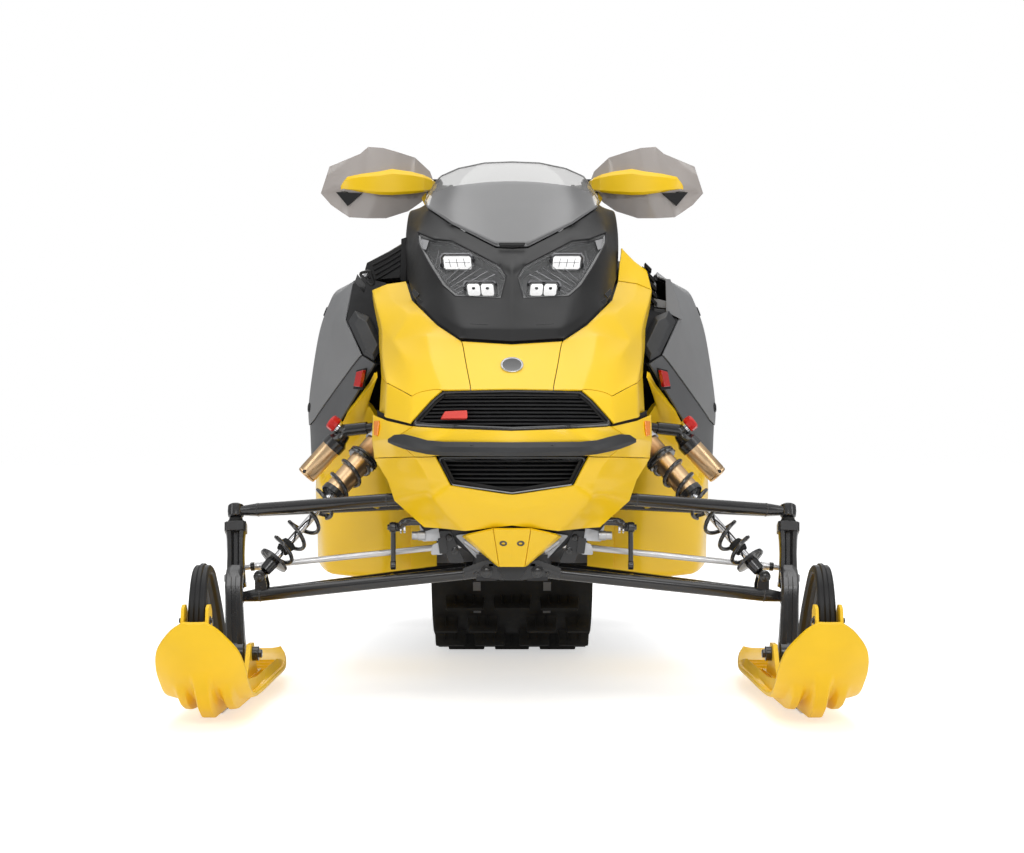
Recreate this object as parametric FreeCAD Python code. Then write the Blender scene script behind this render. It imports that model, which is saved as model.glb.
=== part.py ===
# Snowmobile, full size, millimetres. +Z up, -Y forward (towards the skis), +X the rider's left.
# The origin is on the floor, under the middle of the overall length and width.
# Skis and track stand on z = 0. Body panels are thin skins with flat facets; frame, suspension
# and steering are tubes, castings and plates at their real size.
import FreeCAD, Part
import math, os
from FreeCAD import Vector as V

os.makedirs("parts", exist_ok=True)

# ---------------------------------------------------------------- driving dimensions
LENGTH = 3000.0            # ski tip to snow flap
STANCE = 1084.0            # ski centre to ski centre
SKI_X = STANCE / 2
SKI_HALF_W = 78.0
SKI_TIP_Y, SKI_TAIL_Y = -1500.0, -520.0
SKI_BOLT = (SKI_X, -985.0, 92.0)
KING_LOW, KING_TOP = (546.0, -939.0, 198.0), (556.0, -870.0, 367.0)   # ball centres of the two arms
KING_R = 13.0
STEER_A = (0.0, -895.0, 346.0)         # lower end of the steering column
STEER_B = (0.0, -300.0, 1080.0)        # handlebar clamp
COLUMN_R = 12.5
TRACK_W, TRACK_BELT, TRACK_LUG, LUG_PITCH = 381.0, 10.0, 38.0, 72.6
DRIVE_Y, DRIVE_Z, DRIVE_R = -110.0, 275.0, 88.0     # drive axle, radius under the belt
IDLER_Y, IDLER_R = 1180.0, 100.0                     # rear idler axle, radius under the belt
RAIL_START_Y, RAIL_BEND_R = 60.0, 260.0              # where the rails leave the floor, and their front curve
TUNNEL_HALF, TUNNEL_WALL, TUNNEL_TOP = 200.0, 4.0, 458.0
TUNNEL_Y0, TUNNEL_Y1, BOARD_Z = -262.0, 1372.0, 300.0
PANEL_T = 4.0              # body panel thickness
ARM_R = 12.5               # suspension arm tube radius
SHOCK_LOW, SHOCK_TOP = (500.0, -922.0, 240.0), (241.5, -766.0, 548.0)
BAR_R, GRIP_R = 11.0, 16.5
ACCESSORY_HOLE_R, ACCESSORY_X, ACCESSORY_Y, ACCESSORY_CY = 4.5, 240.0, 300.0, 1010.0
HITCH_PIN_R, HITCH_Y, HITCH_Z = 8.0, 1482.0, 402.0

# ---------------------------------------------------------------- helpers
def vec(p): return V(*p)
def mirror(s): return s.mirror(V(0, 0, 0), V(1, 0, 0))
def both(s): return Part.makeCompound([s, mirror(s)])
def fuse(parts):
    s = parts[0]
    if len(parts) > 1:
        s = s.multiFuse(parts[1:])
    return s.removeSplitter()
def box(x0, x1, y0, y1, z0, z1): return Part.makeBox(x1 - x0, y1 - y0, z1 - z0, V(x0, y0, z0))
def rod(p, q, r, r2=None):
    p, q = vec(p), vec(q)
    d = q - p
    return Part.makeCylinder(r, d.Length, p, d) if r2 is None else Part.makeCone(r, r2, d.Length, p, d)
def pipe(p, q, r_out, r_in): return rod(p, q, r_out).cut(rod(p, q, r_in))
def along(p, q, t): return tuple(p[k] + (q[k] - p[k]) * t for k in range(3))
def at_dist(p, q, d):
    n = math.dist(p, q)
    return along(p, q, d / n)
def prism(points, direction):
    w = Part.makePolygon([vec(p) for p in points] + [vec(points[0])])
    return Part.Face(w).extrude(vec(direction))
def side_plate(yz, x0, x1): return prism([(x0, y, z) for y, z in yz], (x1 - x0, 0, 0))
def loft(sections):
    return Part.makeLoft([Part.makePolygon([vec(p) for p in s] + [vec(s[0])]) for s in sections], True, True)
def bent_tube(points, r, bend):
    """Tube along straight runs joined by tangent arcs."""
    pts = [vec(p) for p in points]
    edges, start = [], pts[0]
    for i in range(1, len(pts) - 1):
        a, b = (pts[i - 1] - pts[i]).normalize(), (pts[i + 1] - pts[i]).normalize()
        half = math.acos(max(-1, min(1, a.dot(b)))) / 2
        cut = min(bend / math.tan(half), 0.45 * (pts[i - 1] - pts[i]).Length, 0.45 * (pts[i + 1] - pts[i]).Length)
        rr = cut * math.tan(half)
        p, q = pts[i] + a * cut, pts[i] + b * cut
        mid_dir = (a + b).normalize()
        mid = pts[i] + mid_dir * (rr / math.sin(half) - rr)
        edges.append(Part.LineSegment(start, p).toShape())
        edges.append(Part.Arc(p, mid, q).toShape())
        start = q
    edges.append(Part.LineSegment(start, pts[-1]).toShape())
    d = (pts[1] - pts[0]).normalize()
    prof = Part.Wire([Part.makeCircle(r, pts[0], d)])
    return Part.Wire(edges).makePipeShell([prof], True, False)

def skin(verts, faces, t, mirrored=True, flip=False):
    """Closed solid from a facet table: verts name -> (x, y, z) on the outside, faces as names in order,
    thickened inwards by t. With mirrored, points at x = 0 are shared with the mirrored half."""
    pts, idx = [], {}
    def vid(p):
        key = (round(p[0], 3), round(p[1], 3), round(p[2], 3))
        if key not in idx:
            idx[key] = len(pts)
            pts.append(V(*key))
        return idx[key]
    polys = []
    for f in faces:
        names = f.split()
        for k in range(1, len(names) - 1):
            tri = [verts[names[0]], verts[names[k]], verts[names[k + 1]]]
            polys.append([vid(p) for p in tri])
            if mirrored:
                polys.append([vid((-p[0], p[1], p[2])) for p in reversed(tri)])
    if flip:
        polys = [list(reversed(p)) for p in polys]
    normal = [V(0, 0, 0) for _ in pts]
    fn = []
    for a, b, c in polys:
        n = (pts[b] - pts[a]).cross(pts[c] - pts[a])
        n.normalize()
        fn.append(n)
        for i, j, k in ((a, b, c), (b, c, a), (c, a, b)):
            u, w = (pts[j] - pts[i]).normalize(), (pts[k] - pts[i]).normalize()
            normal[i] = normal[i] + n * math.acos(max(-1, min(1, u.dot(w))))
    inner = []
    for i, p in enumerate(pts):
        n = normal[i].normalize()
        worst = min([n.dot(fn[k]) for k, tri in enumerate(polys) if i in tri] + [1.0])
        inner.append(p - n * (t / max(0.55, worst)))
    count = {}
    for tri in polys:
        for i, j in ((0, 1), (1, 2), (2, 0)):
            count[(tri[i], tri[j])] = 1
    out = []
    def tri_face(a, b, c):
        out.append(Part.Face(Part.makePolygon([a, b, c, a])))
    for a, b, c in polys:
        tri_face(pts[a], pts[b], pts[c])
        tri_face(inner[c], inner[b], inner[a])
    for (i, j) in count:
        if (j, i) not in count:
            tri_face(pts[j], pts[i], inner[i])
            tri_face(pts[j], inner[i], inner[j])
    shell = Part.makeShell(out)
    shell.sewShape()
    s = Part.makeSolid(shell)
    if s.Volume < 0:
        s = Part.makeSolid(shell.reversed())
    return s

parts = {}

# ---------------------------------------------------------------- body skins (facet tables, +X half)
# columns of every vertex: x, y, z on the outer surface
HOOD = dict(
    a0=(0, -1085, 606), a1=(80, -1075, 605), a2=(134, -1058, 605), a3=(155, -1062, 587), a4=(196, -1073, 540),
    a5=(248, -985, 553), a6=(266, -880, 566), a7=(272, -800, 566),
    b3=(193, -1035, 594), b4=(248, -955, 622), b5=(268, -800, 640),
    c0=(0, -1035, 654), c1=(89, -1022, 655), c2=(156, -995, 662), c3=(213, -950, 668), c4=(260, -870, 667), c5=(270, -790, 667),
    d0=(0, -990, 697), d1=(100, -975, 704), d2=(171, -930, 716), d3=(238, -870, 712), d4=(265, -820, 704), d5=(276, -750, 704),
    e2=(149, -915, 739), e3=(211, -850, 764), e4=(269, -800, 742), e5=(284, -730, 742), h0=(182, -862, 773),
    f3=(206, -780, 799), f4=(248, -760, 801), f5=(285, -740, 792), f6=(300, -680, 790),
    g3=(223, -690, 846), g4=(264, -680, 841), g5=(298, -670, 829), g6=(310, -610, 815))
HOOD_F = ["a0 a1 c1 c0", "a1 a2 c2 c1", "a2 b3 c3 c2", "a2 a3 b3", "a3 a4 b3", "a4 a5 b4 b3", "b3 b4 c4 c3", "a5 a6 b4", "a6 a7 b5 b4", "b4 b5 c5 c4",
          "c0 c1 d1 d0", "c1 c2 d2 d1", "c2 c3 d3 d2", "c3 c4 d4 d3", "c4 c5 d5 d4", "d1 d2 e2", "d2 d3 e3 e2", "d3 d4 e4", "d3 e4 e3", "d4 d5 e5 e4",
          "e2 e3 h0", "h0 e3 f3", "e3 f4 f3", "e3 e4 f5 f4", "e4 e5 f6 f5", "f3 f4 g4 g3", "f4 f5 g5 g4", "f5 f6 g6 g5"]
COWL = dict(
    n0=(0, -1140, 526), n1=(113, -1125, 530), n2=(190, -1077, 535), n3=(246, -990, 548), n4=(276, -940, 560), n5=(276, -850, 560),
    o0=(0, -1152, 504), o1=(146, -1122, 507), o2=(227, -1050, 511), o3=(276, -950, 510), o5=(276, -850, 510),
    p0=(0, -1147, 478), p1=(146, -1112, 478), p2=(186, -1082, 476), p3=(273, -956, 474), p5=(268, -850, 474),
    q0=(0, -1132, 405), q1=(117, -1117, 421), q2=(162, -1080, 432), q3=(245, -978, 431),
    r0=(0, -1122, 376), r1=(133, -1090, 394), r2=(163, -1066, 400), r3=(231, -978, 390),
    s0=(0, -1090, 345), s1=(89, -1054, 333), s2=(136, -1000, 336), s3=(172, -990, 338))
COWL_F = ["n0 o0 o1 n1", "n1 o1 o2 n2", "n2 o2 n3", "n3 o2 o3", "n3 o3 n4", "n4 o3 o5 n5", "o0 p0 p1 o1", "o1 p1 p2 o2", "o2 p2 p3 o3", "o3 p3 p5 o5",
          "p1 q1 q2 p2", "p2 q2 q3 p3", "q0 r0 r1 q1", "q1 r1 r2 q2", "q2 r2 r3 q3", "r0 s0 s1 r1", "r1 s1 s2 r2", "r2 s2 s3 r3"]
PLATE = dict(t0=(0, -1092, 338), t1=(36, -1088, 338), t2=(89, -1054, 325), t3=(97, -1024, 322), u0=(0, -1014, 262), u1=(25, -1012, 262), u2=(30, -1000, 264))
PLATE_F = ["t0 u0 u1 t1", "t1 u1 t2", "t2 u1 u2 t3"]
SURROUND = dict(
    k0=(0, -992, 702), k1=(102, -977, 709), k2=(150, -918, 745), k3=(182, -865, 779), k4=(203, -785, 803), k5=(219, -697, 850), k6=(228, -612, 940), k7=(222, -560, 1008),
    l0=(0, -981, 728), l1=(97, -966, 733), l2=(140, -916, 762),
    m0=(0, -930, 792), m1=(0, -868, 862),
    w0=(0, -803, 903), w1=(33, -801, 905), w2=(125, -742, 958), w3=(179, -642, 1004), w4=(187, -585, 1022), w5=(205, -540, 1026),
    ha=(22, -922, 792), hb=(114, -900, 798), hc=(141, -868, 823), hd=(170, -812, 871), hf=(196, -742, 921), hg=(199, -700, 950),
    hh=(161, -765, 929), hj=(123, -792, 922), hk=(24, -850, 865), hl=(13, -885, 838),
    x6=(232, -480, 940), x7=(226, -470, 1000), x5=(228, -560, 860), x4=(228, -600, 820))
SURROUND_F = ["k0 k1 l1 l0", "k1 k2 l2 l1", "l0 l1 hb ha m0", "l1 l2 hc hb", "l2 k2 k3 hc", "hc k3 k4 hd", "hd k4 k5 hf", "hf k5 k6 hg",
              "m0 ha hl hk m1", "m1 hk w1 w0", "hk hj w2 w1", "hj hh hg w3 w2", "hg k6 k7 w4 w3", "k7 w5 w4", "k5 x4 x5 k6", "k6 x5 x6", "k6 x6 x7 k7"]
LENS_F = ["ha hb hc hd hj hk hl", "hd hf hg hh hj"]
SHIELD = dict(
    a0=(0, -800, 909), a1=(33, -798, 911), a2=(125, -739, 964), a3=(180, -641, 1011), a4=(190, -560, 1032), a5=(190, -500, 1044),
    b0=(0, -630, 1050), b1=(60, -626, 1049), b2=(128, -594, 1047), b3=(176, -560, 1046), b4=(187, -510, 1052), b5=(187, -470, 1056),
    c0=(0, -548, 1120), c1=(60, -545, 1118), c2=(118, -524, 1109), c3=(158, -494, 1096), c4=(174, -466, 1082), c5=(180, -448, 1072))
SHIELD_F = ["a0 a1 b1 b0", "a1 a2 b2 b1", "a2 a3 b3 b2", "a3 a4 b4 b3", "a4 a5 b5 b4", "b0 b1 c1 c0", "b1 b2 c2 c1", "b2 b3 c3 c2", "b3 b4 c4 c3", "b4 b5 c5 c4"]
SIDE = dict(
    a0=(282, -790, 652), a1=(352, -700, 572), a2=(425, -562, 462), a3=(444, -420, 436), a4=(442, -260, 434), a5=(436, -150, 434),
    b0=(302, -740, 705), b1=(372, -640, 650), b2=(440, -520, 600), b3=(457, -410, 585), b4=(452, -260, 575), b5=(436, -140, 560),
    c0=(316, -690, 765), c1=(384, -590, 752), c2=(436, -480, 756), c3=(444, -390, 756), c4=(425, -250, 735), c5=(392, -130, 700),
    d0=(318, -620, 822), d1=(350, -540, 850), d2=(384, -460, 858), d3=(388, -385, 856), d4=(360, -250, 830), d5=(315, -130, 788),
    e0=(300, -590, 840), e1=(306, -520, 884), e2=(322, -460, 890), e3=(322, -385, 888), e4=(290, -250, 866), e5=(240, -130, 822))
SIDE_F = ["%s%d %s%d %s%d %s%d" % (r, c, r, c + 1, q, c + 1, q, c) for r, q in ("ab", "bc", "cd", "de") for c in range(5)]
FAIR = dict(
    t0=(276, -792, 640), t1=(348, -704, 564), t2=(421, -566, 454), t3=(440, -420, 430), t4=(438, -150, 428),
    u0=(300, -724, 586), u1=(326, -664, 515), u2=(398, -578, 438),
    v0=(212, -636, 440), v1=(285, -650, 440), v2=(410, -566, 400), v3=(438, -420, 380), v4=(434, -150, 380),
    b0=(212, -626, 222), b1=(280, -612, 220), b2=(400, -525, 224), b3=(430, -420, 238), b4=(426, -150, 240),
    g0=(212, -560, 220), g4=(212, -150, 240))
FAIR_F = ["t0 u0 u1 t1", "t1 u1 u2 t2", "u0 v0 v1 u1", "u1 v1 v2 u2", "t2 u2 v2", "v0 b0 b1 v1", "v1 b1 b2 v2", "t2 v2 v3 t3", "v2 b2 b3 v3", "t3 v3 v4 t4", "v3 b3 b4 v4",
          "b0 g0 b1", "b1 g0 b2", "b2 g0 b3", "b3 g0 g4 b4"]

parts["hood"] = skin(HOOD, HOOD_F, PANEL_T)
parts["nose_cowl"] = skin(COWL, COWL_F, PANEL_T, flip=True)
under_plate = skin(PLATE, PLATE_F, 6.0, flip=True)
parts["headlight_surround"] = skin(SURROUND, SURROUND_F, PANEL_T)
LENS_IN = (-1.6, 8.2, -6.6)      # the lens sits this far behind the edge of its opening
LENS = {k: (p[0] + LENS_IN[0], p[1] + LENS_IN[1], p[2] + LENS_IN[2]) for k, p in SURROUND.items() if k.startswith("h")}
parts["headlights"] = both(skin(LENS, LENS_F, 3.0, mirrored=False))
parts["windshield"] = skin(SHIELD, SHIELD_F, 3.5)
parts["side_panels"] = both(skin(SIDE, SIDE_F, PANEL_T, mirrored=False, flip=True))
parts["lower_fairings"] = both(skin(FAIR, FAIR_F, PANEL_T, mirrored=False))

# side intake (right) and side wing panel (left) between the headlight surround and the side panels
VENT = dict(a0=(232, -600, 850), a1=(236, -560, 960), a2=(236, -500, 1000), b0=(306, -560, 842), b1=(312, -510, 930), b2=(296, -470, 990),
            c0=(318, -470, 896), c1=(318, -430, 930), c2=(296, -410, 976))
VENT_F = ["a0 b0 b1 a1", "a1 b1 b2 a2", "b0 c0 c1 b1", "b1 c1 c2 b2"]
parts["side_vents"] = both(skin(VENT, VENT_F, PANEL_T, mirrored=False).cut(parts["side_panels"]))

# ---------------------------------------------------------------- grilles with through slots, and the front bar
G_TOP = dict(a0=(0, -1076, 604), a1=(80, -1066, 603), a2=(132, -1049, 602), a3=(152, -1052, 586), a4=(190, -1062, 543),
             b0=(0, -1128, 529), b1=(108, -1112, 533), b2=(184, -1067, 538))
G_LOW = dict(a0=(0, -1136, 476), a1=(142, -1103, 476), b0=(0, -1122, 408), b1=(114, -1106, 423))
top_g = skin(G_TOP, ["a0 b0 b1 a1", "a1 b1 b2 a2", "a2 b2 a4 a3"], 4.0)
low_g = skin(G_LOW, ["a0 b0 b1 a1"], 4.0, flip=False)
for z, w in ((545, 150), (559, 140), (573, 130), (587, 118)):
    top_g = top_g.cut(box(6, w, -1200, -1000, z, z + 7)).cut(box(-w, -6, -1200, -1000, z, z + 7))
for z, w in ((430, 104), (442, 112), (454, 120)):
    low_g = low_g.cut(box(6, w, -1200, -1000, z, z + 6)).cut(box(-w, -6, -1200, -1000, z, z + 6))
parts["grilles"] = Part.makeCompound([top_g, low_g])

bar_rows = [  # x, front y, depth, z low, z high
    (0, -1171, 15, 478, 503), (146, -1141, 14, 481, 505), (206, -1094, 12, 488, 508), (238, -1056, 9, 500, 513)]
secs = [[(x, y, z0), (x, y + d, z0), (x, y + d, z1), (x, y, z1)] for x, y, d, z0, z1 in bar_rows]
half = loft(secs)
parts["front_bumper"] = fuse([half, mirror(half), box(60, 76, -1156, -1137, 484, 500), box(-76, -60, -1156, -1137, 484, 500)]).cut(parts["nose_cowl"])

parts["nose_cowl"] = Part.makeCompound([parts["nose_cowl"], under_plate.cut(parts["nose_cowl"])])

# ---------------------------------------------------------------- chassis: bulkhead, cradle, tunnel, upper frame
SWAY_Y = -978.0
def wall_x(section_xz, y0, y1): return prism([(x, y0, z) for x, z in section_xz], (0, y1 - y0, 0))
FRONT_LOW, REAR_LOW = (50.0, -960.0, 252.0), (62.0, -680.0, 246.0)
FRONT_UP, REAR_UP = (202.0, -962.0, 395.0), (202.0, -680.0, 378.0)
trough = [(0, 270), (60, 270), (150, 332), (184, 400), (184, 434), (180, 434), (180, 401), (147, 335), (58.5, 274), (0, 274)]
h = wall_x(trough, -955, -644)
bulk = [h, mirror(h)]
front_plate = prism([(x, -955, z) for x, z in ((-58, 273), (58, 273), (147, 334), (181, 400), (181, 434), (-181, 434), (-181, 400), (-147, 334))], (0, 4, 0))
rear_plate = front_plate.copy(); rear_plate.translate(V(0, 307, 0))
bulk += [front_plate, rear_plate]
for sx in (1, -1):
    for (px, py, pz), e in ((FRONT_LOW, 19), (REAR_LOW, 28)):      # ears on both sides of each arm pivot, and the pivot bolt
        bulk.append(box(sx * px - 20, sx * px + 20, py - e - 5, py - e, pz - 18, 285))
        bulk.append(box(sx * px - 20, sx * px + 20, py + e, py + e + 5, pz - 18, 285))
        bulk.append(rod((sx * px, py - e - 9, pz), (sx * px, py + e + 9, pz), 5.5))
    for (px, py, pz), e in ((FRONT_UP, 19), (REAR_UP, 28)):
        bulk.append(box(*sorted((sx * 178, sx * (px + 18))), py - e - 5, py - e, pz - 7, pz + 22))
        bulk.append(box(*sorted((sx * 178, sx * (px + 18))), py + e, py + e + 5, pz - 20, pz + 22))
        bulk.append(rod((sx * px, py - e - 9, pz), (sx * px, py + e + 9, pz), 5.5))
    bulk.append(box(*sorted((sx * 178, sx * 182)), -986, -950, 388, 417))
    tower = [(178, 425), (186, 400), (252, 530), (252, 564), (226, 572), (178, 470)]
    for y0 in (SHOCK_TOP[1] - 30, SHOCK_TOP[1] + 25):
        bulk.append(prism([(sx * x, y0, z) for x, z in tower], (0, 5, 0)).cut(rod((sx * SHOCK_TOP[0], SHOCK_TOP[1], SHOCK_TOP[2]), (sx * SHOCK_LOW[0], SHOCK_LOW[1], SHOCK_LOW[2]), 25)))
        bulk.append(prism([(sx * x, y0, z) for x, z in ((222, 534), (236, 534), (252, 548), (244, 566), (226, 566))], (0, 5, 0)))
    bulk.append(rod((sx * SHOCK_TOP[0], SHOCK_TOP[1] - 30, SHOCK_TOP[2]), (sx * SHOCK_TOP[0], SHOCK_TOP[1] + 30, SHOCK_TOP[2]), 5.5))
    bulk.append(box(*sorted((sx * 178, sx * 184)), SHOCK_TOP[1] - 30, SHOCK_TOP[1] + 30, 425, 470))
    bulk.append(box(sx * 140 - 12, sx * 140 + 12, -991, -951, 338, 362).cut(rod((sx * 140 - 20, SWAY_Y, 350), (sx * 140 + 20, SWAY_Y, 350), 8.6)))
window = box(-175, 175, -900, -764, 262, 362)
lower_bearing = rod(at_dist(STEER_A, STEER_B, 24), at_dist(STEER_A, STEER_B, 52), 24)
bulk_s = fuse(bulk).cut(window)
bridge = fuse([lower_bearing, box(-182, 182, -882, -860, 375, 385)]).cut(rod(at_dist(STEER_A, STEER_B, -20), at_dist(STEER_A, STEER_B, 120), COLUMN_R + 1.0))
parts["front_bulkhead"] = fuse([bulk_s, bridge])

cradle = [box(-198, 198, -634, -262, 250, 254), box(194, 198, -634, -262, 250, 436), box(-198, -194, -634, -262, 250, 436),
          box(-198, 198, -634, -630, 250, 420)]
for x in (-150, 0, 150):
    cradle[0] = cradle[0].cut(rod((x, -450, 240), (x, -450, 260), 30))
parts["front_bulkhead"] = Part.makeCompound([parts["front_bulkhead"], fuse(cradle)])

W, T = TUNNEL_HALF + 6, 3.0
outer = [(-W, BOARD_Z), (-W, 436), (-W + 22, TUNNEL_TOP), (W - 22, TUNNEL_TOP), (W, 436), (W, BOARD_Z)]
inner = [(W - T, BOARD_Z), (W - T, 435), (W - 23.2, TUNNEL_TOP - T), (-W + 23.2, TUNNEL_TOP - T), (-W + T, 435), (-W + T, BOARD_Z)]
tun = wall_x(outer + inner, TUNNEL_Y0, TUNNEL_Y1)
tun = tun.cut(side_plate([(900, 290), (1400, 290), (1400, 388), (1380, 388), (1160, 352), (900, 300)], -230, 230))
front_wall = box(-W, W, TUNNEL_Y0, TUNNEL_Y0 + T, 262, 436)
brackets = []
for sx in (1, -1):
    x0, x1 = sorted((sx * (W - T), sx * W))
    brackets += [box(x0, x1, 60, 150, 250, 300), box(x0, x1, 590, 690, 228, 300), box(x0, x1, -180, -30, 232, 300)]
    x0, x1 = sorted((sx * (W - 1), sx * (W + 6)))
    brackets.append(rod((x0, DRIVE_Y, DRIVE_Z), (x1, DRIVE_Y, DRIVE_Z), 36))
hitch = fuse([box(-24, 24, 1372.5, 1498, HITCH_Z - 3, HITCH_Z + 3), box(-24, 24, 1372.5, 1378, HITCH_Z - 3, TUNNEL_TOP)])
parts["tow_hitch"] = hitch.cut(rod((0, HITCH_Y, HITCH_Z - 9), (0, HITCH_Y, HITCH_Z + 9), HITCH_PIN_R))
tun = fuse([tun, front_wall] + brackets)
for sx in (1, -1):
    for y in (ACCESSORY_CY - ACCESSORY_Y / 2, ACCESSORY_CY + ACCESSORY_Y / 2):
        tun = tun.cut(rod((sx * ACCESSORY_X / 2, y, TUNNEL_TOP - 12), (sx * ACCESSORY_X / 2, y, TUNNEL_TOP + 4), ACCESSORY_HOLE_R))
    tun = tun.cut(rod((sx * (W - 14), DRIVE_Y, DRIVE_Z), (sx * (W + 14), DRIVE_Y, DRIVE_Z), 15.0))
parts["tunnel"] = tun

board = fuse([box(W, 388, -180, 900, 296, 299), box(386, 404, -180, 900, 288, 308).cut(box(389, 401, -190, 910, 291, 305)),
              box(W, W + 3, -180, 900, 296, 330)])
board = board.cut(rod((W - 2, DRIVE_Y, DRIVE_Z), (W + 8, DRIVE_Y, DRIVE_Z), 36.5))
for y in range(-140, 860, 56):
    for x in (232, 284, 336):
        board = board.cut(box(x, x + 38, y, y + 34, 290, 300))
toe = bent_tube([(395, 30, 306), (395, -60, 405), (380, -166, 424), (209, -172, 424)], 9.5, 45)
heel = side_plate([(-182, 296), (-177, 299), (-214, 372), (-218, 370)], W, 396)
parts["running_boards"] = both(fuse([board, toe, heel]))

legs = []
for sx in (1, -1):
    legs.append(rod((sx * 166, -925, 440), (sx * 22, -532, 800), 12))
    legs.append(rod((sx * 160, -240, 467), (sx * 22, -520, 800), 12))
    legs.append(box(*sorted((sx * 140, sx * 178)), -258, -218, 458, 464))
    legs.append(rod((sx * 166, -642, 442), (sx * 166, -264, 442), 9.5))
    legs.append(box(*sorted((sx * 146, sx * 190)), -948, -905, 434, 440))
col_a, col_b = at_dist(STEER_A, STEER_B, 560), at_dist(STEER_A, STEER_B, 612)
legs.append(rod(col_a, col_b, 27))
parts["upper_frame"] = fuse(legs).cut(rod(at_dist(STEER_A, STEER_B, 300), at_dist(STEER_A, STEER_B, 700), COLUMN_R + 1.0))

parts["engine"] = box(-150, 150, -622, -320, 256, 500)

# ---------------------------------------------------------------- front suspension
def arm(ball, inner_a, inner_b, cross):
    a0, b0 = at_dist(ball, inner_a, 14), at_dist(ball, inner_b, 14)
    s = [Part.makeSphere(16, vec(ball)), rod(a0, at_dist(inner_a, ball, 0), ARM_R), rod(b0, at_dist(inner_b, ball, 0), ARM_R)]
    for p in (inner_a, inner_b):
        s.append(rod((p[0], p[1] - 17, p[2]), (p[0], p[1] + 17, p[2]), 17))
    p, q = along(ball, inner_a, cross), along(ball, inner_b, cross)
    s.append(rod(p, q, 9))
    s = fuse(s)
    for p in (inner_a, inner_b):
        s = s.cut(rod((p[0], p[1] - 30, p[2]), (p[0], p[1] + 30, p[2]), 6.0))
    return s.cut(rod(at_dist(ball, KING_TOP if ball == KING_LOW else KING_LOW, -9), at_dist(ball, KING_TOP if ball == KING_LOW else KING_LOW, 40), 7.0))
low = arm(KING_LOW, FRONT_LOW, REAR_LOW, 0.62)
sx_, sy_, sz_ = SHOCK_LOW
pad = fuse([box(sx_ - 14, sx_ + 7, sy_ - 28, sy_ + 26, 200, 214), box(sx_ - 13, sx_ + 7, sy_ - 26, sy_ - 21, 206, sz_ + 12), box(sx_ - 13, sx_ + 7, sy_ + 21, sy_ + 26, 206, sz_ + 12),
            rod((sx_, sy_ - 26, sz_), (sx_, sy_ + 26, sz_), 5.5)])
parts["lower_arms"] = both(fuse([low, pad]))
parts["upper_arms"] = both(arm(KING_TOP, FRONT_UP, REAR_UP, 0.78))

n = math.dist(SHOCK_LOW, SHOCK_TOP)
def sh(d): return at_dist(SHOCK_TOP, SHOCK_LOW, d)
shock = fuse([rod((SHOCK_TOP[0], SHOCK_TOP[1] - 20, SHOCK_TOP[2]), (SHOCK_TOP[0], SHOCK_TOP[1] + 20, SHOCK_TOP[2]), 15),
              rod(sh(8), sh(40), 15, 23), rod(sh(40), sh(210), 23), rod(sh(100), sh(112), 33), rod(sh(205), sh(n - 12), 7.5),
              rod(sh(n - 46), sh(n - 38), 32), rod(sh(n - 42), sh(n - 10), 13, 12),
              rod((sx_, sy_ - 17, sz_), (sx_, sy_ + 17, sz_), 12)])
shock = shock.cut(rod((SHOCK_TOP[0], SHOCK_TOP[1] - 40, SHOCK_TOP[2]), (SHOCK_TOP[0], SHOCK_TOP[1] + 40, SHOCK_TOP[2]), 6.0))
shock = shock.cut(rod((sx_, sy_ - 40, sz_), (sx_, sy_ + 40, sz_), 6.0))
RES_A, RES_B = (430, -736, 436), (366, -736, 506)
res = fuse([rod(RES_A, RES_B, 21), rod(at_dist(RES_B, RES_A, -10), RES_B, 14, 18), rod(at_dist(RES_B, RES_A, 6), sh(54), 9)])
shock = fuse([shock, res])
parts["front_shocks"] = both(shock)
COIL_R, WIRE_R, COIL_TURNS = 27.4, 4.0, 6.5
d0 = 118.0
pitch = (n - 46 - 7 - d0) / COIL_TURNS
helix = Part.makeHelix(pitch, pitch * COIL_TURNS, COIL_R)
prof = Part.Wire([Part.makeCircle(WIRE_R, V(COIL_R, 0, 0), V(0, 1, 0))])
coil = Part.Wire(helix.Edges).makePipeShell([prof], True, True)
axis_dir = (vec(SHOCK_LOW) - vec(SHOCK_TOP)).normalize()
coil.Placement = FreeCAD.Placement(vec(sh(d0)), FreeCAD.Rotation(V(0, 0, 1), axis_dir))
parts["front_springs"] = both(coil)

sway = bent_tube([(-226, -934, 338), (-210, SWAY_Y, 350), (210, SWAY_Y, 350), (226, -934, 338)], 8, 18)
links = []
for sx in (1, -1):
    links.append(rod((sx * 235, -938, 262), (sx * 235, -938, 338), 5))
    links.append(rod((sx * 222, -936, 338), (sx * 243, -936, 338), 10))
    links.append(rod((sx * 226, -940, 256), (sx * 244, -940, 256), 7))
parts["sway_bar"] = fuse([sway] + links)

# ---------------------------------------------------------------- spindles, tie rods, skis (left = +X)
def king(d): return at_dist(KING_LOW, KING_TOP, d)
nk = math.dist(KING_LOW, KING_TOP)
TIE_PIN = (556.0, -848.0, 251.0)      # pin on the steering arm, and the pitman arm that drives the tie rods
PIT_R, PIT_X = 62.0, 17.0
cd = (vec(STEER_B) - vec(STEER_A)).normalize()
arm_dir = V(0, cd.z, -cd.y)
pit = vec(STEER_A) + arm_dir * PIT_R
TIE_IN = (PIT_X, pit.y, pit.z)
def rect(c, hx, hy): return [(c[0] - hx, c[1] - hy, c[2]), (c[0] + hx, c[1] - hy, c[2]), (c[0] + hx, c[1] + hy, c[2]), (c[0] - hx, c[1] + hy, c[2])]
post = fuse([rod(king(24), king(nk - 24), 17), rod(king(-6), king(nk + 6), 6.0)])
leg = loft([rect((549, -922, 252), 17, 15), rect((545, -977, 224), 17, 10), rect((543, -983, 185), 17, 11), rect((540, -985, 92), 19, 16)])
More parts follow.
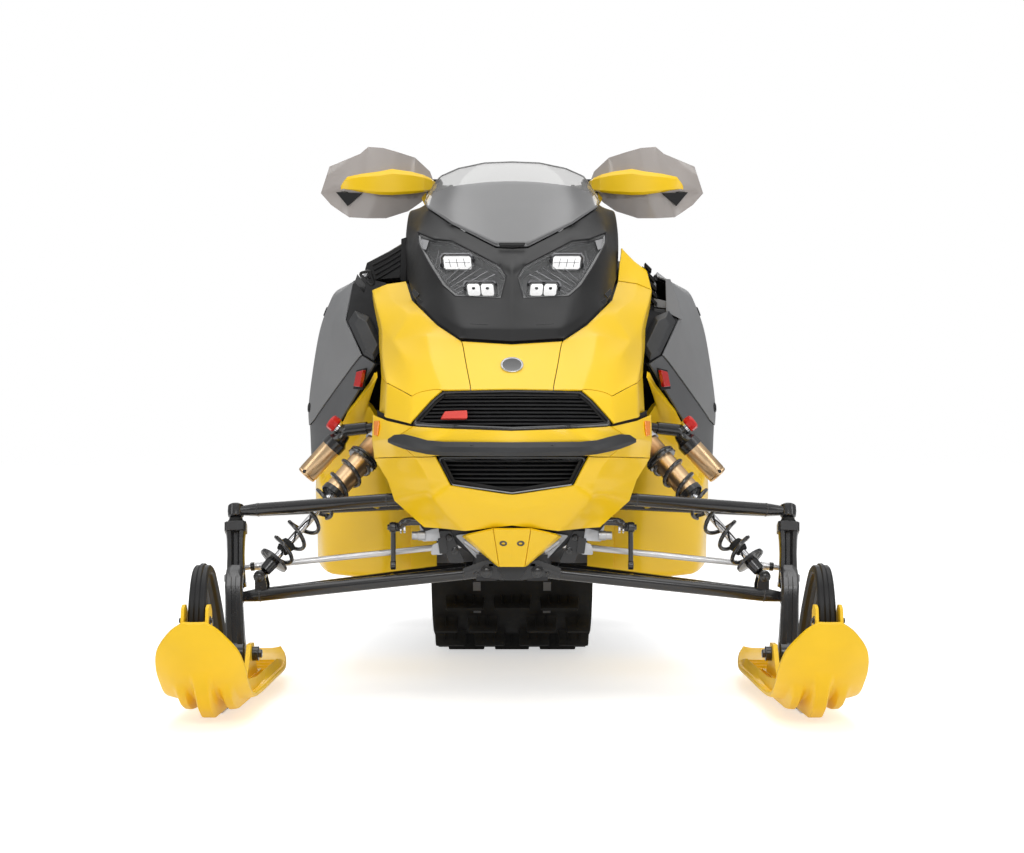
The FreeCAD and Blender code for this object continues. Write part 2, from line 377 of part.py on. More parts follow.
foot = rod((SKI_X - 20, SKI_BOLT[1], SKI_BOLT[2]), (SKI_X + 20, SKI_BOLT[1], SKI_BOLT[2]), 25)
kd = (vec(KING_TOP) - vec(KING_LOW)).normalize()
def tie_pt(d): return tuple(vec(TIE_PIN) + kd * d)
s_arm = loft([[(551, -930, 227), (551, -930, 245), (566, -912, 245), (566, -912, 227)], [(560, -888, 226), (560, -888, 240), (577, -888, 240), (577, -888, 226)],
              [(547, -852, 227), (547, -852, 238), (566, -852, 238), (566, -852, 227)]]).fuse(rod(tie_pt(-24), tie_pt(-10), 12))
spindle = fuse([post, leg, foot, s_arm]).cut(rod((SKI_X - 60, SKI_BOLT[1], SKI_BOLT[2]), (SKI_X + 60, SKI_BOLT[1], SKI_BOLT[2]), 8.5))
spindle = fuse([spindle, rod(tie_pt(-20), tie_pt(10), 5)])
parts["spindle_left"] = spindle
parts["spindle_right"] = mirror(spindle)
tie_a = TIE_PIN
tie = fuse([rod(tie_pt(-6), tie_pt(6), 11), rod(at_dist(tie_a, TIE_IN, 6), at_dist(TIE_IN, tie_a, 22), 6), rod(at_dist(tie_a, TIE_IN, 14), at_dist(tie_a, TIE_IN, 60), 9),
            rod(at_dist(TIE_IN, tie_a, 22), at_dist(TIE_IN, tie_a, 60), 9)]).cut(rod(tie_pt(-12), tie_pt(12), 5.05))
parts["tie_rod_left"] = tie
parts["tie_rod_right"] = mirror(tie)

ski_rows = [  # y, half width, z of the deck underside at the centre, edge lift
    (-1500, 20, 212, 2), (-1494, 40, 190, 4), (-1480, 58, 162, 6), (-1456, 72, 130, 9), (-1420, 78, 96, 12), (-1380, 78, 68, 12), (-1330, 78, 46, 10), (-1270, 77, 35, 8),
    (-1200, 75, 31, 7), (-1100, 74, 30, 6), (-760, 72, 30, 6), (-640, 62, 32, 6), (-560, 50, 40, 6), (-520, 38, 50, 5)]
DECK_T = 9.0
secs = []
for y, w, z, lift in ski_rows:
    secs.append([(SKI_X - w, y, z + lift), (SKI_X - w * 0.55, y, z), (SKI_X + w * 0.55, y, z), (SKI_X + w, y, z + lift),
                 (SKI_X + w, y, z + lift + DECK_T), (SKI_X + w * 0.55, y, z + DECK_T), (SKI_X - w * 0.55, y, z + DECK_T), (SKI_X - w, y, z + lift + DECK_T)])
deck = loft(secs)
keel_yz = [(-1424, 98), (-1392, 58), (-1356, 24), (-1322, 10), (-1300, 8), (-680, 8), (-600, 32), (-600, 41), (-1200, 38), (-1270, 42), (-1330, 52), (-1380, 74), (-1416, 102)]
ski = [deck, side_plate(keel_yz, SKI_X - 15, SKI_X + 15)]
for dx in (-40, 40):
    side_keel = [(-1400, 80), (-1366, 46), (-1330, 28), (-1290, 20), (-1250, 18), (-720, 18), (-660, 38), (-1200, 38), (-1270, 42), (-1330, 53), (-1380, 75)]
    ski.append(side_plate(side_keel, SKI_X + dx - 9, SKI_X + dx + 9))
saddle = [(-1080, 36), (-890, 36), (-930, 70), (-962, 112), (-1008, 112), (-1044, 70)]
for dx in (-35, 26):
    ski.append(side_plate(saddle, SKI_X + dx, SKI_X + dx + 9))
for dx in (-60, 52):
    ski.append(side_plate([(-1440, 140), (-1380, 106), (-1300, 72), (-1100, 58), (-760, 58), (-660, 46), (-660, 38), (-1100, 38), (-1270, 43), (-1330, 54), (-1380, 76), (-1430, 116)], SKI_X + dx, SKI_X + dx + 8))
ski.append(rod((SKI_X - 44, SKI_BOLT[1], SKI_BOLT[2]), (SKI_X + 44, SKI_BOLT[1], SKI_BOLT[2]), 8.0))
ski.append(rod((SKI_X - 44, SKI_BOLT[1], SKI_BOLT[2]), (SKI_X - 35, SKI_BOLT[1], SKI_BOLT[2]), 15))
ski.append(rod((SKI_X + 35, SKI_BOLT[1], SKI_BOLT[2]), (SKI_X + 44, SKI_BOLT[1], SKI_BOLT[2]), 15))
ski = fuse(ski)
parts["ski_left"] = ski
parts["ski_right"] = mirror(ski)
runner = side_plate([(-1192, 8), (-1180, 0), (-740, 0), (-726, 8)], SKI_X - 5, SKI_X + 5)
parts["ski_runner_left"] = runner
parts["ski_runner_right"] = mirror(runner)
loop_yz = [(-1462, 206), (-1440, 262), (-1395, 290), (-1330, 274), (-1240, 196), (-1150, 100), (-1110, 56), (-1110, 42), (-1140, 42), (-1168, 74),
           (-1258, 172), (-1340, 250), (-1390, 266), (-1424, 246), (-1442, 206), (-1448, 160), (-1462, 166)]
loop = side_plate(loop_yz, SKI_X - 17, SKI_X + 17)
parts["ski_loop_left"] = loop
parts["ski_loop_right"] = mirror(loop)

# ---------------------------------------------------------------- steering column and handlebar
def st(d): return at_dist(STEER_A, STEER_B, d)
ns = math.dist(STEER_A, STEER_B)
pit_arm = prism([tuple(vec(st(0)) + V(x, 0, 0) + arm_dir * r) for x, r in ((-18, -14), (18, -14), (26, 50), (28, 73), (-28, 73), (-26, 50))], tuple(cd * 9))
balls = [rod(tuple(vec((sx * PIT_X, pit.y, pit.z)) + cd * -11), tuple(vec((sx * PIT_X, pit.y, pit.z)) + cd * 2), 8) for sx in (1, -1)]
block = fuse([box(-42, 42, -322, -278, 1061, 1100), rod((-46, -300, 1080), (46, -300, 1080), 20)])
bar = bent_tube([(-398, -262, 1092), (-190, -292, 1096), (-72, -300, 1080), (72, -300, 1080), (190, -292, 1096), (398, -262, 1092)], BAR_R, 40)
riser = rod(st(ns - 60), st(ns - 8), 17)
block = block.cut(rod((-60, -300, 1080), (60, -300, 1080), BAR_R))
parts["handlebar"] = fuse([bar, riser, block]).cut(rod(st(ns - 80), st(ns - 21.5), COLUMN_R + 0.2))
parts["steering_column"] = fuse([rod(st(-8), st(ns - 22), COLUMN_R), rod(st(-8), st(14), 19), pit_arm] + balls)
def on_bar(x): return (x, -292 + (x - 190) * 30 / 208, 1096 - (x - 190) * 4 / 208) if x > 190 else (x, -300 + (x - 72) * 8 / 118, 1080 + (x - 72) * 16 / 118)
g0, g1 = on_bar(397), on_bar(272)
grip = rod(g0, g1, GRIP_R).fuse(rod(g1, at_dist(g1, g0, -8), GRIP_R + 5)).cut(rod(at_dist(g0, g1, -4), at_dist(g1, g0, -14), BAR_R + 0.05))
parts["grips"] = both(grip)
ctl = box(202, 252, -306, -262, 1082, 1118).cut(rod(on_bar(191), on_bar(262), BAR_R + 0.3))
lever = loft([[(228, -322, 1094), (228, -304, 1094), (228, -304, 1104), (228, -322, 1104)], [(300, -352, 1092), (300, -342, 1092), (300, -342, 1100), (300, -352, 1100)],
              [(384, -330, 1088), (384, -320, 1088), (384, -320, 1096), (384, -330, 1096)]])
parts["hand_controls"] = both(fuse([ctl, lever]))
GUARD = dict(a0=(172, -318, 1084), a1=(196, -340, 1058), a2=(253, -372, 1026), a3=(345, -386, 1025), a4=(430, -352, 1070), a5=(444, -300, 1088),
             b0=(170, -312, 1112), b1=(185, -338, 1127), b2=(230, -366, 1172), b3=(322, -378, 1188), b4=(418, -350, 1162), b5=(440, -300, 1148))
GUARD_F = ["a0 a1 b1 b0", "a1 a2 b2 b1", "a2 a3 b3 b2", "a3 a4 b4 b3", "a4 a5 b5 b4"]
gbar = []
for p, q in (((178, -305, 1098), (252, -366, 1090)), ((252, -366, 1090), (392, -366, 1091)), ((392, -366, 1091), (428, -300, 1092)), ((428, -300, 1092), (410, -262, 1092))):
    gbar.append(rod(p, q, 9))
    gbar.append(Part.makeSphere(9, vec(q)))
gbar = fuse(gbar + [box(164, 184, -316, -276, 1080, 1112).cut(rod(on_bar(150), on_bar(186), BAR_R + 0.5)), rod((400.5, -262, 1092), (420, -262, 1092), 15)]).cut(parts["handlebar"])
parts["handguards"] = both(fuse([gbar, skin(GUARD, GUARD_F, 4.0, mirrored=False)]))

# ---------------------------------------------------------------- drive, track and rear suspension
def tangent(c1, r1, c2, r2, side):
    dx, dy = c2[0] - c1[0], c2[1] - c1[1]
    d = math.hypot(dx, dy)
    base, off = math.atan2(dy, dx), math.acos((r1 - r2) / d)
    a = base + side * off
    n_ = (math.cos(a), math.sin(a))
    return (c1[0] + r1 * n_[0], c1[1] + r1 * n_[1]), (c2[0] + r2 * n_[0], c2[1] + r2 * n_[1]), a
FLOOR_Z = TRACK_BELT + TRACK_LUG
D = (DRIVE_Y, DRIVE_Z)
R_ = (RAIL_START_Y, FLOOR_Z + RAIL_BEND_R)
I_ = (IDLER_Y, FLOOR_Z + IDLER_R)
lo1, lo2, ang_low = tangent(D, DRIVE_R, R_, RAIL_BEND_R, -1)
up1, up2, ang_up = tangent(D, DRIVE_R, I_, IDLER_R, 1)
# path of the belt inside, anticlockwise seen from +X with y to the right: drive -> down -> floor -> idler -> top -> drive
path = []   # y, z, normal angle
def arc_pts(c, r, a0, a1, step):
    k = max(2, int(abs(a1 - a0) / step) + 1)
    for i in range(k + 1):
        a = a0 + (a1 - a0) * i / k
        path.append((c[0] + r * math.cos(a), c[1] + r * math.sin(a), a))
arc_pts(D, DRIVE_R, ang_up, ang_low + (2 * math.pi if ang_low < ang_up else 0), 0.05)
a_low = ang_low + (2 * math.pi if ang_low < ang_up else 0)
arc_pts(R_, RAIL_BEND_R, a_low, 1.5 * math.pi, 0.03)
arc_pts(I_, IDLER_R, 1.5 * math.pi, 2 * math.pi + ang_up, 0.05)
path.append(path[0][:2] + (path[0][2] + 2 * math.pi,))
cum = [0.0]
for a, b in zip(path, path[1:]):
    cum.append(cum[-1] + math.dist(a[:2], b[:2]))
total = cum[-1]
def at(s):
    s = s % total
    for i in range(len(cum) - 1):
        if s <= cum[i + 1]:
            t = (s - cum[i]) / max(1e-9, cum[i + 1] - cum[i])
            p, q = path[i], path[i + 1]
            return p[0] + (q[0] - p[0]) * t, p[1] + (q[1] - p[1]) * t, p[2] + (q[2] - p[2]) * t
def off(s, h):
    y, z, a = at(s)
    return (y + h * math.cos(a), z + h * math.sin(a))
lugs = int(round(total / LUG_PITCH))
lp = total / lugs
outer_pts, inner_pts = [], []
for i in range(lugs):
    s0 = i * lp
    for ds, hh in ((-9, TRACK_BELT), (-5, TRACK_BELT + TRACK_LUG), (5, TRACK_BELT + TRACK_LUG), (9, TRACK_BELT), (lp * 0.32, TRACK_BELT), (lp * 0.5, TRACK_BELT), (lp * 0.68, TRACK_BELT)):
        outer_pts.append(off(s0 + ds, hh))
for i in range(lugs * 4):
    inner_pts.append(off(i * lp / 4, 0))
f_out = Part.Face(Part.makePolygon([V(-TRACK_W / 2, y, max(z, 0.0)) for y, z in outer_pts] + [V(-TRACK_W / 2, outer_pts[0][0], max(outer_pts[0][1], 0.0))]))
f_in = Part.Face(Part.makePolygon([V(-TRACK_W / 2, y, z) for y, z in inner_pts] + [V(-TRACK_W / 2, inner_pts[0][0], inner_pts[0][1])]))
parts["track"] = f_out.extrude(V(TRACK_W, 0, 0)).cut(f_in.extrude(V(TRACK_W, 0, 0)))
print("track length", round(total), "lugs", lugs)

axle = rod((-(W + 8), DRIVE_Y, DRIVE_Z), (W + 8, DRIVE_Y, DRIVE_Z), 14)
spr = [rod((x - 9, DRIVE_Y, DRIVE_Z), (x + 9, DRIVE_Y, DRIVE_Z), DRIVE_R - 1.5) for x in (-126, -46, 46, 126)]
parts["drive_axle"] = fuse([axle] + spr)

rail_yz = []
for i in range(7):
    a = math.radians(270 - 36 + 6 * i)
    rail_yz.append((R_[0] + (RAIL_BEND_R - 1) * math.cos(a), R_[1] + (RAIL_BEND_R - 1) * math.sin(a)))
rail_yz += [(1130, FLOOR_Z + 1), (1150, FLOOR_Z + 20), (1210, 130), (1210, 166), (1150, 166), (1090, 112), (100, 112), (10, 128), (-70, 160)]
rail_w = []
for sx in (1, -1):
    x0, x1 = sorted((sx * 92, sx * 104))
    r_ = side_plate(rail_yz, x0, x1)
    for y in (180, 330, 520, 700, 900):
        r_ = r_.cut(side_plate([(y - 42, 72), (y + 42, 72), (y + 30, 100), (y - 30, 100)], x0 - 5, x1 + 5))
    rail_w.append(r_)
cross = [rod((-104, y, z), (104, y, z), 9) for y, z in ((230, 104), (860, 104))]
parts["slide_rails"] = fuse(rail_w + cross + [rod((-150, IDLER_Y, I_[1]), (150, IDLER_Y, I_[1]), 9)])
W2 = W - T
front_piv, rear_piv = (105, 276), (640, 254)
arms = []
for (py, pz), (qy, qz), hx in ((front_piv, (230, 104), 70), (rear_piv, (860, 104), 62)):
    arms.append(rod((-W2, py, pz), (W2, py, pz), 13))
    arms.append(rod((-hx - 18, qy, qz), (hx + 18, qy, qz), 15).cut(rod((-120, qy, qz), (120, qy, qz), 9.4)))
    for sx in (1, -1):
        d_ = math.dist((py, pz), (qy, qz))
        a_ = ((qy - py) / d_, (qz - pz) / d_)
        arms.append(rod((sx * hx, py, pz), (sx * hx, qy - a_[0] * 13, qz - a_[1] * 13), 10))
parts["skid_arms"] = Part.makeCompound([fuse(arms[:4]), fuse(arms[4:])])
def damper(p, q, r1, r2):
    return fuse([rod((p[0] - 14, p[1], p[2]), (p[0] + 14, p[1], p[2]), 14), rod((q[0] - 14, q[1], q[2]), (q[0] + 14, q[1], q[2]), 14),
                 rod(at_dist(p, q, 10), at_dist(q, p, math.dist(p, q) * 0.42), r1), rod(at_dist(p, q, math.dist(p, q) * 0.5), at_dist(q, p, 10), r2)])
parts["skid_shocks"] = Part.makeCompound([damper((0, 150, 262), (0, 400, 110), 24, 8), damper((0, 600, 226), (0, 800, 110), 24, 8)])
wheels = []
for x0 in (-150, -12, 126):
    wheels.append(rod((x0, IDLER_Y, I_[1]), (x0 + 24, IDLER_Y, I_[1]), IDLER_R - 1).cut(rod((x0 - 5, IDLER_Y, I_[1]), (x0 + 30, IDLER_Y, I_[1]), 9.3)))
for y in (430, 1020):
    for sx in (1, -1):
        x0, x1 = sorted((sx * 122, sx * 146))
        wheels.append(rod((x0, y, FLOOR_Z + 67), (x1, y, FLOOR_Z + 67), 66).fuse(rod((sx * 104.5, y, FLOOR_Z + 67), (sx * 150, y, FLOOR_Z + 67), 8)))
parts["idler_wheels"] = Part.makeCompound(wheels)

# ---------------------------------------------------------------- rider's area and rear
TANK = dict(a0=(0, -380, 792), a1=(70, -380, 784), a2=(130, -380, 740), a3=(170, -380, 560), b0=(0, -330, 868), b1=(70, -330, 856), b2=(150, -330, 790), b3=(186, -330, 560),
            c0=(0, -200, 868), c1=(70, -200, 858), c2=(150, -200, 790), c3=(186, -200, 520), d0=(0, -110, 820), d1=(60, -110, 812), d2=(120, -110, 740), d3=(160, -110, 490),
            e0=(0, -100, 520), e3=(100, -100, 500))
TANK_F = ["a0 a1 b1 b0", "a1 a2 b2 b1", "a2 a3 b3 b2", "b0 b1 c1 c0", "b1 b2 c2 c1", "b2 b3 c3 c2", "c0 c1 d1 d0", "c1 c2 d2 d1", "c2 c3 d3 d2"]
parts["fuel_tank"] = skin(TANK, TANK_F, 5.0)
KNEE = dict(a=(430, -152, 440), b=(430, -146, 566), c=(386, -136, 700), d=(310, -136, 780), e=(238, -136, 812), i=(194, -150, 780), j=(194, -160, 640), k=(200, -170, 462))
knees = both(skin(KNEE, ["a b j k", "b c j", "c i j", "c d i", "d e i"], 4.0, mirrored=False))
DASH = dict(a0=(40, -700, 955), a1=(110, -690, 950), a2=(168, -640, 975), b0=(40, -560, 968), b1=(110, -550, 968), b2=(178, -540, 1000), c0=(40, -430, 925), c1=(110, -420, 925), c2=(200, -420, 935),
            d0=(40, -345, 872), d1=(110, -345, 862), d2=(215, -330, 850))
DASH_F = ["a0 b0 b1 a1", "a1 b1 b2 a2", "b0 c0 c1 b1", "b1 c1 c2 b2", "c0 d0 d1 c1", "c1 d1 d2 c2"]
dash = both(skin(DASH, DASH_F, 4.0, mirrored=False, flip=False))
gauge = loft([[(-62, -668, 948), (62, -668, 948), (62, -568, 956), (-62, -568, 956)], [(-56, -655, 1002), (56, -655, 1002), (56, -588, 1014), (-56, -588, 1014)]])
parts["dash_console"] = Part.makeCompound(fuse([dash, gauge]).Solids + knees.Solids)

seat_rows = [  # y, half width low, half width top, z low, z top
    (-96, 92, 74, 560, 812), (20, 118, 92, 500, 792), (140, 140, 112, 468, 786), (330, 150, 126, 462, 786), (520, 150, 124, 468, 792), (632, 128, 104, 560, 782)]
secs = [[(-wl, y, zl), (wl, y, zl), (wl + 6, y, zt - 60), (wt, y, zt - 8), (wt - 30, y, zt), (-wt + 30, y, zt), (-wt, y, zt - 8), (-wl - 6, y, zt - 60)] for y, wl, wt, zl, zt in seat_rows]
parts["seat"] = loft(secs)
parts["tail_light"] = box(-78, 78, 640, 668, 640, 690)
grab = bent_tube([(-218, 1150, 425), (-218, 1400, 440), (-150, 1452, 452), (150, 1452, 452), (218, 1400, 440), (218, 1150, 425)], 11, 60)
feet = [box(*sorted((sx * W, sx * 226)), y - 14, y + 14, 414, 444) for sx in (1, -1) for y in (1170, 1330)]
parts["rear_bumper"] = fuse([grab] + feet)
flap = side_plate([(1372, 386), (1377, 388), (1500, 206), (1495, 203)], -196, 196)
parts["snow_flap"] = flap

# ---------------------------------------------------------------- put the origin at the middle of the footprint and export
lo, hi = [1e9] * 3, [-1e9] * 3
for s in parts.values():
    b = s.BoundBox
    lo = [min(a, c) for a, c in zip(lo, (b.XMin, b.YMin, b.ZMin))]
    hi = [max(a, c) for a, c in zip(hi, (b.XMax, b.YMax, b.ZMax))]
print("box", [round(v, 1) for v in lo], [round(v, 1) for v in hi])
for name in sorted(parts):
    s = parts[name]
    big = [k for k in s.Solids if k.Volume > 60]
    if len(big) < len(s.Solids):
        s = Part.makeCompound(big)
    if not s.isValid() or s.Volume <= 0:
        print("CHECK", name, s.isValid(), s.Volume)
    for k in s.Solids:
        if not k.isClosed():
            print("OPEN", name)
    s.exportStep("parts/%s.step" % name)
print(len(parts), "nodes")
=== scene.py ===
# Looks of the snowmobile. Metres, same frame as the CAD: -Y forward, +X the rider's left, +Z up. Tables
# below are in millimetres.
import bpy, bmesh, math, random
import numpy as np
from mathutils import Vector, Matrix, Quaternion


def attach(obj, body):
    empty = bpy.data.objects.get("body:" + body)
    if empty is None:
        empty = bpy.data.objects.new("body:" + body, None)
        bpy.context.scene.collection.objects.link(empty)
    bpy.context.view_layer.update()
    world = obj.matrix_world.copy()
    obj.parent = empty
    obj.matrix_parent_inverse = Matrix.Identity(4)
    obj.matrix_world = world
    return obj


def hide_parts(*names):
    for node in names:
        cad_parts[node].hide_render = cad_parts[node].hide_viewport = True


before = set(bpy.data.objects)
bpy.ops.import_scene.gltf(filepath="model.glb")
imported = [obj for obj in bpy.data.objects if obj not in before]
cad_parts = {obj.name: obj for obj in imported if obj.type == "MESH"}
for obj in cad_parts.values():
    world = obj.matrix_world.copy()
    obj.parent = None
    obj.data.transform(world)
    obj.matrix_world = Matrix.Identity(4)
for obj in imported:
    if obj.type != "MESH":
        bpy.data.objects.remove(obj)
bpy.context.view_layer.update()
random.seed(7)
MM = 0.001

# ------------------------------------------------------------------ scene, camera, light
scene = bpy.context.scene
scene.view_settings.view_transform = "Standard"
scene.view_settings.look = "None"
cam_data = bpy.data.cameras.new("camera")
cam_data.lens = 70.3125
cam_data.sensor_width = 36.0
cam_data.clip_start, cam_data.clip_end = 0.1, 100.0
camera = bpy.data.objects.new("camera", cam_data)
camera.location = (0.0, -4.9, 0.48)
camera.rotation_euler = (math.radians(90 + 0.816), 0, 0)
scene.collection.objects.link(camera)
scene.camera = camera

def area_light(name, loc, target, size, power, color=(1, 1, 1), size_y=None):
    l = bpy.data.lights.new(name, "AREA")
    l.energy, l.color, l.size = power, color, size
    if size_y:
        l.shape, l.size_y = "RECTANGLE", size_y
    o = bpy.data.objects.new(name, l)
    o.location = loc
    o.rotation_euler = (Vector(target) - Vector(loc)).to_track_quat("-Z", "Y").to_euler()
    scene.collection.objects.link(o)
    return o
area_light("overhead", (0, -0.8, 4.0), (0, -0.5, 0.3), 3.6, 72, size_y=4.6)
area_light("front_soft", (0.3, -6.0, 3.0), (0, -0.7, 0.50), 3.2, 64, size_y=1.2)
area_light("left_strip", (-3.4, -2.4, 1.5), (0, -0.8, 0.6), 0.9, 18, size_y=2.6)
area_light("right_strip", (3.4, -2.4, 1.5), (0, -0.8, 0.6), 0.9, 20, size_y=2.6)
area_light("back_soft", (0, 4.4, 2.6), (0, 0.2, 0.5), 3.0, 40, size_y=2.0)

# the background is plain white to the eye; the light it gives is softer, brighter above than at the horizon
world = bpy.data.worlds.new("studio")
world.use_nodes = True
wt = world.node_tree
bg = wt.nodes["Background"]
bg.inputs["Color"].default_value = (1, 1, 1, 1)
wtc = wt.nodes.new("ShaderNodeTexCoord")
wsep = wt.nodes.new("ShaderNodeSeparateXYZ")
wramp = wt.nodes.new("ShaderNodeValToRGB")
wmap = wt.nodes.new("ShaderNodeMapRange")
wmap.inputs["From Min"].default_value, wmap.inputs["From Max"].default_value = -1.0, 1.0
wramp.color_ramp.elements[0].position, wramp.color_ramp.elements[0].color = 0.0, (0.16, 0.16, 0.16, 1)
wramp.color_ramp.elements[1].position, wramp.color_ramp.elements[1].color = 1.0, (0.80, 0.80, 0.80, 1)
e_ = wramp.color_ramp.elements.new(0.5); e_.color = (0.27, 0.27, 0.27, 1)
e_ = wramp.color_ramp.elements.new(0.68); e_.color = (0.34, 0.34, 0.34, 1)
wlp = wt.nodes.new("ShaderNodeLightPath")
wmix = wt.nodes.new("ShaderNodeMix"); wmix.data_type = "RGBA"
wt.links.new(wtc.outputs["Generated"], wsep.inputs["Vector"])
wt.links.new(wsep.outputs["Z"], wmap.inputs["Value"])
wt.links.new(wmap.outputs["Result"], wramp.inputs["Fac"])
wt.links.new(wlp.outputs["Is Camera Ray"], wmix.inputs["Factor"])
wt.links.new(wramp.outputs["Color"], wmix.inputs["A"])
wmix.inputs["B"].default_value = (1, 1, 1, 1)
wt.links.new(wmix.outputs["Result"], bg.inputs["Color"])
bg.inputs["Strength"].default_value = 1.0
scene.world = world

# ------------------------------------------------------------------ materials
def mat(name, color, rough=0.5, metal=0.0, coat=0.0, coat_rough=0.08, spec=0.5, var=0.08, var_scale=18.0, rough_var=0.08,
        bump=0.05, bump_scale=900.0, bump_dist=0.0004, alpha=1.0, transmission=0.0, ior=1.5, emit=None, wear=0.0, wear_color=(0.5, 0.5, 0.5),
        sheen=0.0, aniso=0.0, voronoi=False):
    """Procedural surface: colour varies by noise, roughness by a second noise, and a fine grain drives the bump."""
    m = bpy.data.materials.new(name)
    m.use_nodes = True
    nt = m.node_tree
    b = nt.nodes["Principled BSDF"]
    tc = nt.nodes.new("ShaderNodeTexCoord")
    n1 = nt.nodes.new("ShaderNodeTexNoise"); n1.inputs["Scale"].default_value = var_scale; n1.inputs["Detail"].default_value = 4
    ramp = nt.nodes.new("ShaderNodeValToRGB")
    lo = tuple(max(0, c * (1 - var)) for c in color); hi = tuple(min(1, c * (1 + var)) for c in color)
    ramp.color_ramp.elements[0].position, ramp.color_ramp.elements[1].position = 0.3, 0.7
    ramp.color_ramp.elements[0].color, ramp.color_ramp.elements[1].color = (*lo, 1), (*hi, 1)
    nt.links.new(tc.outputs["Object"], n1.inputs["Vector"])
    nt.links.new(n1.outputs["Fac"], ramp.inputs["Fac"])
    col = ramp.outputs["Color"]
    if wear > 0:
        geo = nt.nodes.new("ShaderNodeNewGeometry")
        wr = nt.nodes.new("ShaderNodeValToRGB")
        wr.color_ramp.elements[0].position, wr.color_ramp.elements[1].position = 0.53, 0.62
        wr.color_ramp.elements[1].color = (wear, wear, wear, 1)
        mix = nt.nodes.new("ShaderNodeMix"); mix.data_type = "RGBA"
        mix.inputs["B"].default_value = (*wear_color, 1)
        nt.links.new(geo.outputs["Pointiness"], wr.inputs["Fac"])
        nt.links.new(wr.outputs["Color"], mix.inputs["Factor"])
        nt.links.new(col, mix.inputs["A"])
        col = mix.outputs["Result"]
    nt.links.new(col, b.inputs["Base Color"])
    n2 = nt.nodes.new("ShaderNodeTexNoise"); n2.inputs["Scale"].default_value = var_scale * 3.1; n2.inputs["Detail"].default_value = 6
    mr = nt.nodes.new("ShaderNodeMapRange")
    mr.inputs["To Min"].default_value = max(0.02, rough - rough_var); mr.inputs["To Max"].default_value = min(1, rough + rough_var)
    nt.links.new(tc.outputs["Object"], n2.inputs["Vector"]); nt.links.new(n2.outputs["Fac"], mr.inputs["Value"])
    nt.links.new(mr.outputs["Result"], b.inputs["Roughness"])
    if bump > 0:
        n3 = nt.nodes.new("ShaderNodeTexVoronoi" if voronoi else "ShaderNodeTexNoise"); n3.inputs["Scale"].default_value = bump_scale
        bp = nt.nodes.new("ShaderNodeBump"); bp.inputs["Strength"].default_value = bump; bp.inputs["Distance"].default_value = bump_dist
        nt.links.new(tc.outputs["Object"], n3.inputs["Vector"])
        nt.links.new(n3.outputs["Distance" if voronoi else "Fac"], bp.inputs["Height"])
        nt.links.new(bp.outputs["Normal"], b.inputs["Normal"])
    b.inputs["Metallic"].default_value = metal
    b.inputs["Coat Weight"].default_value = coat
    b.inputs["Coat Roughness"].default_value = coat_rough
    b.inputs["Specular IOR Level"].default_value = spec
    b.inputs["IOR"].default_value = ior
    b.inputs["Alpha"].default_value = alpha
    b.inputs["Transmission Weight"].default_value = transmission
    b.inputs["Sheen Weight"].default_value = sheen
    b.inputs["Anisotropic"].default_value = aniso
    if emit:
        b.inputs["Emission Color"].default_value = (*emit[:3], 1)
        b.inputs["Emission Strength"].default_value = emit[3]
    m.diffuse_color = (*color, alpha)
    return m

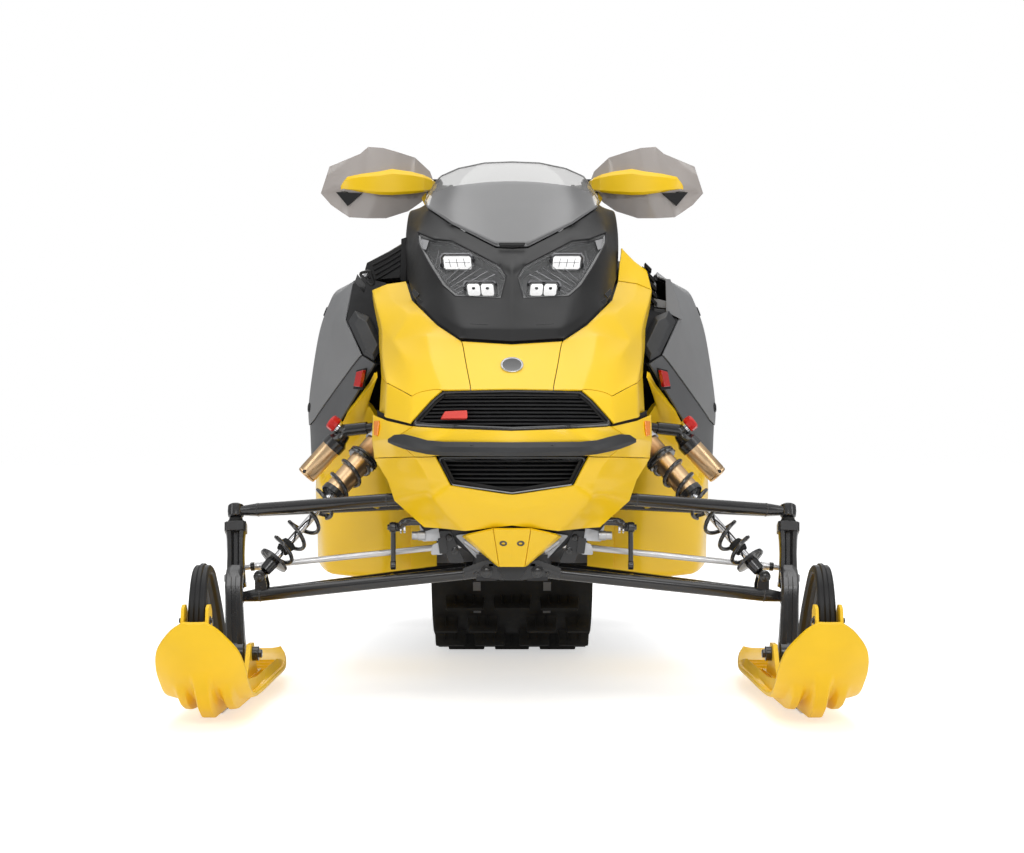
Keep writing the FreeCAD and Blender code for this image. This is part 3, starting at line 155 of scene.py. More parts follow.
M = {
    "yellow": mat("yellow_plastic", (0.94, 0.60, 0.006), 0.32, coat=0.28, coat_rough=0.12, spec=0.42, var=0.03, var_scale=6, rough_var=0.05, bump=0.03, bump_scale=240, bump_dist=0.0003),
    "yellow_ski": mat("ski_plastic", (0.90, 0.555, 0.006), 0.44, coat=0.08, coat_rough=0.25, spec=0.38, var=0.05, var_scale=9, rough_var=0.08, bump=0.08, bump_scale=420, bump_dist=0.0003),
    "black": mat("black_plastic", (0.013, 0.013, 0.014), 0.46, spec=0.3, var=0.2, bump=0.12, bump_scale=1400, bump_dist=0.0002, voronoi=True),
    "black_gloss": mat("black_gloss", (0.012, 0.012, 0.013), 0.16, coat=0.6, coat_rough=0.05, var=0.2, bump=0.02),
    "grey": mat("grey_plastic", (0.205, 0.207, 0.212), 0.46, spec=0.28, var=0.08, var_scale=5, bump=0.05, bump_scale=800, bump_dist=0.0002),
    "dark_grey": mat("dark_grey_plastic", (0.034, 0.035, 0.037), 0.40, spec=0.4, var=0.12, bump=0.08, bump_scale=900, bump_dist=0.0002),
    "steel_black": mat("powder_coated_steel", (0.014, 0.014, 0.015), 0.24, coat=0.5, coat_rough=0.12, var=0.15, bump=0.10, bump_scale=600, bump_dist=0.0002, wear=0.25, wear_color=(0.18, 0.18, 0.19)),
    "alu": mat("bare_aluminium", (0.60, 0.61, 0.63), 0.36, metal=1.0, var=0.035, var_scale=12, rough_var=0.05, bump=0.08, bump_scale=300, bump_dist=0.0003),
    "cast_alu": mat("cast_aluminium", (0.55, 0.56, 0.58), 0.48, metal=1.0, var=0.15, var_scale=40, rough_var=0.12, bump=0.35, bump_scale=260, bump_dist=0.0008),
    "alu_black": mat("anodised_black", (0.03, 0.03, 0.032), 0.36, metal=0.3, var=0.15, bump=0.06, bump_scale=500, wear=0.35, wear_color=(0.35, 0.35, 0.36)),
    "chrome": mat("polished_steel", (0.80, 0.80, 0.82), 0.10, metal=1.0, var=0.03, rough_var=0.04, bump=0.02, bump_scale=120),
    "steel": mat("brushed_steel", (0.66, 0.66, 0.68), 0.22, metal=1.0, var=0.06, rough_var=0.08, bump=0.05, bump_scale=500, aniso=0.4),
    "bronze": mat("bronze_anodised", (0.82, 0.57, 0.33), 0.32, metal=1.0, var=0.10, var_scale=30, rough_var=0.06, bump=0.03, bump_scale=500),
    "rubber": mat("track_rubber", (0.010, 0.0097, 0.0093), 0.66, spec=0.25, var=0.3, var_scale=30, bump=0.4, bump_scale=380, bump_dist=0.0008),
    "soft_rubber": mat("grip_rubber", (0.02, 0.02, 0.02), 0.7, spec=0.3, var=0.2, bump=0.5, bump_scale=700, bump_dist=0.0006, voronoi=True),
    "vinyl": mat("seat_vinyl", (0.022, 0.022, 0.024), 0.55, spec=0.35, var=0.2, var_scale=14, bump=0.45, bump_scale=900, bump_dist=0.0006, voronoi=True, sheen=0.15),
    "vinyl_grey": mat("seat_vinyl_grey", (0.09, 0.09, 0.095), 0.5, spec=0.35, var=0.15, var_scale=14, bump=0.45, bump_scale=900, bump_dist=0.0006, voronoi=True, sheen=0.15),
    "red": mat("red_plastic", (0.62, 0.015, 0.012), 0.28, coat=0.3, var=0.1, bump=0.05),
    "red_lens": mat("red_lens", (0.45, 0.008, 0.008), 0.12, coat=0.8, coat_rough=0.05, var=0.15, bump=0.5, bump_scale=260, bump_dist=0.0008, voronoi=True),
    "orange": mat("orange_lens", (1.0, 0.28, 0.01), 0.16, coat=0.7, coat_rough=0.05, var=0.1, bump=0.4, bump_scale=260, bump_dist=0.0006, voronoi=True),
    "led": mat("lamp_emitter", (0.55, 0.56, 0.58), 0.25, emit=(1.0, 0.995, 0.98, 0.80), var=0.10, var_scale=160, bump=0.6, bump_scale=150, bump_dist=0.002, voronoi=True),
    "satin": mat("satin_black_plastic", (0.012, 0.012, 0.0125), 0.42, spec=0.32, var=0.12, var_scale=8, rough_var=0.06, bump=0.06, bump_scale=1300, bump_dist=0.0002, voronoi=True),
    "chrome_dark": mat("dark_reflector", (0.20, 0.20, 0.21), 0.18, metal=1.0, var=0.1, rough_var=0.05, bump=0.03),
    "lens": mat("lamp_cover_clear", (0.80, 0.81, 0.82), 0.03, alpha=0.05, var=0.02, rough_var=0.01, bump=0.0, coat=0.35, coat_rough=0.01),
    "smoke": mat("smoked_screen", (0.062, 0.062, 0.064), 0.30, alpha=0.92, var=0.04, rough_var=0.03, bump=0.0, coat=1.0, coat_rough=0.22),
    # edge of the screen: its grey is a painted highlight of light caught in the rim
    "edge_clear": mat("screen_edge", (0.16, 0.16, 0.165), 0.40, alpha=0.95, var=0.02, rough_var=0.02, bump=0.0, spec=0.3),
    "guard": mat("guard_translucent", (0.42, 0.38, 0.355), 0.20, alpha=0.80, var=0.03, rough_var=0.04, bump=0.02, coat=0.5, coat_rough=0.05),
    "mesh_black": mat("grille_mesh", (0.008, 0.008, 0.009), 0.6, spec=0.25, var=0.3, var_scale=60, bump=0.9, bump_scale=260, bump_dist=0.002, voronoi=True),
    "red_soft": mat("red_trim", (0.72, 0.055, 0.04), 0.38, coat=0.2, var=0.06, bump=0.05),
    "grey_low": mat("grey_plastic_dark", (0.088, 0.090, 0.094), 0.42, spec=0.45, var=0.08, var_scale=5, bump=0.08, bump_scale=800, bump_dist=0.0002),
    "alu_bright": mat("tie_rod_aluminium", (0.78, 0.78, 0.79), 0.36, metal=0.85, var=0.04, var_scale=25, rough_var=0.06, bump=0.04, bump_scale=300, bump_dist=0.0002),
    "thread": mat("stitching", (0.55, 0.40, 0.02), 0.7, var=0.2, bump=0.5, bump_scale=900),
    "screen": mat("gauge_screen", (0.01, 0.012, 0.015), 0.08, coat=1.0, coat_rough=0.02, var=0.3, bump=0.0),
    "clear": mat("clear_screen", (0.34, 0.335, 0.325), 0.06, alpha=0.33, var=0.02, rough_var=0.02, bump=0.0, coat=0.5, coat_rough=0.03),
    "engine": mat("engine_block", (0.30, 0.30, 0.31), 0.5, metal=0.8, var=0.2, bump=0.4, bump_scale=200, bump_dist=0.001),
    "marker_grey": mat("marker_lens", (0.30, 0.30, 0.31), 0.2, coat=0.7, coat_rough=0.05, var=0.1, bump=0.4, bump_scale=300, bump_dist=0.0006, voronoi=True),
    "badge": mat("plain_badge", (0.62, 0.63, 0.65), 0.25, metal=0.9, var=0.05, bump=0.04),
}

def put(o, m):
    o.data.materials.clear()
    o.data.materials.append(m)

# ------------------------------------------------------------------ mesh helpers (tables in millimetres)
def link(o, body="chassis", replaces=()):
    scene.collection.objects.link(o)
    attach(o, body)
    if replaces:
        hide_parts(*replaces)
    return o

def mirror_table(table):
    return {k: (-p[0], p[1], p[2]) for k, p in table.items()}

def subdivided(table, faces, groups=None, crease=0.55, creases=None, corner=0.75, mirrored=True, level=4, fit=4):
    """Subdivision surface through the named points. Returns (points in mm, faces, group of each face)."""
    pts, idx, polys, mats = [], {}, [], []
    names_of = {}
    def vid(p, n):
        key = (round(p[0], 2), round(p[1], 2), round(p[2], 2))
        if key not in idx:
            idx[key] = len(pts)
            pts.append(key)
        names_of.setdefault(idx[key], n)
        return idx[key]
    for fi, f in enumerate(faces):
        g = groups[fi] if groups else 0
        names = f.split()
        polys.append([vid(table[n], n) for n in names]); mats.append(g)
        if mirrored:
            polys.append([vid((-table[n][0], table[n][1], table[n][2]), n) for n in reversed(names)]); mats.append(g)
    me = bpy.data.meshes.new("cage")
    me.from_pydata([Vector(p) * MM for p in pts], [], polys)
    bm = bmesh.new(); bm.from_mesh(me)
    bm.faces.ensure_lookup_table()
    for f, g in zip(bm.faces, mats):
        f.material_index = g
    bmesh.ops.recalc_face_normals(bm, faces=bm.faces)
    bm.to_mesh(me); bm.free()
    for g in range(max(mats) + 1):
        me.materials.append(M["black"])
    count = {}
    for p in me.polygons:
        for k in p.edge_keys:
            count[k] = count.get(k, 0) + 1
    ce = me.attributes.new("crease_edge", "FLOAT", "EDGE")
    cv = me.attributes.new("crease_vert", "FLOAT", "POINT")
    rim = set()
    for e in me.edges:
        k = tuple(sorted(e.vertices))
        if count.get(k, 0) == 1:
            rim.update(k)
            ce.data[e.index].value = 0.0
        else:
            v = crease
            if creases:
                a, b = names_of[e.vertices[0]], names_of[e.vertices[1]]
                v = creases.get(a + "-" + b, creases.get(b + "-" + a, crease))
            ce.data[e.index].value = v
    for i in rim:
        cv.data[i].value = corner
    if creases:
        for i, n in names_of.items():
            if n in creases:
                cv.data[i].value = creases[n]
    o = bpy.data.objects.new("cage", me)
    scene.collection.objects.link(o)
    md = o.modifiers.new("s", "SUBSURF")
    md.levels = md.render_levels = level
    md.boundary_smooth = "PRESERVE_CORNERS"
    md.use_limit_surface = False
    target = np.array([Vector(p) * MM for p in pts])
    n = len(pts)
    cage = np.array([v.co[:] for v in me.vertices])
    for it in range(fit):
        bpy.context.view_layer.update()
        ev = o.evaluated_get(bpy.context.evaluated_depsgraph_get())
        em = ev.to_mesh()
        co = np.empty(len(em.vertices) * 3); em.vertices.foreach_get("co", co); co = co.reshape(-1, 3)[:n]
        cage += (target - co) * 0.9
        ev.to_mesh_clear()
        me.vertices.foreach_set("co", cage.ravel()); me.update()
    bpy.context.view_layer.update()
    ev = o.evaluated_get(bpy.context.evaluated_depsgraph_get())
    em = ev.to_mesh()
    V = np.array([v.co[:] for v in em.vertices]) / MM
    F = [list(p.vertices) for p in em.polygons]
    G = [p.material_index for p in em.polygons]
    ev.to_mesh_clear()
    bpy.data.objects.remove(o)
    bpy.data.meshes.remove(me)
    return V, F, G

def pick(V, F, G, wanted):
    """The part of a surface whose faces are in the wanted groups."""
    used, out = {}, []
    for f, g in zip(F, G):
        if g in wanted:
            out.append([used.setdefault(i, len(used)) for i in f])
    W = np.zeros((len(used), 3))
    for i, k in used.items():
        W[k] = V[i]
    return W, out

def face_normals(V, F):
    N = np.zeros((len(F), 3))
    for i, f in enumerate(F):
        a = V[f[0]]
        n = np.zeros(3)
        for k in range(1, len(f) - 1):
            n += np.cross(V[f[k]] - a, V[f[k + 1]] - a)
        N[i] = n
    return N

def orient(V, F, inside):
    N = face_normals(V, F)
    c = np.array([V[f].mean(axis=0) for f in F])
    if (N * (c - np.array(inside))).sum() < 0:
        F = [f[::-1] for f in F]
    return F

def vertex_frames(V, F):
    """Unit normals, and for each rim vertex the direction into the surface with its mitre length."""
    N = face_normals(V, F)
    vn = np.zeros_like(V)
    edge = {}
    for i, f in enumerate(F):
        for k in range(len(f)):
            a, b = f[k], f[(k + 1) % len(f)]
            vn[a] += N[i]
            edge[(a, b)] = i
    L = np.linalg.norm(vn, axis=1); L[L == 0] = 1
    vn /= L[:, None]
    rim = [(a, b) for (a, b) in edge if (b, a) not in edge]
    inward, cnt = np.zeros_like(V), np.zeros(len(V))
    for a, b in rim:
        n = N[edge[(a, b)]]; n = n / max(1e-12, np.linalg.norm(n))
        t = V[b] - V[a]; t = t / max(1e-12, np.linalg.norm(t))
        d = np.cross(n, t)
        for v in (a, b):
            inward[v] += d; cnt[v] += 1
    for v in np.nonzero(cnt)[0]:
        d = inward[v] / cnt[v]
        l = np.linalg.norm(d)
        inward[v] = d / max(0.35, l) ** 2 if l > 1e-6 else 0
    return vn, rim, inward

def to_object(name, V, F, material, smooth=True, slots=None, face_slots=None):
    me = bpy.data.meshes.new(name)
    me.from_pydata([tuple(v * MM) for v in np.asarray(V)], [], F)
    me.validate()
    for m in (slots or [material]):
        me.materials.append(m)
    if face_slots is not None and len(face_slots) == len(me.polygons):
        me.polygons.foreach_set("material_index", face_slots)
    me.polygons.foreach_set("use_smooth", [smooth] * len(me.polygons))
    me.update()
    return bpy.data.objects.new(name, me)

def soften(o, width=0.8, segments=2, angle=38, harden=True):
    bv = o.modifiers.new("edge", "BEVEL")
    bv.width, bv.segments, bv.limit_method, bv.angle_limit = width * MM, segments, "ANGLE", math.radians(angle)
    bv.harden_normals = harden
    bv.use_clamp_overlap = True
    return o

def shell(name, V, F, material, body="chassis", t=3.5, gap=0.8, rim=0.9, inside=(0, -600, 600), flange=0.0, replaces=(), raise_by=0.0):
    """Panel of thickness t behind the surface, its rim pulled in by gap, with an optional return flange."""
    F = orient(V, F, inside)
    vn, edges, inward = vertex_frames(V, F)
    V = V + inward * gap + vn * raise_by
    n = len(V)
    inner = V - vn * t
    W = [V, inner]
    out = [list(f) for f in F] + [[i + n for i in reversed(f)] for f in F]
    if flange > 0:
        lip = V - vn * flange
        lip2 = V - vn * flange + inward * t
        W += [lip, lip2]
        inner_r = V - vn * t + inward * t
        W += [inner_r]
        used = {}
        for a, b in edges:
            out.append([b, a, a + 2 * n, b + 2 * n])
            out.append([b + 2 * n, a + 2 * n, a + 3 * n, b + 3 * n])
            out.append([b + 3 * n, a + 3 * n, a + n, b + n])
    else:
        for a, b in edges:
            out.append([b, a, a + n, b + n])
    W = np.vstack(W)
    used = sorted({i for f in out for i in f})
    remap = {i: k for k, i in enumerate(used)}
    o = to_object(name, W[used], [[remap[i] for i in f] for f in out], material)
    if rim > 0:
        soften(o, rim, 2, 50)
    return link(o, body, replaces)

def liner(name, parts_, material, depth=7.0, grow=7.0, inside=(0, -600, 600), body="chassis", hold=None):
    """Black sheet a few millimetres behind a panel, seen only through the gaps between panels: painted shade that keeps
    the gaps dark.
    """
    allV, allF, n = [], [], 0
    for k, (V, F) in enumerate(parts_):
        F = orient(V, F, inside)
        vn, edges, inward = vertex_frames(V, F)
        if hold and hold[k]:
            inward[list(hold[k])] = 0
        W = V - vn * depth - inward * grow
        allV.append(W); allF += [[i + n for i in f] for f in F]; n += len(W)
    return link(to_object(name, np.vstack(allV), allF, material), body)

class Build:
    """Several small solids joined in one mesh. Sizes in mm; m is the material slot of what is added."""
    def __init__(self):
        self.v, self.f, self.m = [], [], []
    def add(self, verts, faces, m=0):
        n = len(self.v)
        self.v += [tuple(float(c) for c in p) for p in verts]
        self.f += [[i + n for i in f] for f in faces]
        self.m += [m] * len(faces)
        return self
    def box(self, x0, x1, y0, y1, z0, z1, m=0, rot=None, at=None):
        P = [(x, y, z) for x in (x0, x1) for y in (y0, y1) for z in (z0, z1)]
        if rot is not None:
            P = [tuple(rot @ Vector(p) + Vector(at or (0, 0, 0))) for p in P]
        return self.add(P, [(0, 1, 3, 2), (4, 6, 7, 5), (0, 4, 5, 1), (2, 3, 7, 6), (0, 2, 6, 4), (1, 5, 7, 3)], m)
    def prism(self, pts, d, m=0):
        """Extrudes a planar outline by vector d."""
        n = len(pts)
        P = [tuple(p) for p in pts] + [tuple(Vector(p) + Vector(d)) for p in pts]
        a = Vector((0, 0, 0))
        for i in range(n):
            a += Vector(pts[i]).cross(Vector(pts[(i + 1) % n]))
        flip = a.dot(Vector(d)) > 0
        F = [list(range(n))[::-1], list(range(n, 2 * n))] + [(i, (i + 1) % n, (i + 1) % n + n, i + n) for i in range(n)]
        if not flip:
            F = [list(reversed(f)) for f in F]
        return self.add(P, F, m)
    def loft(self, sections, m=0, caps=True, closed_path=False):
        """Sections are loops with the same number of points, joined in order."""
        n, k = len(sections[0]), len(sections)
        P = [p for s in sections for p in s]
        F = []
        for i in range(k if closed_path else k - 1):
            j = (i + 1) % k
            for q in range(n):
                r = (q + 1) % n
                F.append((i * n + q, i * n + r, j * n + r, j * n + q))
        if caps and not closed_path:
            F.append(list(range(n))[::-1])
            F.append(list(range((k - 1) * n, k * n)))
        # make the loft face outwards
        c0, c1 = np.mean(np.array(sections[0]), axis=0), np.mean(np.array(sections[1]), axis=0)
        a = np.zeros(3)
        s0 = np.array(sections[0]) - c0
        for q in range(n):
            a += np.cross(s0[q], s0[(q + 1) % n])
        if a.dot(c1 - c0) < 0:
            F = [list(reversed(f)) for f in F]
        return self.add(P, F, m)
    def tube(self, pts, r, m=0, segs=14, closed=False, caps=True, flat=1.0):
        """Tube through the points; r is a number or one for each point."""
        P = [Vector(p) for p in pts]
        n = len(P)
        R = [r] * n if isinstance(r, (int, float)) else list(r)
        T = []
        for i in range(n):
            a = P[(i - 1) % n] if (closed or i > 0) else P[i]
            b = P[(i + 1) % n] if (closed or i < n - 1) else P[i]
            T.append((b - a).normalized())
        u = T[0].orthogonal().normalized()
        secs = []
        for i in range(n):
            if i > 0:
                q = T[i - 1].rotation_difference(T[i])
                u = q @ u
            u = (u - T[i] * u.dot(T[i])).normalized()
            w = T[i].cross(u)
            k = 1.0
            if 0 < i < n - 1 or closed:
                d1 = (P[i] - P[i - 1]).normalized(); d2 = (P[(i + 1) % n] - P[i]).normalized()
                k = 1.0 / max(0.6, math.cos(d1.angle(d2, 0) / 2))
            secs.append([tuple(P[i] + (u * math.cos(t) * R[i] * k + w * math.sin(t) * R[i] * flat)) for t in [2 * math.pi * q / segs for q in range(segs)]])
        return self.loft(secs, m, caps=caps, closed_path=closed)
    def lathe(self, p, d, prof, m=0, segs=24, ms=None):
        """Turned piece: prof is (distance along d, radius) from one end to the other."""
        p, d = Vector(p), Vector(d).normalized()
        u = d.orthogonal().normalized(); w = d.cross(u)
        secs = [[tuple(p + d * a + (u * math.cos(t) + w * math.sin(t)) * max(r, 0.01)) for t in [2 * math.pi * q / segs for q in range(segs)]] for a, r in prof]
        if ms is None:
            return self.loft(secs, m)
        k = len(self.m)
        self.loft(secs, 0)
        mm = []
        for i in range(len(secs) - 1):
            mm += [ms[i]] * segs
        mm += [ms[0], ms[-1]]
        self.m[k:] = mm
        return self
    def bolt(self, p, d, r=6.0, h=5.0, m=0, washer=1.6):
        """Flanged hexagon head, standing on p along d."""
        p, d = Vector(p), Vector(d).normalized()
        u = d.orthogonal().normalized(); w = d.cross(u)
        def ring(rad, a, n, ph=0): return [tuple(p + d * a + (u * math.cos(2 * math.pi * q / n + ph) + w * math.sin(2 * math.pi * q / n + ph)) * rad) for q in range(n)]
        self.loft([ring(r * washer, -1, 18), ring(r * washer, 1.2, 18), ring(r * 1.1, 2.0, 18)], m)
        self.loft([ring(r, 1.0, 6), ring(r, h, 6), ring(r * 0.8, h + 0.8, 6)], m)
        return self
    def rivet(self, p, d, r=5.0, h=2.2, m=0):
        return self.lathe(p, d, [(-0.5, r), (h * 0.3, r), (h * 0.8, r * 0.75), (h, r * 0.35)], m, segs=10)
    def sphere(self, p, r, m=0, segs=16, rings=8, squash=(1, 1, 1)):
        P = Vector(p)
        secs = []
        for i in range(1, rings):
            a = math.pi * i / rings
            secs.append([(P.x + r * squash[0] * math.sin(a) * math.cos(2 * math.pi * q / segs), P.y + r * squash[1] * math.sin(a) * math.sin(2 * math.pi * q / segs),
                          P.z - r * squash[2] * math.cos(a)) for q in range(segs)])
        return self.loft(secs, m)
    def mirrored(self):
        n = len(self.v)
        self.v += [(-x, y, z) for x, y, z in self.v[:n]]
        self.f += [[i + n for i in reversed(f)] for f in list(self.f)]
        self.m += list(self.m)
        return self
    def make(self, name, materials, body="chassis", replaces=(), bevel=0.6, angle=35, segments=2, sharp=35, smooth=True, sub=0):
        o = to_object(name, np.array(self.v), self.f, None, smooth, slots=[M[k] for k in (materials if isinstance(materials, (list, tuple)) else [materials])], face_slots=self.m)
        if smooth and sharp:
            o.data.set_sharp_from_angle(angle=math.radians(sharp))
        if bevel:
            soften(o, bevel, segments, angle)
        if sub:
            md = o.modifiers.new("s", "SUBSURF"); md.levels = md.render_levels = sub
        return link(o, body, replaces)

def lerp(a, b, t):
    return tuple(a[k] + (b[k] - a[k]) * t for k in range(len(a)))
def dist_on(p, q, d):
    """The point d mm from p towards q."""
    return lerp(p, q, d / math.dist(p, q))
def rounded(points, r, n=4, closed=False):
    """A polyline with its corners rounded by arcs of radius r."""
    if len(points[0]) == 2:
        return [(q[0], q[1]) for q in rounded([(a, c, 0.0) for a, c in points], r, n, closed)]
    P = [Vector(p) for p in points]
    out = []
    k = len(P)
    for i in range(k):
        if not closed and i in (0, k - 1):
            out.append(tuple(P[i])); continue
        a, b = (P[i - 1] - P[i]), (P[(i + 1) % k] - P[i])
        la, lb = a.length, b.length
        a.normalize(); b.normalize()
        half = a.angle(b) / 2
        c = min(r / math.tan(half), 0.45 * la, 0.45 * lb)
        rr = c * math.tan(half)
        p, q = P[i] + a * c, P[i] + b * c
        centre = P[i] + (a + b).normalized() * (rr / math.sin(half))
        va, vb = p - centre, q - centre
        ang = va.angle(vb)
        ax = va.cross(vb)
        if ax.length < 1e-9:
            out.append(tuple(P[i])); continue
        for j in range(n + 1):
            out.append(tuple(centre + Quaternion(ax.normalized(), ang * j / n) @ va))
    return out

# ------------------------------------------------------------------ hood, nose and headlight surround
HOOD = dict(
    a0=(0, -1085, 606), a1=(80, -1075, 605), a2=(134, -1058, 605), a3=(155, -1062, 587), a4=(196, -1073, 540),
    a5=(248, -985, 553), a6=(266, -880, 566), a7=(272, -800, 566),
    b3=(193, -1035, 594), b4=(248, -955, 622), b5=(268, -800, 640),
    c0=(0, -1035, 654), c1=(89, -1022, 655), c2=(156, -995, 662), c3=(213, -950, 668), c4=(260, -870, 667), c5=(270, -790, 667),
    d0=(0, -990, 697), d1=(100, -975, 704), d2=(171, -930, 716), d3=(238, -870, 712), d4=(265, -820, 704), d5=(276, -750, 704),
    e2=(149, -915, 739), e3=(211, -850, 764), e4=(266, -800, 742), e5=(278, -730, 742), h0=(182, -862, 773),
    f3=(206, -780, 799), f4=(248, -760, 801), f5=(283, -740, 792), f6=(291, -680, 790),
    g3=(223, -690, 846), g4=(264, -680, 841), g5=(296, -670, 829), g6=(299, -610, 815))
HOOD_F = ["a0 a1 c1 c0", "a1 a2 c2 c1", "a2 b3 c3 c2", "a2 a3 b3", "a3 a4 b3", "a4 a5 b4 b3", "b3 b4 c4 c3", "a5 a6 b4", "a6 a7 b5 b4", "b4 b5 c5 c4",
          "c0 c1 d1 d0", "c1 c2 d2 d1", "c2 c3 d3 d2", "c3 c4 d4 d3", "c4 c5 d5 d4", "d1 d2 e2", "d2 d3 e3 e2", "d3 d4 e4", "d3 e4 e3", "d4 d5 e5 e4",
          "e2 e3 h0", "h0 e3 f3", "e3 f4 f3", "e3 e4 f5 f4", "e4 e5 f6 f5", "f3 f4 g4 g3", "f4 f5 g5 g4", "f5 f6 g6 g5"]
# groups: 0 centre panel, 1 main hood, 2 lower corners beside the grille
HOOD_G = [0, 1, 1, 2, 2, 2, 1, 2, 2, 1, 0, 1, 1, 1, 1, 1, 1, 1, 1, 1, 1, 1, 1, 1, 1, 1, 1, 1]
SOFT = {"a1-c1": 0.35, "c0-c1": 0.1, "c1-c2": 0.1, "c2-c3": 0.15, "c3-c4": 0.2, "c4-c5": 0.1, "c1-d1": 0.35, "a2-b3": 0.3, "d4-d5": 0.1, "d3-d4": 0.1, "d3-e4": 0.0,
        "c2-a2": 0.5, "c3-b3": 0.25, "e4-e5": 0.1, "e3-e4": 0.1, "f4-f5": 0.1, "f5-f6": 0.1, "f3-f4": 0.1, "d2-e2": 0.2, "e2-e3": 0.2, "h0-e3": 0.2, "e3-f3": 0.3, "b4-a6": 0.2, "a3-b3": 0.4}
hV, hF, hG = subdivided(HOOD, HOOD_F, HOOD_G, crease=0.5, creases=SOFT, corner=0.8)
for g, name in ((0, "hood_center"), (1, "hood_main"), (2, "hood_corners")):
    V, F = pick(hV, hF, hG, {g})
    shell(name, V, F, M["yellow"], t=3.5, gap=0.7, replaces=("hood",) if g == 1 else ())

COWL = dict(
    n0=(0, -1140, 526), n1=(113, -1125, 530), n2=(190, -1077, 535), n3=(246, -990, 548), n4=(276, -940, 560), n5=(276, -850, 560),
    o0=(0, -1152, 504), o1=(146, -1122, 507), o2=(227, -1050, 511), o3=(276, -950, 510), o5=(276, -850, 510),
    p0=(0, -1147, 478), p1=(146, -1112, 478), p2=(186, -1082, 476), p3=(273, -956, 474), p5=(268, -850, 474),
    q0=(0, -1132, 405), q1=(117, -1117, 421), q2=(162, -1080, 432), q3=(245, -978, 431),
    r0=(0, -1122, 376), r1=(133, -1090, 394), r2=(163, -1066, 400), r3=(231, -978, 390),
    s0=(0, -1090, 345), s1=(89, -1054, 333), s2=(136, -1000, 336), s3=(172, -990, 338))
COWL_F = ["n0 o0 o1 n1", "n1 o1 o2 n2", "n2 o2 n3", "n3 o2 o3", "n3 o3 n4", "n4 o3 o5 n5", "o0 p0 p1 o1", "o1 p1 p2 o2", "o2 p2 p3 o3", "o3 p3 p5 o5",
          "p1 q1 q2 p2", "p2 q2 q3 p3", "q0 r0 r1 q1", "q1 r1 r2 q2", "q2 r2 r3 q3", "r0 s0 s1 r1", "r1 s1 s2 r2", "r2 s2 s3 r3"]
# groups: 0 brow over the bar, 1 corner blocks, 2 lower nose
COWL_G = [0, 0, 1, 1, 1, 1, 0, 0, 1, 1, 2, 2, 2, 2, 2, 2, 2, 2]
CSOFT = {"r1-s1": 0.2, "r2-s2": 0.2, "q1-r1": 0.2, "r0-r1": 0.2, "r1-r2": 0.2, "r2-r3": 0.25, "q2-q3": 0.2, "q1-q2": 0.2, "p1-p2": 0.4, "q2-r2": 0.5, "p2-q2": 0.6, "o2-n3": 0.3, "q0-q1": 0.3}
cV, cF, cG = subdivided(COWL, COWL_F, COWL_G, crease=0.5, creases=CSOFT, corner=0.8)
for g, name in ((0, "nose_brow"), (1, "nose_corner_blocks"), (2, "nose_lower")):
    V, F = pick(cV, cF, cG, {g})
    shell(name, V, F, M["yellow"], t=3.5, gap=0.7, inside=(0, -700, 450), replaces=("nose_cowl",) if g == 0 else ())
PLATE = dict(t0=(0, -1092, 338), t1=(36, -1088, 338), t2=(89, -1054, 325), t3=(97, -1024, 322), u0=(0, -1014, 262), u1=(25, -1012, 262), u2=(30, -1000, 264))
PLATE_F = ["t0 u0 u1 t1", "t1 u1 t2", "t2 u1 u2 t3"]
V, F, G = subdivided(PLATE, PLATE_F, [0, 1, 1], crease=0.6, corner=0.9, level=3)
for g, name in ((0, "under_plate_center"), (1, "under_plate_wings")):
    A, B_ = pick(V, F, G, {g})
    shell(name, A, B_, M["yellow"], t=5, gap=0.6, inside=(0, -700, 450))
b = Build()
for x in (-16.5, 16.5):
    b.lathe((x, -1061.5, 311.2), (0, -0.72, -0.69), [(-3, 7.5), (1.2, 7.5), (2.2, 6.6), (2.2, 3.8), (0.4, 3.6)], segs=20)
b.make("under_plate_bolts", "alu_black", bevel=0)

SURROUND = dict(
    k0=(0, -992, 702), k1=(102, -977, 709), k2=(150, -918, 745), k3=(182, -865, 779), k4=(203, -785, 803), k5=(219, -697, 850), k6=(228, -612, 940), k7=(222, -560, 1008),
    kx=(34, -987, 704.3), lx=(34, -976, 729.6),
    l0=(0, -981, 728), l1=(97, -966, 733), l2=(140, -916, 762),
    m0=(0, -930, 792), m1=(0, -868, 862),
    w0=(0, -803, 903), w1=(33, -801, 905), w2=(125, -742, 958), w3=(179, -642, 1004), w4=(187, -585, 1022), w5=(207, -505, 1018),
    ha=(22, -922, 792), hb=(114, -900, 798), hc=(141, -868, 823), hd=(170, -812, 871), hf=(196, -742, 921), hg=(199, -700, 950),
    hh=(161, -765, 929), hj=(123, -792, 922), hk=(24, -850, 865), hl=(10, -886, 840), ml=(0, -892, 836),
    x6=(232, -480, 940), x7=(226, -470, 1000), x5=(228, -560, 860), x4=(228, -600, 820))
SURROUND_F = ["k0 kx lx l0", "kx k1 l1 lx", "k1 k2 l2 l1", "l0 lx ha m0", "lx l1 hb ha", "l1 l2 hc hb", "l2 k2 k3 hc", "hc k3 k4 hd", "hd k4 k5 hf", "hf k5 k6 hg",
              "m0 ha hl ml", "ml hl hk m1", "m1 hk w1 w0", "hk hj w2 w1", "hj hh hg w3 w2", "hg k6 k7 w4 w3", "k7 w5 w4", "k5 x4 x5 k6", "k6 x5 x6", "k6 x6 x7 k7", "k7 x7 w5"]
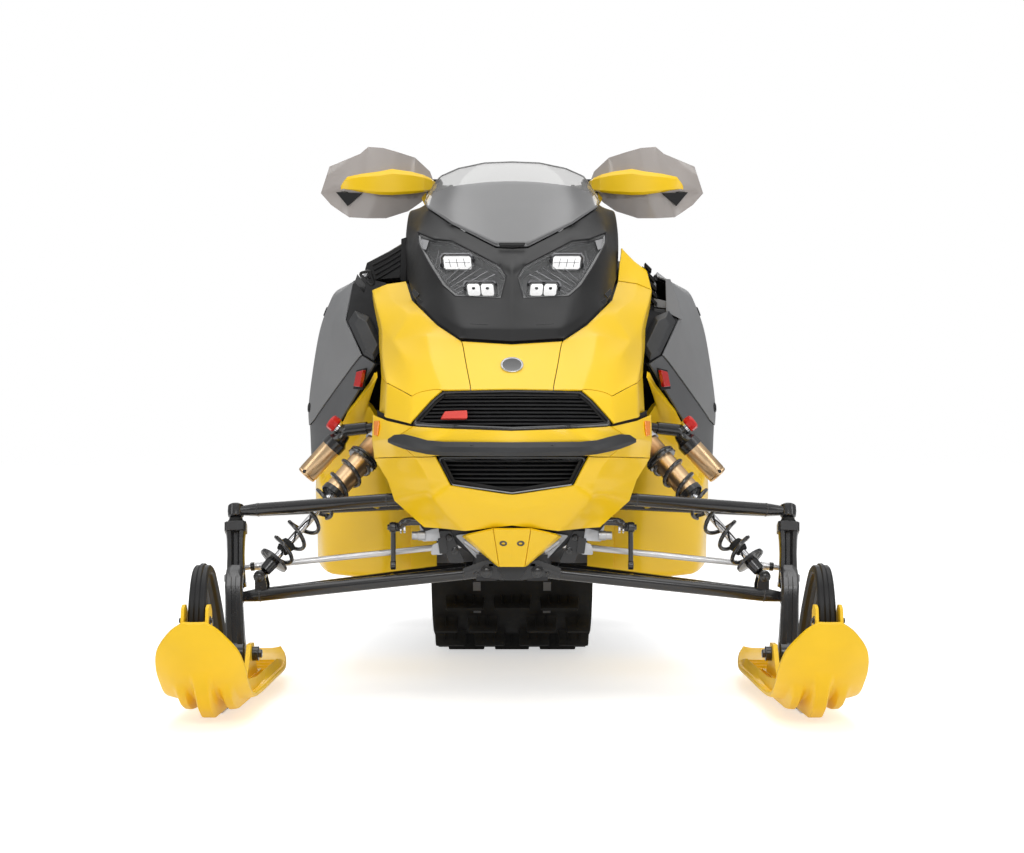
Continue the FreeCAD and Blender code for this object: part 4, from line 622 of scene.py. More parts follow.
SSOFT = {"l0-lx": 0.55, "lx-l1": 0.55, "kx-lx": 0.05, "lx-ha": 0.1, "l1-l2": 0.45, "l2-k2": 0.2, "hc-k3": 0.1, "hd-k4": 0.05, "hf-k5": 0.1, "hg-k6": 0.1, "l1-hb": 0.35, "l2-hc": 0.2, "hj-w2": 0.1, "hg-w3": 0.2, "k7-w4": 0.1,
         "k6-k7": 0.45, "k5-k6": 0.45, "k6-x5": 0.0, "k6-x6": 0.0, "m0-ha": 0.3, "m1-hk": 0.3, "hk-w1": 0.2, "hb": 0.6, "hc": 0.75, "hd": 0.3, "k4-x4": 0.3}
sV, sF, sG = subdivided(SURROUND, SURROUND_F, None, crease=0.4, creases=SSOFT, corner=0.8)
shell("light_surround", sV, sF, M["satin"], t=3.5, gap=0.8, rim=1.2, replaces=("headlight_surround",), flange=9)
# faint slots low on the surround
b = Build()
for sx in (1, -1):
    b.tube(rounded([(sx * 48, -968.2, 735.6), (sx * 82, -962.6, 737.6)], 1), 1.7, segs=8)
b.make("surround_slots", "black_gloss", bevel=0)

# plain round disc in a thin metal ring on the hood
b = Build()
dn = (0.0, -0.69, 0.724)
b.lathe((0, -1035.1, 653.9), dn, [(-4, 22.0), (1.6, 22.0), (2.2, 21.0), (1.5, 19.5), (1.2, 18.8), (1.2, 3.0)], segs=48, ms=[0, 0, 0, 0, 1, 1])
b.make("hood_disc", ["badge", "black_gloss"], bevel=0, sharp=30)

# headlamps: a dark recess, lamp modules with their reflectors, and a clear cover
sF_ = orient(sV, sF, (0, -600, 600))
s_vn, s_rim, s_in = vertex_frames(sV, sF_)
s_next = {a: b_ for a, b_ in s_rim}
openings = {}
lamp_rim = set()
seen = set()
for a in list(s_next):
    if a in seen:
        continue
    loop_ = [a]; seen.add(a)
    while s_next.get(loop_[-1]) not in (None, a) and s_next[loop_[-1]] not in seen:
        loop_.append(s_next[loop_[-1]]); seen.add(loop_[-1])
    c = sV[loop_].mean(axis=0)
    if abs(abs(c[0]) - 105) < 30 and 40 < len(loop_) < 400:
        openings[1 if c[0] > 0 else -1] = loop_[::2]
        lamp_rim |= set(loop_)
# black sheet behind the hood, surround and nose: painted shade seen through their gaps
liner("inner_liner", [(hV, hF), (sV, sF), (cV, cF)], M["black"], depth=9, grow=9, hold=(None, lamp_rim, None))
def lens_outline(sx, push, grow):
    """Real outline of one lamp opening, moved behind the cover by push and widened by grow."""
    n = Vector((sx * 0.30, -0.78, 0.55)).normalized()
    out = []
    for i in openings[sx]:
        d = -Vector(s_in[i]); d -= n * d.dot(n); d.normalize()
        q = Vector(sV[i]) - d * grow - n * push
        out.append(tuple(q))
    # even out the outline where offsets bunch up in the corners
    for _ in range(2 if abs(grow) > 4 else 0):
        out = [tuple((Vector(out[k - 1]) + 2 * Vector(out[k]) + Vector(out[(k + 1) % len(out)])) / 4) for k in range(len(out))]
    return out
for sx, side in ((1, "left"), (-1, "right")):
    # recess: stepped walls down to a floor
    b = Build()
    rings = [lens_outline(sx, 2.0, 1.0), lens_outline(sx, 16.0, -1.5), lens_outline(sx, 18.0, -6.0), lens_outline(sx, 34.0, -10.0)]
    n = len(rings[0])
    P = [p for r in rings for p in r]
    F = []
    for i in range(len(rings) - 1):
        for q in range(n):
            F.append((i * n + q, i * n + (q + 1) % n, (i + 1) * n + (q + 1) % n, (i + 1) * n + q))
    F.append(list(range((len(rings) - 1) * n, len(rings) * n)))
    b.add(P, F)
    b.make("lamp_recess_" + side, "black", bevel=0, sharp=20)
    b = Build()
    ra, rb, rc = lens_outline(sx, 2.6, 0.5), lens_outline(sx, 4.0, -6.0), lens_outline(sx, 9.0, -7.5)
    n = len(ra)
    P = ra + rb + rc
    F = [((i * n) + q, (i * n) + (q + 1) % n, ((i + 1) * n) + (q + 1) % n, ((i + 1) * n) + q) for i in range(2) for q in range(n)]
    b.add(P, F)
    b.make("lamp_bezel_" + side, "black_gloss", bevel=0, sharp=20)
    b = Build()       # small position light in the outer corner
    c0, c1, c2, c3 = (sx * 191, -716, 932), (sx * 172, -752, 924), (sx * 177, -776, 902), (sx * 190, -746, 908)
    up = Vector((sx * 0.30, -0.78, 0.55)).normalized() * 3.0
    b.prism([c0, c1, c2, c3], tuple(up), 0)
    b.make("position_light_" + side, "marker_grey", bevel=1.0)
    # frames, reflector bowls and light-emitting faces
    b = Build()
    def module(cx, cz, y, w, h, tilt, bars, chamfer=6.0):
        def at(u, v, d): return (sx * (cx + u + v * 0.10), y + d - v * tilt, cz + v)
        def ring(g, d):
            W, H, c = w / 2 + g, h / 2 + g, chamfer
            return [at(u, v, d) for u, v in ((-W + c, -H), (W - c, -H), (W, -H + c), (W, H - c), (W - c, H), (-W + c, H), (-W, H - c), (-W, -H + c))]
        b.loft([ring(5.5, 12), ring(5.5, -1), ring(3.0, -3.5), ring(1.0, -3.5), ring(0.2, 2.0)], 0, caps=False)
        seg = (w - 2) / bars
        for i in range(bars):
            u0 = -w / 2 + 1 + i * seg + 1.2; u1 = u0 + seg - 2.4
            v0, v1 = -h / 2 + 1, h / 2 - 1
            k = 3.0
            def loop(g, d): return [at(u, v, d) for u, v in ((u0 + k + g, v0 + g), (u1 - k - g, v0 + g), (u1 - g, v0 + k + g), (u1 - g, v1 - k - g), (u1 - k - g, v1 - g), (u0 + k + g, v1 - g), (u0 + g, v1 - k - g), (u0 + g, v0 + k + g))]
            b.loft([loop(0, 3), loop(0, -0.5), loop(1.2, -1.6)], 1)
        return at
    a1_ = module(111, 871.5, -832, 60, 26, 0.78, 1, 7)
    a2_ = module(63, 812, -886, 57, 24, 0.72, 2, 5)
    # small studs on the lower module
    for u in (-14, 14):
        p = a2_(u, 3, -3)
        b.lathe(p, (0, -1, 0.4), [(-1, 3.6), (0.4, 3.4), (0.8, 1.5)], 2, segs=12)
    p = a2_(0, 0, -3)
    for v in (-9, 9):
        b.lathe(a2_(0, v, -2.5), (0, -1, 0.4), [(-1, 2.2), (0.8, 2.0)], 2, segs=10)
    for u in (-15, 0, 15):         # inner prisms of the upper module
        b.tube([a1_(u, -8, -1.9), a1_(u + 2, 8, -1.9)], 0.7, 0, segs=6)
    b.tube([a1_(-26, 0, -1.9), a1_(26, 0, -1.9)], 0.6, 0, segs=6)
    for v, w_ in ((-8.5, 22), (8.5, 22)):
        for i in range(6):
            b.sphere(a2_(-w_ + i * 2 * w_ / 5, v * 1.9, -1.0), 1.3, 0, segs=8, rings=4)
    b.make("lamp_modules_" + side, ["chrome_dark", "led", "black"], bevel=0.4, sharp=30)
    b = Build()       # dark vents low at the side of the surround
    for (x, y, z), (x2, y2, z2) in (((205, -790, 812), (196, -812, 800)), ((193, -832, 790), (182, -850, 779))):
        b.prism([(sx * x, y, z), (sx * x2, y2, z2), (sx * (x2 - 8), y2 - 4, z2 + 8), (sx * (x - 3), y - 6, z + 10)], (sx * 1.2, -1.0, 0.8))
    b.make("surround_vents_" + side, "black_gloss", bevel=0.5)
    b = Build()
    for i in range(9):      # fine reflector ribs along the floor of the recess
        t = i / 8
        p = lerp((sx * 34, -858, 846), (sx * 150, -786, 902), t); q = lerp((sx * 112, -858, 806), (sx * 158, -798, 866), t)
        b.tube([p, q], 0.9, 0, segs=6)
    b.make("lamp_ribs_" + side, "chrome_dark", bevel=0)
LENS_FACES = ["ha hb hc hd hj hk hl", "hd hf hg hh hj"]
lens_table = {k: v for k, v in SURROUND.items() if k.startswith("h")}
V, F, G = subdivided(lens_table, LENS_FACES, None, crease=0.3, corner=0.95, mirrored=True, level=3)
shell("lamp_covers", V, F, M["lens"], t=2.2, gap=1.6, rim=0.6, raise_by=-1.6, replaces=("headlights",))
# dark bead that holds each cover
for sx, side in ((1, "left"), (-1, "right")):
    b = Build()
    b.tube(lens_outline(sx, 1.2, -0.6), 1.5, segs=8, closed=True)
    b.make("lamp_bead_" + side, "black", bevel=0)

# ------------------------------------------------------------------ windshield
SHIELD = dict(
    a0=(0, -800, 909), a1=(33, -798, 911), a2=(125, -739, 964), a3=(180, -641, 1011), a4=(190, -560, 1032), a5=(190, -500, 1044),
    b0=(0, -616, 1068), b1=(60, -612, 1066), b2=(126, -586, 1061), b3=(172, -552, 1050), b4=(187, -510, 1052), b5=(187, -470, 1056),
    c0=(0, -548, 1120), c1=(60, -545, 1118), c2=(118, -524, 1109), c3=(158, -494, 1096), c4=(174, -466, 1082), c5=(180, -448, 1072))
SHIELD_F = ["a0 a1 b1 b0", "a1 a2 b2 b1", "a2 a3 b3 b2", "a3 a4 b4 b3", "a4 a5 b5 b4", "b0 b1 c1 c0", "b1 b2 c2 c1", "b2 b3 c3 c2", "b3 b4 c4 c3", "b4 b5 c5 c4"]
WSOFT = {"a0-b0": 0, "a1-b1": 0.42, "a2-b2": 0.25, "a3-b3": 0.35, "a4-b4": 0.2, "b0-b1": 0.15, "b1-b2": 0.15, "b2-b3": 0.15, "b3-b4": 0.15, "b4-b5": 0.15, "b0-c0": 0, "b1-c1": 0.2, "b2-c2": 0.2,
         "b3-c3": 0.35, "b4-c4": 0.2}
V, F, G = subdivided(SHIELD, SHIELD_F, [0, 0, 0, 1, 1, 1, 1, 1, 1, 1], crease=0.2, creases=WSOFT, corner=0.55)
pane = shell("windshield_pane", V, F, M["smoke"], t=3.2, gap=0.0, rim=0, inside=(0, -200, 800), replaces=("windshield",))
pane.data.materials.append(M["clear"])
for i, p in enumerate(pane.data.polygons):        # outer faces, inner faces, then the rim
    p.material_index = G[i % len(F)] if i < 2 * len(F) else 1
# grey tube all round the screen; its light grey is a painted highlight of light caught in the cut edge
F2 = orient(V, F, (0, -200, 800))
vn, rimE, inw = vertex_frames(V, F2)
nxt = {a: b_ for a, b_ in rimE}
start = rimE[0][0]; loop = [start]
while nxt[loop[-1]] != start:
    loop.append(nxt[loop[-1]])
b = Build()
b.tube([tuple(V[i] - vn[i] * 1.6) for i in loop[::2]], 1.7, segs=8, closed=True)
b.make("windshield_edge", "edge_clear", bevel=0)
# grab slot at its foot, mounts and posts behind it
b = Build()
b.prism(rounded([(-28, -803, 914), (28, -803, 914), (25, -806, 907), (-25, -806, 907)], 2, 2, closed=True), (0, -4, 1.5))
for sx in (1, -1):
    b.tube(rounded([(sx * 150, -560, 960), (sx * 156, -530, 1030), (sx * 160, -505, 1068), (sx * 158, -500, 1082)], 14), 6.0, segs=12)
    b.lathe((sx * 160, -512, 1060), (0, -1, 0.6), [(-6, 9), (3, 9), (4, 6)], segs=16)
    b.prism([(sx * 120, -600, 985), (sx * 178, -560, 1000), (sx * 172, -520, 1046), (sx * 150, -530, 1040)], (0, 8, 0))
b.make("windshield_mounts", "satin", bevel=0.8)

from mathutils.bvhtree import BVHTree
# ------------------------------------------------------------------ grilles, front bar and markers
def top_edge(z):
    """Half width and front line of the upper grille at height z: (x middle, y middle, x edge, y edge, y centre)."""
    t = (604 - z) / 75.0
    xe = 152 + 38 * (586 - z) / 43.0 if z < 586 else 132 + 20 * (602 - z) / 16.0
    return 80 + 28 * t, -1066 - 46 * t, xe, -1049 - 18 * (602 - z) / 64.0, -1076 - 52 * t
b = Build()
for i in range(9):
    z = 538 + i * 7.3
    xm, ym, xe, ye, yc = top_edge(z)
    path = [(-xe + 4, ye), (-xm, ym), (0, yc), (xm, ym), (xe - 4, ye)]
    secs = [[(x, y + 1.5, z - 1.2), (x, y + 1.5, z + 1.6), (x, y + 15, z + 5.0), (x, y + 15, z + 2.2)] for x, y in path]
    b.loft(secs)
b.make("upper_grille_slats", "black", bevel=0.4, replaces=("grilles",))
b = Build()
outline = [(0, -1079, 603.5), (80, -1069, 602.5), (131, -1051, 601.5), (150, -1054, 586.5), (188, -1064.5, 543.5), (182, -1070, 538), (108, -1114, 532.5), (0, -1130, 528.5)]
outline = outline + [(-x, y, z) for x, y, z in outline[-2:0:-1]]
b.tube(rounded(outline, 8, 3, closed=True), 4.6, segs=10, closed=True, flat=0.8)
ledge = [(-168, -1057, 572), (-136, -1049.5, 601), (-128, -1050, 604), (-80, -1068, 606), (0, -1078.5, 607), (80, -1068, 606), (128, -1050, 604), (136, -1049.5, 601), (168, -1057, 572)]
b.tube(rounded(ledge, 6, 2), 2.6, segs=8)
b.make("upper_grille_frame", "black_gloss", bevel=0)
V = [(0, -1050, 604), (80, -1040, 603), (132, -1023, 602), (152, -1026, 586), (190, -1036, 543), (184, -1041, 538), (108, -1086, 531), (0, -1102, 527),
     (0, -1134, 525), (108, -1118, 529), (184, -1074, 534)]
b = Build()
b.add(V + [(-x, y, z) for x, y, z in V], [(0, 7, 6, 1), (1, 6, 5, 2), (2, 5, 4, 3), (12, 17, 18, 11), (13, 16, 17, 12), (14, 15, 16, 13),
                                           (7, 8, 9, 6), (6, 9, 10, 5), (17, 20, 19, 18), (16, 21, 20, 17)])
b.make("upper_grille_back", "mesh_black", bevel=0, smooth=False)
b = Build()
for i in range(7):
    z = 419 + i * 8.2
    t = (476 - z) / 68.0
    xe = 142 - 28 * (476 - z) / 53.0
    if z < 424: xe = 80
    yc, ye = -1136 + 14 * t, -1103 - 3 * t - 0.6
    path = [(-xe + 3, ye), (-xe * 0.5, (ye + yc) / 2 - 1), (0, yc), (xe * 0.5, (ye + yc) / 2 - 1), (xe - 3, ye)]
    b.loft([[(x, y + 2, z - 1.2), (x, y + 2, z + 1.6), (x, y + 15, z + 5.0), (x, y + 15, z + 2.2)] for x, y in path])
b.make("lower_grille_slats", "satin", bevel=0.4)
b = Build()
outline = [(0, -1139, 476), (141, -1106, 476), (113, -1108.5, 423), (0, -1124.5, 407.5)]
outline = outline + [(-x, y, z) for x, y, z in outline[-2:0:-1]]
b.tube(rounded(outline, 6, 3, closed=True), 3.6, segs=10, closed=True)
b.make("lower_grille_frame", "black_gloss", bevel=0)
b = Build()
b.add([(0, -1108, 476), (142, -1078, 476), (114, -1080, 423), (0, -1094, 408), (-142, -1078, 476), (-114, -1080, 423)], [(0, 3, 2, 1), (4, 5, 3, 0)])
b.make("lower_grille_back", "mesh_black", bevel=0, smooth=False)
# plain red trim piece on the rider's right of the upper grille
b = Build()
b.prism(rounded([(-137.4, -1090, 546.8), (-130.0, -1084, 560.5), (-87.5, -1101, 562.0), (-86.1, -1111, 546.4)], 2.5, 3, closed=True), (2.5, -7, 3.0))
b.make("grille_trim", "red_soft", bevel=1.0)

bar_rows = [  # x, front y, depth, z low, z high
    (0, -1171, 22, 477, 504), (70, -1162, 22, 477.5, 504.5), (128, -1147, 22, 478, 505), (160, -1131, 20, 481, 508), (185, -1112, 18, 486, 515), (206, -1094, 16, 491, 520), (226, -1070, 12, 498, 519), (239, -1055, 6, 504, 511)]
rows = [(-x, y, d, z0, z1) for x, y, d, z0, z1 in bar_rows[:0:-1]] + bar_rows
b = Build()
def bar_loop(x, y, d, z0, z1):
    h = z1 - z0
    return [(x, y + 0.32 * d, z0), (x, y, z0 + 0.28 * h), (x, y + 0.04 * d, z0 + 0.62 * h), (x, y + 0.35 * d, z1), (x, y + d, z1 - 0.06 * h), (x, y + d, z0 + 0.10 * h)]
b.loft([bar_loop(*r) for r in rows])
for sx in (1, -1):
    b.box(*sorted((sx * 58, sx * 78)), -1158, -1128, 483, 500)
b.make("front_bar", "dark_grey", bevel=1.0, angle=16, segments=2, sharp=16, replaces=("front_bumper",))
b = Build()
for sx in (1, -1):
    P = [(259.5, -968.5, 547), (271.0, -950.5, 547), (270.6, -957.2, 519), (262.0, -976, 517)]
    b.prism([(sx * x, y, z) for x, y, z in P], (sx * 2.6, -1.6, 0.2))
b.make("corner_markers", "orange", bevel=1.2)

# ------------------------------------------------------------------ side panels
SP = dict(
    e1=(318, -525, 872), e2=(322, -460, 888), e3=(322, -385, 888), e4=(290, -250, 866), e5=(240, -130, 822),
    d1=(345.5, -540, 861), d2=(389, -500, 832), d3=(392, -385, 850), d4=(360, -250, 830), d5=(315, -130, 788),
    c1=(356.6, -640, 769.7), c2=(420, -480, 756), c3=(432, -390, 756), c4=(420, -250, 735), c5=(390, -130, 700),
    b1=(314.4, -735, 688), b2=(442, -480, 619), b3=(453, -400, 610), b4=(450, -255, 600), b5=(434, -140, 590),
    g2=(434.6, -510, 557), g3=(454, -400, 545), g4=(450, -255, 540), g5=(436, -140, 530),
    y0=(284.4, -788, 668), y1=(356, -692, 566), a2=(424, -564, 463), v3=(446, -470, 482), a3=(444, -420, 437), a4=(442, -260, 435), a5=(436, -150, 435))
SP_UP = ["e1 d1 d2 e2", "e2 d2 d3 e3", "e3 d3 d4 e4", "e4 d4 d5 e5", "d1 c1 c2 d2", "d2 c2 c3 d3", "d3 c3 c4 d4", "d4 c4 c5 d5", "c1 b1 g2 b2", "c1 b2 c2", "c2 b2 b3 c3", "b2 g2 g3 b3",
         "c3 b3 b4 c4", "b3 g3 g4 b4", "c4 b4 b5 c5", "b4 g4 g5 b5"]
SP_LOW = ["b1 y0 y1 g2", "g2 y1 a2 v3", "g2 v3 a3 g3", "v3 a2 a3", "g3 a3 a4 g4", "g4 a4 a5 g5"]
psoft = {"c1-b2": 0.0, "b2-b3": 0.1, "b3-b4": 0.1, "b4-b5": 0.1, "c2-c3": 0.25, "c3-c4": 0.25, "c4-c5": 0.25, "c1-c2": 0.3, "d2-d3": 0.45, "d3-d4": 0.45, "d4-d5": 0.45, "d1-d2": 0.5, "c2-b2": 0.3, "b2-g2": 0.3,
         "d2-c2": 0.3, "e2-d2": 0.3, "e3-d3": 0.1, "d3-c3": 0.05, "c3-b3": 0.05, "b3-g3": 0.05, "e4-d4": 0.1, "d4-c4": 0.05, "c4-b4": 0.05, "b4-g4": 0.05, "b2-c2": 0.3, "v3-g2": 0.2, "v3-a3": 0.2, "g3-a3": 0.05, "g4-a4": 0.05, "y1-g2": 0.3}
V, F, G = subdivided(SP, SP_UP + SP_LOW, [0] * len(SP_UP) + [1] * len(SP_LOW), crease=0.4, creases=psoft, corner=0.8, mirrored=False, level=4)
for sx, side in ((1, "left"), (-1, "right")):
    for g, name, m, lift in ((0, "side_panel_upper_", "grey", 0.0), (1, "side_panel_lower_", "grey_low", -2.0)):
        A, Bf = pick(V, F, G, {g})
        A = A * np.array([sx, 1, 1])
        shell(name + side, A, Bf, M[m], t=3.5, gap=1.4, inside=(0, -450, 650), rim=1.2, raise_by=lift, replaces=("side_panels",) if (g, sx) == (0, 1) else ())
    A = V * np.array([sx, 1, 1])
    # black sheet behind the side panel: painted shade seen through its gaps
    liner("side_liner_" + side, [(A, F)], M["black"], depth=9, grow=0, inside=(0, -450, 650))
    # louvre ribs and quarter-turn fasteners
    tree_ = BVHTree.FromPolygons([Vector(v) for v in A], F)
    def on_panel(y, z):
        h = tree_.ray_cast(Vector((sx * 700.0, y, z)), Vector((-sx, 0.0, 0.0)))
        return h if h[0] is not None else None
    b = Build()
    for k in range(5):
        line = []
        for i in range(13):
            h = on_panel(-388 + k * 9 + i * 12, 640 + k * 15)
            if h:
                line.append(tuple(h[0] + Vector((sx * 0.6, 0, 0))))
        if len(line) > 3:
            b.tube(line, [1.2] + [3.4] * (len(line) - 2) + [1.2], 0, segs=8)
    for y, z in ((-470, 585), (-180, 575), (-200, 700), (-440, 800), (-300, 456)):
        h = on_panel(y, z)
        if h:
            n_ = h[1] if h[1].x * sx > 0 else -h[1]
            b.lathe(tuple(h[0]), tuple(n_), [(-2, 11), (0.8, 11), (2.4, 9.5), (2.4, 6), (1.0, 5.6), (1.0, 1)], 1, segs=24)
            b.box(-5.4, 5.4, -1.1, 1.1, 0.6, 2.6, 1, rot=n_.to_track_quat("Z", "Y").to_matrix(), at=tuple(h[0]))
    b.make("side_louvres_" + side, ["satin", "black"], bevel=0.4)

# dark bodywork between hood and side panel: backing and faceted cover
for sx, side in ((1, "left"), (-1, "right")):
    b = Build()
    def P(*q): return [(sx * x, y, z) for x, y, z in q]
    back = P((268, -650, 846), (322, -560, 866), (346, -560, 852), (352, -650, 766), (312, -722, 690), (276, -740, 668), (262, -720, 740))
    if sx > 0:         # open between the fins and the panel on the rider's left
        back = P((268, -650, 846), (288, -640, 840), (297, -636, 796), (330, -612, 796), (346, -600, 806), (352, -650, 766), (312, -722, 690), (276, -740, 668), (262, -720, 740))
    b.prism(back, (0, 14, 0))
    b.make("side_backing_" + side, "black", bevel=1.5)
    b = Build()
    outer = P((333.5, -655, 786.7), (347.7, -655, 763.2), (309.2, -740, 689.3), (286.5, -757, 674.0), (269.0, -733, 705.5), (303.0, -668, 773.6))
    mid = P((326, -676, 772), (333, -672, 757), (305, -742, 700), (290, -752, 690), (280, -742, 710), (308, -685, 762))
    base = [(x, y + 26, z) for x, y, z in outer]
    order = lambda L: L if sx > 0 else L[::-1]
    b.loft([order(base), order(outer), order(mid)])
    b.make("side_cover_" + side, "dark_grey", bevel=1.8, angle=15, segments=3)

# rider's right: black air box with fins; rider's left: yellow extension with black fins behind it
b = Build()
def Q(x, z, y=-600): return (-x, y, z)
front = [Q(231, 940), Q(264.5, 920), Q(313, 894), Q(317, 879), Q(301.7, 853), Q(240.8, 859)]
b.loft([[(x, y + 150, z) for x, y, z in front], [(x, y + 8, z) for x, y, z in front], [(x * 0.985 - 4, y, (z - 890) * 0.9 + 890) for x, y, z in front]])
for i in range(4):         # ribs that run along the sloping top
    o_ = 12 + i * 11
    b.tube(rounded([(-240, -602, 934 - o_), (-268, -602, 917 - o_), (-300 + i * 3, -602, 899 - o_ * 0.9)], 6, 3), 2.6, segs=8)
b.prism([(-226, -612, 948), (-238, -610, 944), (-240, -606, 856), (-228, -608, 850)], (0, 60, 0))
b.tube(rounded([(-327, -640, 867), (-303, -640, 873), (-291, -640, 834)], 4, 3, closed=True), 3.4, segs=8, closed=True)
b.prism([(-312, -636, 842), (-330, -636, 866), (-338, -610, 852), (-318, -610, 828)], (0, 6, 0))
b.make("air_box", "satin", bevel=1.0, replaces=("side_vents",))
ext = dict(g3=(223, -690, 847), g4=(264, -680, 842), g5=(296, -670, 830), E1=(234, -640, 922), Em=(261, -640, 893), E2=(287, -642, 873), E0=(228, -668, 884), H1=(238, -560, 915), H4=(264, -562, 888), H2=(290, -572, 866), H3=(297, -600, 822))
V, F, G = subdivided(ext, ["g3 g4 E2 Em E1 E0", "g4 g5 E2", "E1 Em H4 H1", "Em E2 H2 H4", "E2 g5 H3 H2"], None, crease=0.5, corner=0.85, mirrored=False, level=3)
shell("hood_shoulder_left", V, F, M["yellow"], t=3.5, gap=0.7, inside=(200, -500, 700))
b = Build()
for zc, x1, x0 in ((873, 298, 284), (859, 305, 278), (844.5, 308.5, 278), (829.5, 310, 278), (812.5, 310, 278), (795, 305.5, 278)):
    zi, zo = zc + (290.5 - x0) + 7, zc + 7 - (x1 - 290.5)       # each blade slopes down and outwards
    b.prism([(x0, -641, zi + 4.4), (x1, -641, zo + 4.4), (x1 - 1, -641, zo - 4.4), (x0, -641, zi - 4.4)], (0, 38, 0))
b.prism([(262, -604, 762), (289, -600, 758), (285, -594, 866), (262, -594, 885)], (0, 60, 0))
b.prism([(284, -606, 788), (308, -606, 782), (310, -606, 848), (300, -606, 862), (284, -606, 872)], (0, 5, 0), 1)
b.make("shoulder_fins_left", ["mesh_black", "marker_grey"], bevel=0.8)
# inner corner of the rider's left side panel, with a small bracket and rod beside the fins
b = Build()
b.prism([(329, -622, 857), (339, -620, 857), (348, -622, 833), (357, -628, 808), (362, -640, 768), (333, -650, 782), (328, -650, 779), (329, -634, 815)], (0, 9, 0), 0)
b.prism([(303, -636, 815), (330, -636, 808), (330, -636, 793), (303, -636, 796)], (0, 22, 0), 0)
b.prism([(303, -642, 792.5), (327, -642, 790), (326, -642, 768), (303, -642, 771)], (0, 22, 0), 1)
b.tube([(326, -668, 775), (312, -672, 753)], 1.9, 2, segs=10)
b.make("side_panel_corner_left", ["grey", "dark_grey", "alu_bright"], bevel=0.8)

FAIR = dict(
    t0=(276, -792, 640), t1=(348, -704, 564), t2=(421, -566, 454), t3=(440, -420, 430), t4=(438, -150, 428),
    u0=(300, -724, 586), u1=(326, -664, 515), u2=(398, -578, 438),
    v0=(212, -636, 440), v1=(285, -650, 440), v2=(410, -566, 400), v3=(438, -420, 380), v4=(434, -150, 380),
    b0=(212, -626, 222), b1=(280, -612, 220), b2=(400, -525, 224), b3=(430, -420, 238), b4=(426, -150, 240),
    g0=(212, -560, 220), g4=(212, -150, 240))
FAIR_F = ["t0 u0 u1 t1", "t1 u1 u2 t2", "u0 v0 v1 u1", "u1 v1 v2 u2", "t2 u2 v2", "v0 b0 b1 v1", "v1 b1 b2 v2", "t2 v2 v3 t3", "v2 b2 b3 v3", "t3 v3 v4 t4", "v3 b3 b4 v4",
          "b0 g0 b1", "b1 g0 b2", "b2 g0 b3", "b3 g0 g4 b4"]
V, F, G = subdivided(FAIR, FAIR_F, None, crease=0.5, creases={"v0-v1": 0.2, "v1-v2": 0.2, "u0-u1": 0.5, "u1-u2": 0.35, "v2-v3": 0.1, "v3-v4": 0.1, "v3-b3": 0.1, "t3-v3": 0.1, "v2-b2": 0.35, "v1-b1": 0.3, "t2-v2": 0.3}, corner=0.85, mirrored=False)
for sx, side in ((1, "left"), (-1, "right")):
    shell("lower_fairing_" + side, V * np.array([sx, 1, 1]), F, M["yellow"], t=3.5, gap=1.0, rim=1.2, inside=(0, -350, 350), flange=16, replaces=("lower_fairings",) if sx > 0 else ())
# inner wings of the fairings, seen behind the suspension
b = Build()
for sx in (1, -1):
    P = [(160, -651, 440), (216, -645, 440), (216, -636.5, 226), (176, -638, 226), (160, -642, 244)]
    b.prism([(sx * x, y, z) for x, y, z in P], (0, 5, 0))
b.make("fairing_wings", "yellow", bevel=1.0)
b = Build()          # walls that close the fairings behind, in front of the foot wells
for sx in (1, -1):
    P = [(212, -158, 244), (426, -158, 244), (431, -158, 380), (431, -158, 452), (212, -166, 470)]
    b.prism([(sx * x, y, z) for x, y, z in P], (0, 4, 0))
    for z in (290, 330, 370):
        b.prism([(sx * 250, -154.5, z), (sx * 396, -154.5, z), (sx * 396, -154.5, z + 9), (sx * 250, -154.5, z + 9)], (0, 4.5, 0))
b.make("foot_well_walls", "satin", bevel=1.0)
# side reflectors on the lower panels
b = Build()
for sx in (1, -1):
    P = [(301, -778, 655), (316, -760, 652), (322, -760, 622), (308, -778, 620)]
    b.prism([(sx * x, y, z) for x, y, z in P], (sx * 6, -9, 0))
b.make("side_reflectors", "red_lens", bevel=1.2)
b = Build()
for sx in (1, -1):
    P = [(298, -772, 660), (319, -750, 656), (326, -750, 617), (305, -772, 614)]
    b.prism([(sx * x, y, z) for x, y, z in P], (sx * 4, -5, 0))
b.make("side_reflector_seats", "black", bevel=1.2)

# ------------------------------------------------------------------ handguards
G_COL = [  # columns from the middle outwards: top, crease, bottom
    ((187.7, -322, 1130.1), (176, -318, 1098), (207.9, -330, 1058.1)), ((220.7, -350, 1158.0), (222.6, -360, 1090), (236.8, -346, 1035.6)),
    ((258.4, -366, 1168.0), (268, -380, 1086), (285.8, -364, 1017.5)), ((292.1, -372, 1176.8), (305, -389, 1083), (328.3, -372, 1016.6)),
    ((325.9, -374, 1179.0), (346, -389, 1081), (369.0, -372, 1018.8)), ((344.4, -370, 1164), (385, -378, 1080), (389, -364, 1032.3)), ((417.2, -340, 1138.9), (438.7, -322, 1080), (413, -346, 1050.4))]
gt = {}
for i, (t_, m_, l_) in enumerate(G_COL):
    gt["t%d" % i], gt["m%d" % i], gt["l%d" % i] = t_, m_, l_
gf = ["t%d m%d m%d t%d" % (i, i, i + 1, i + 1) for i in range(6)] + ["m%d l%d l%d m%d" % (i, i, i + 1, i + 1) for i in range(6)]
gc = {"m%d-m%d" % (i, i + 1): 0.62 for i in range(6)}
gc.update({"t%d-m%d" % (i, i): 0.3 for i in range(1, 6)}); gc.update({"m%d-l%d" % (i, i): 0.3 for i in range(1, 6)}); gc["t3-m3"] = 0.5; gc["t5-m5"] = 0.5; gc["m5-l5"] = 0.5
V, F, G = subdivided(gt, gf, None, crease=0.3, creases=gc, corner=0.7, mirrored=False)
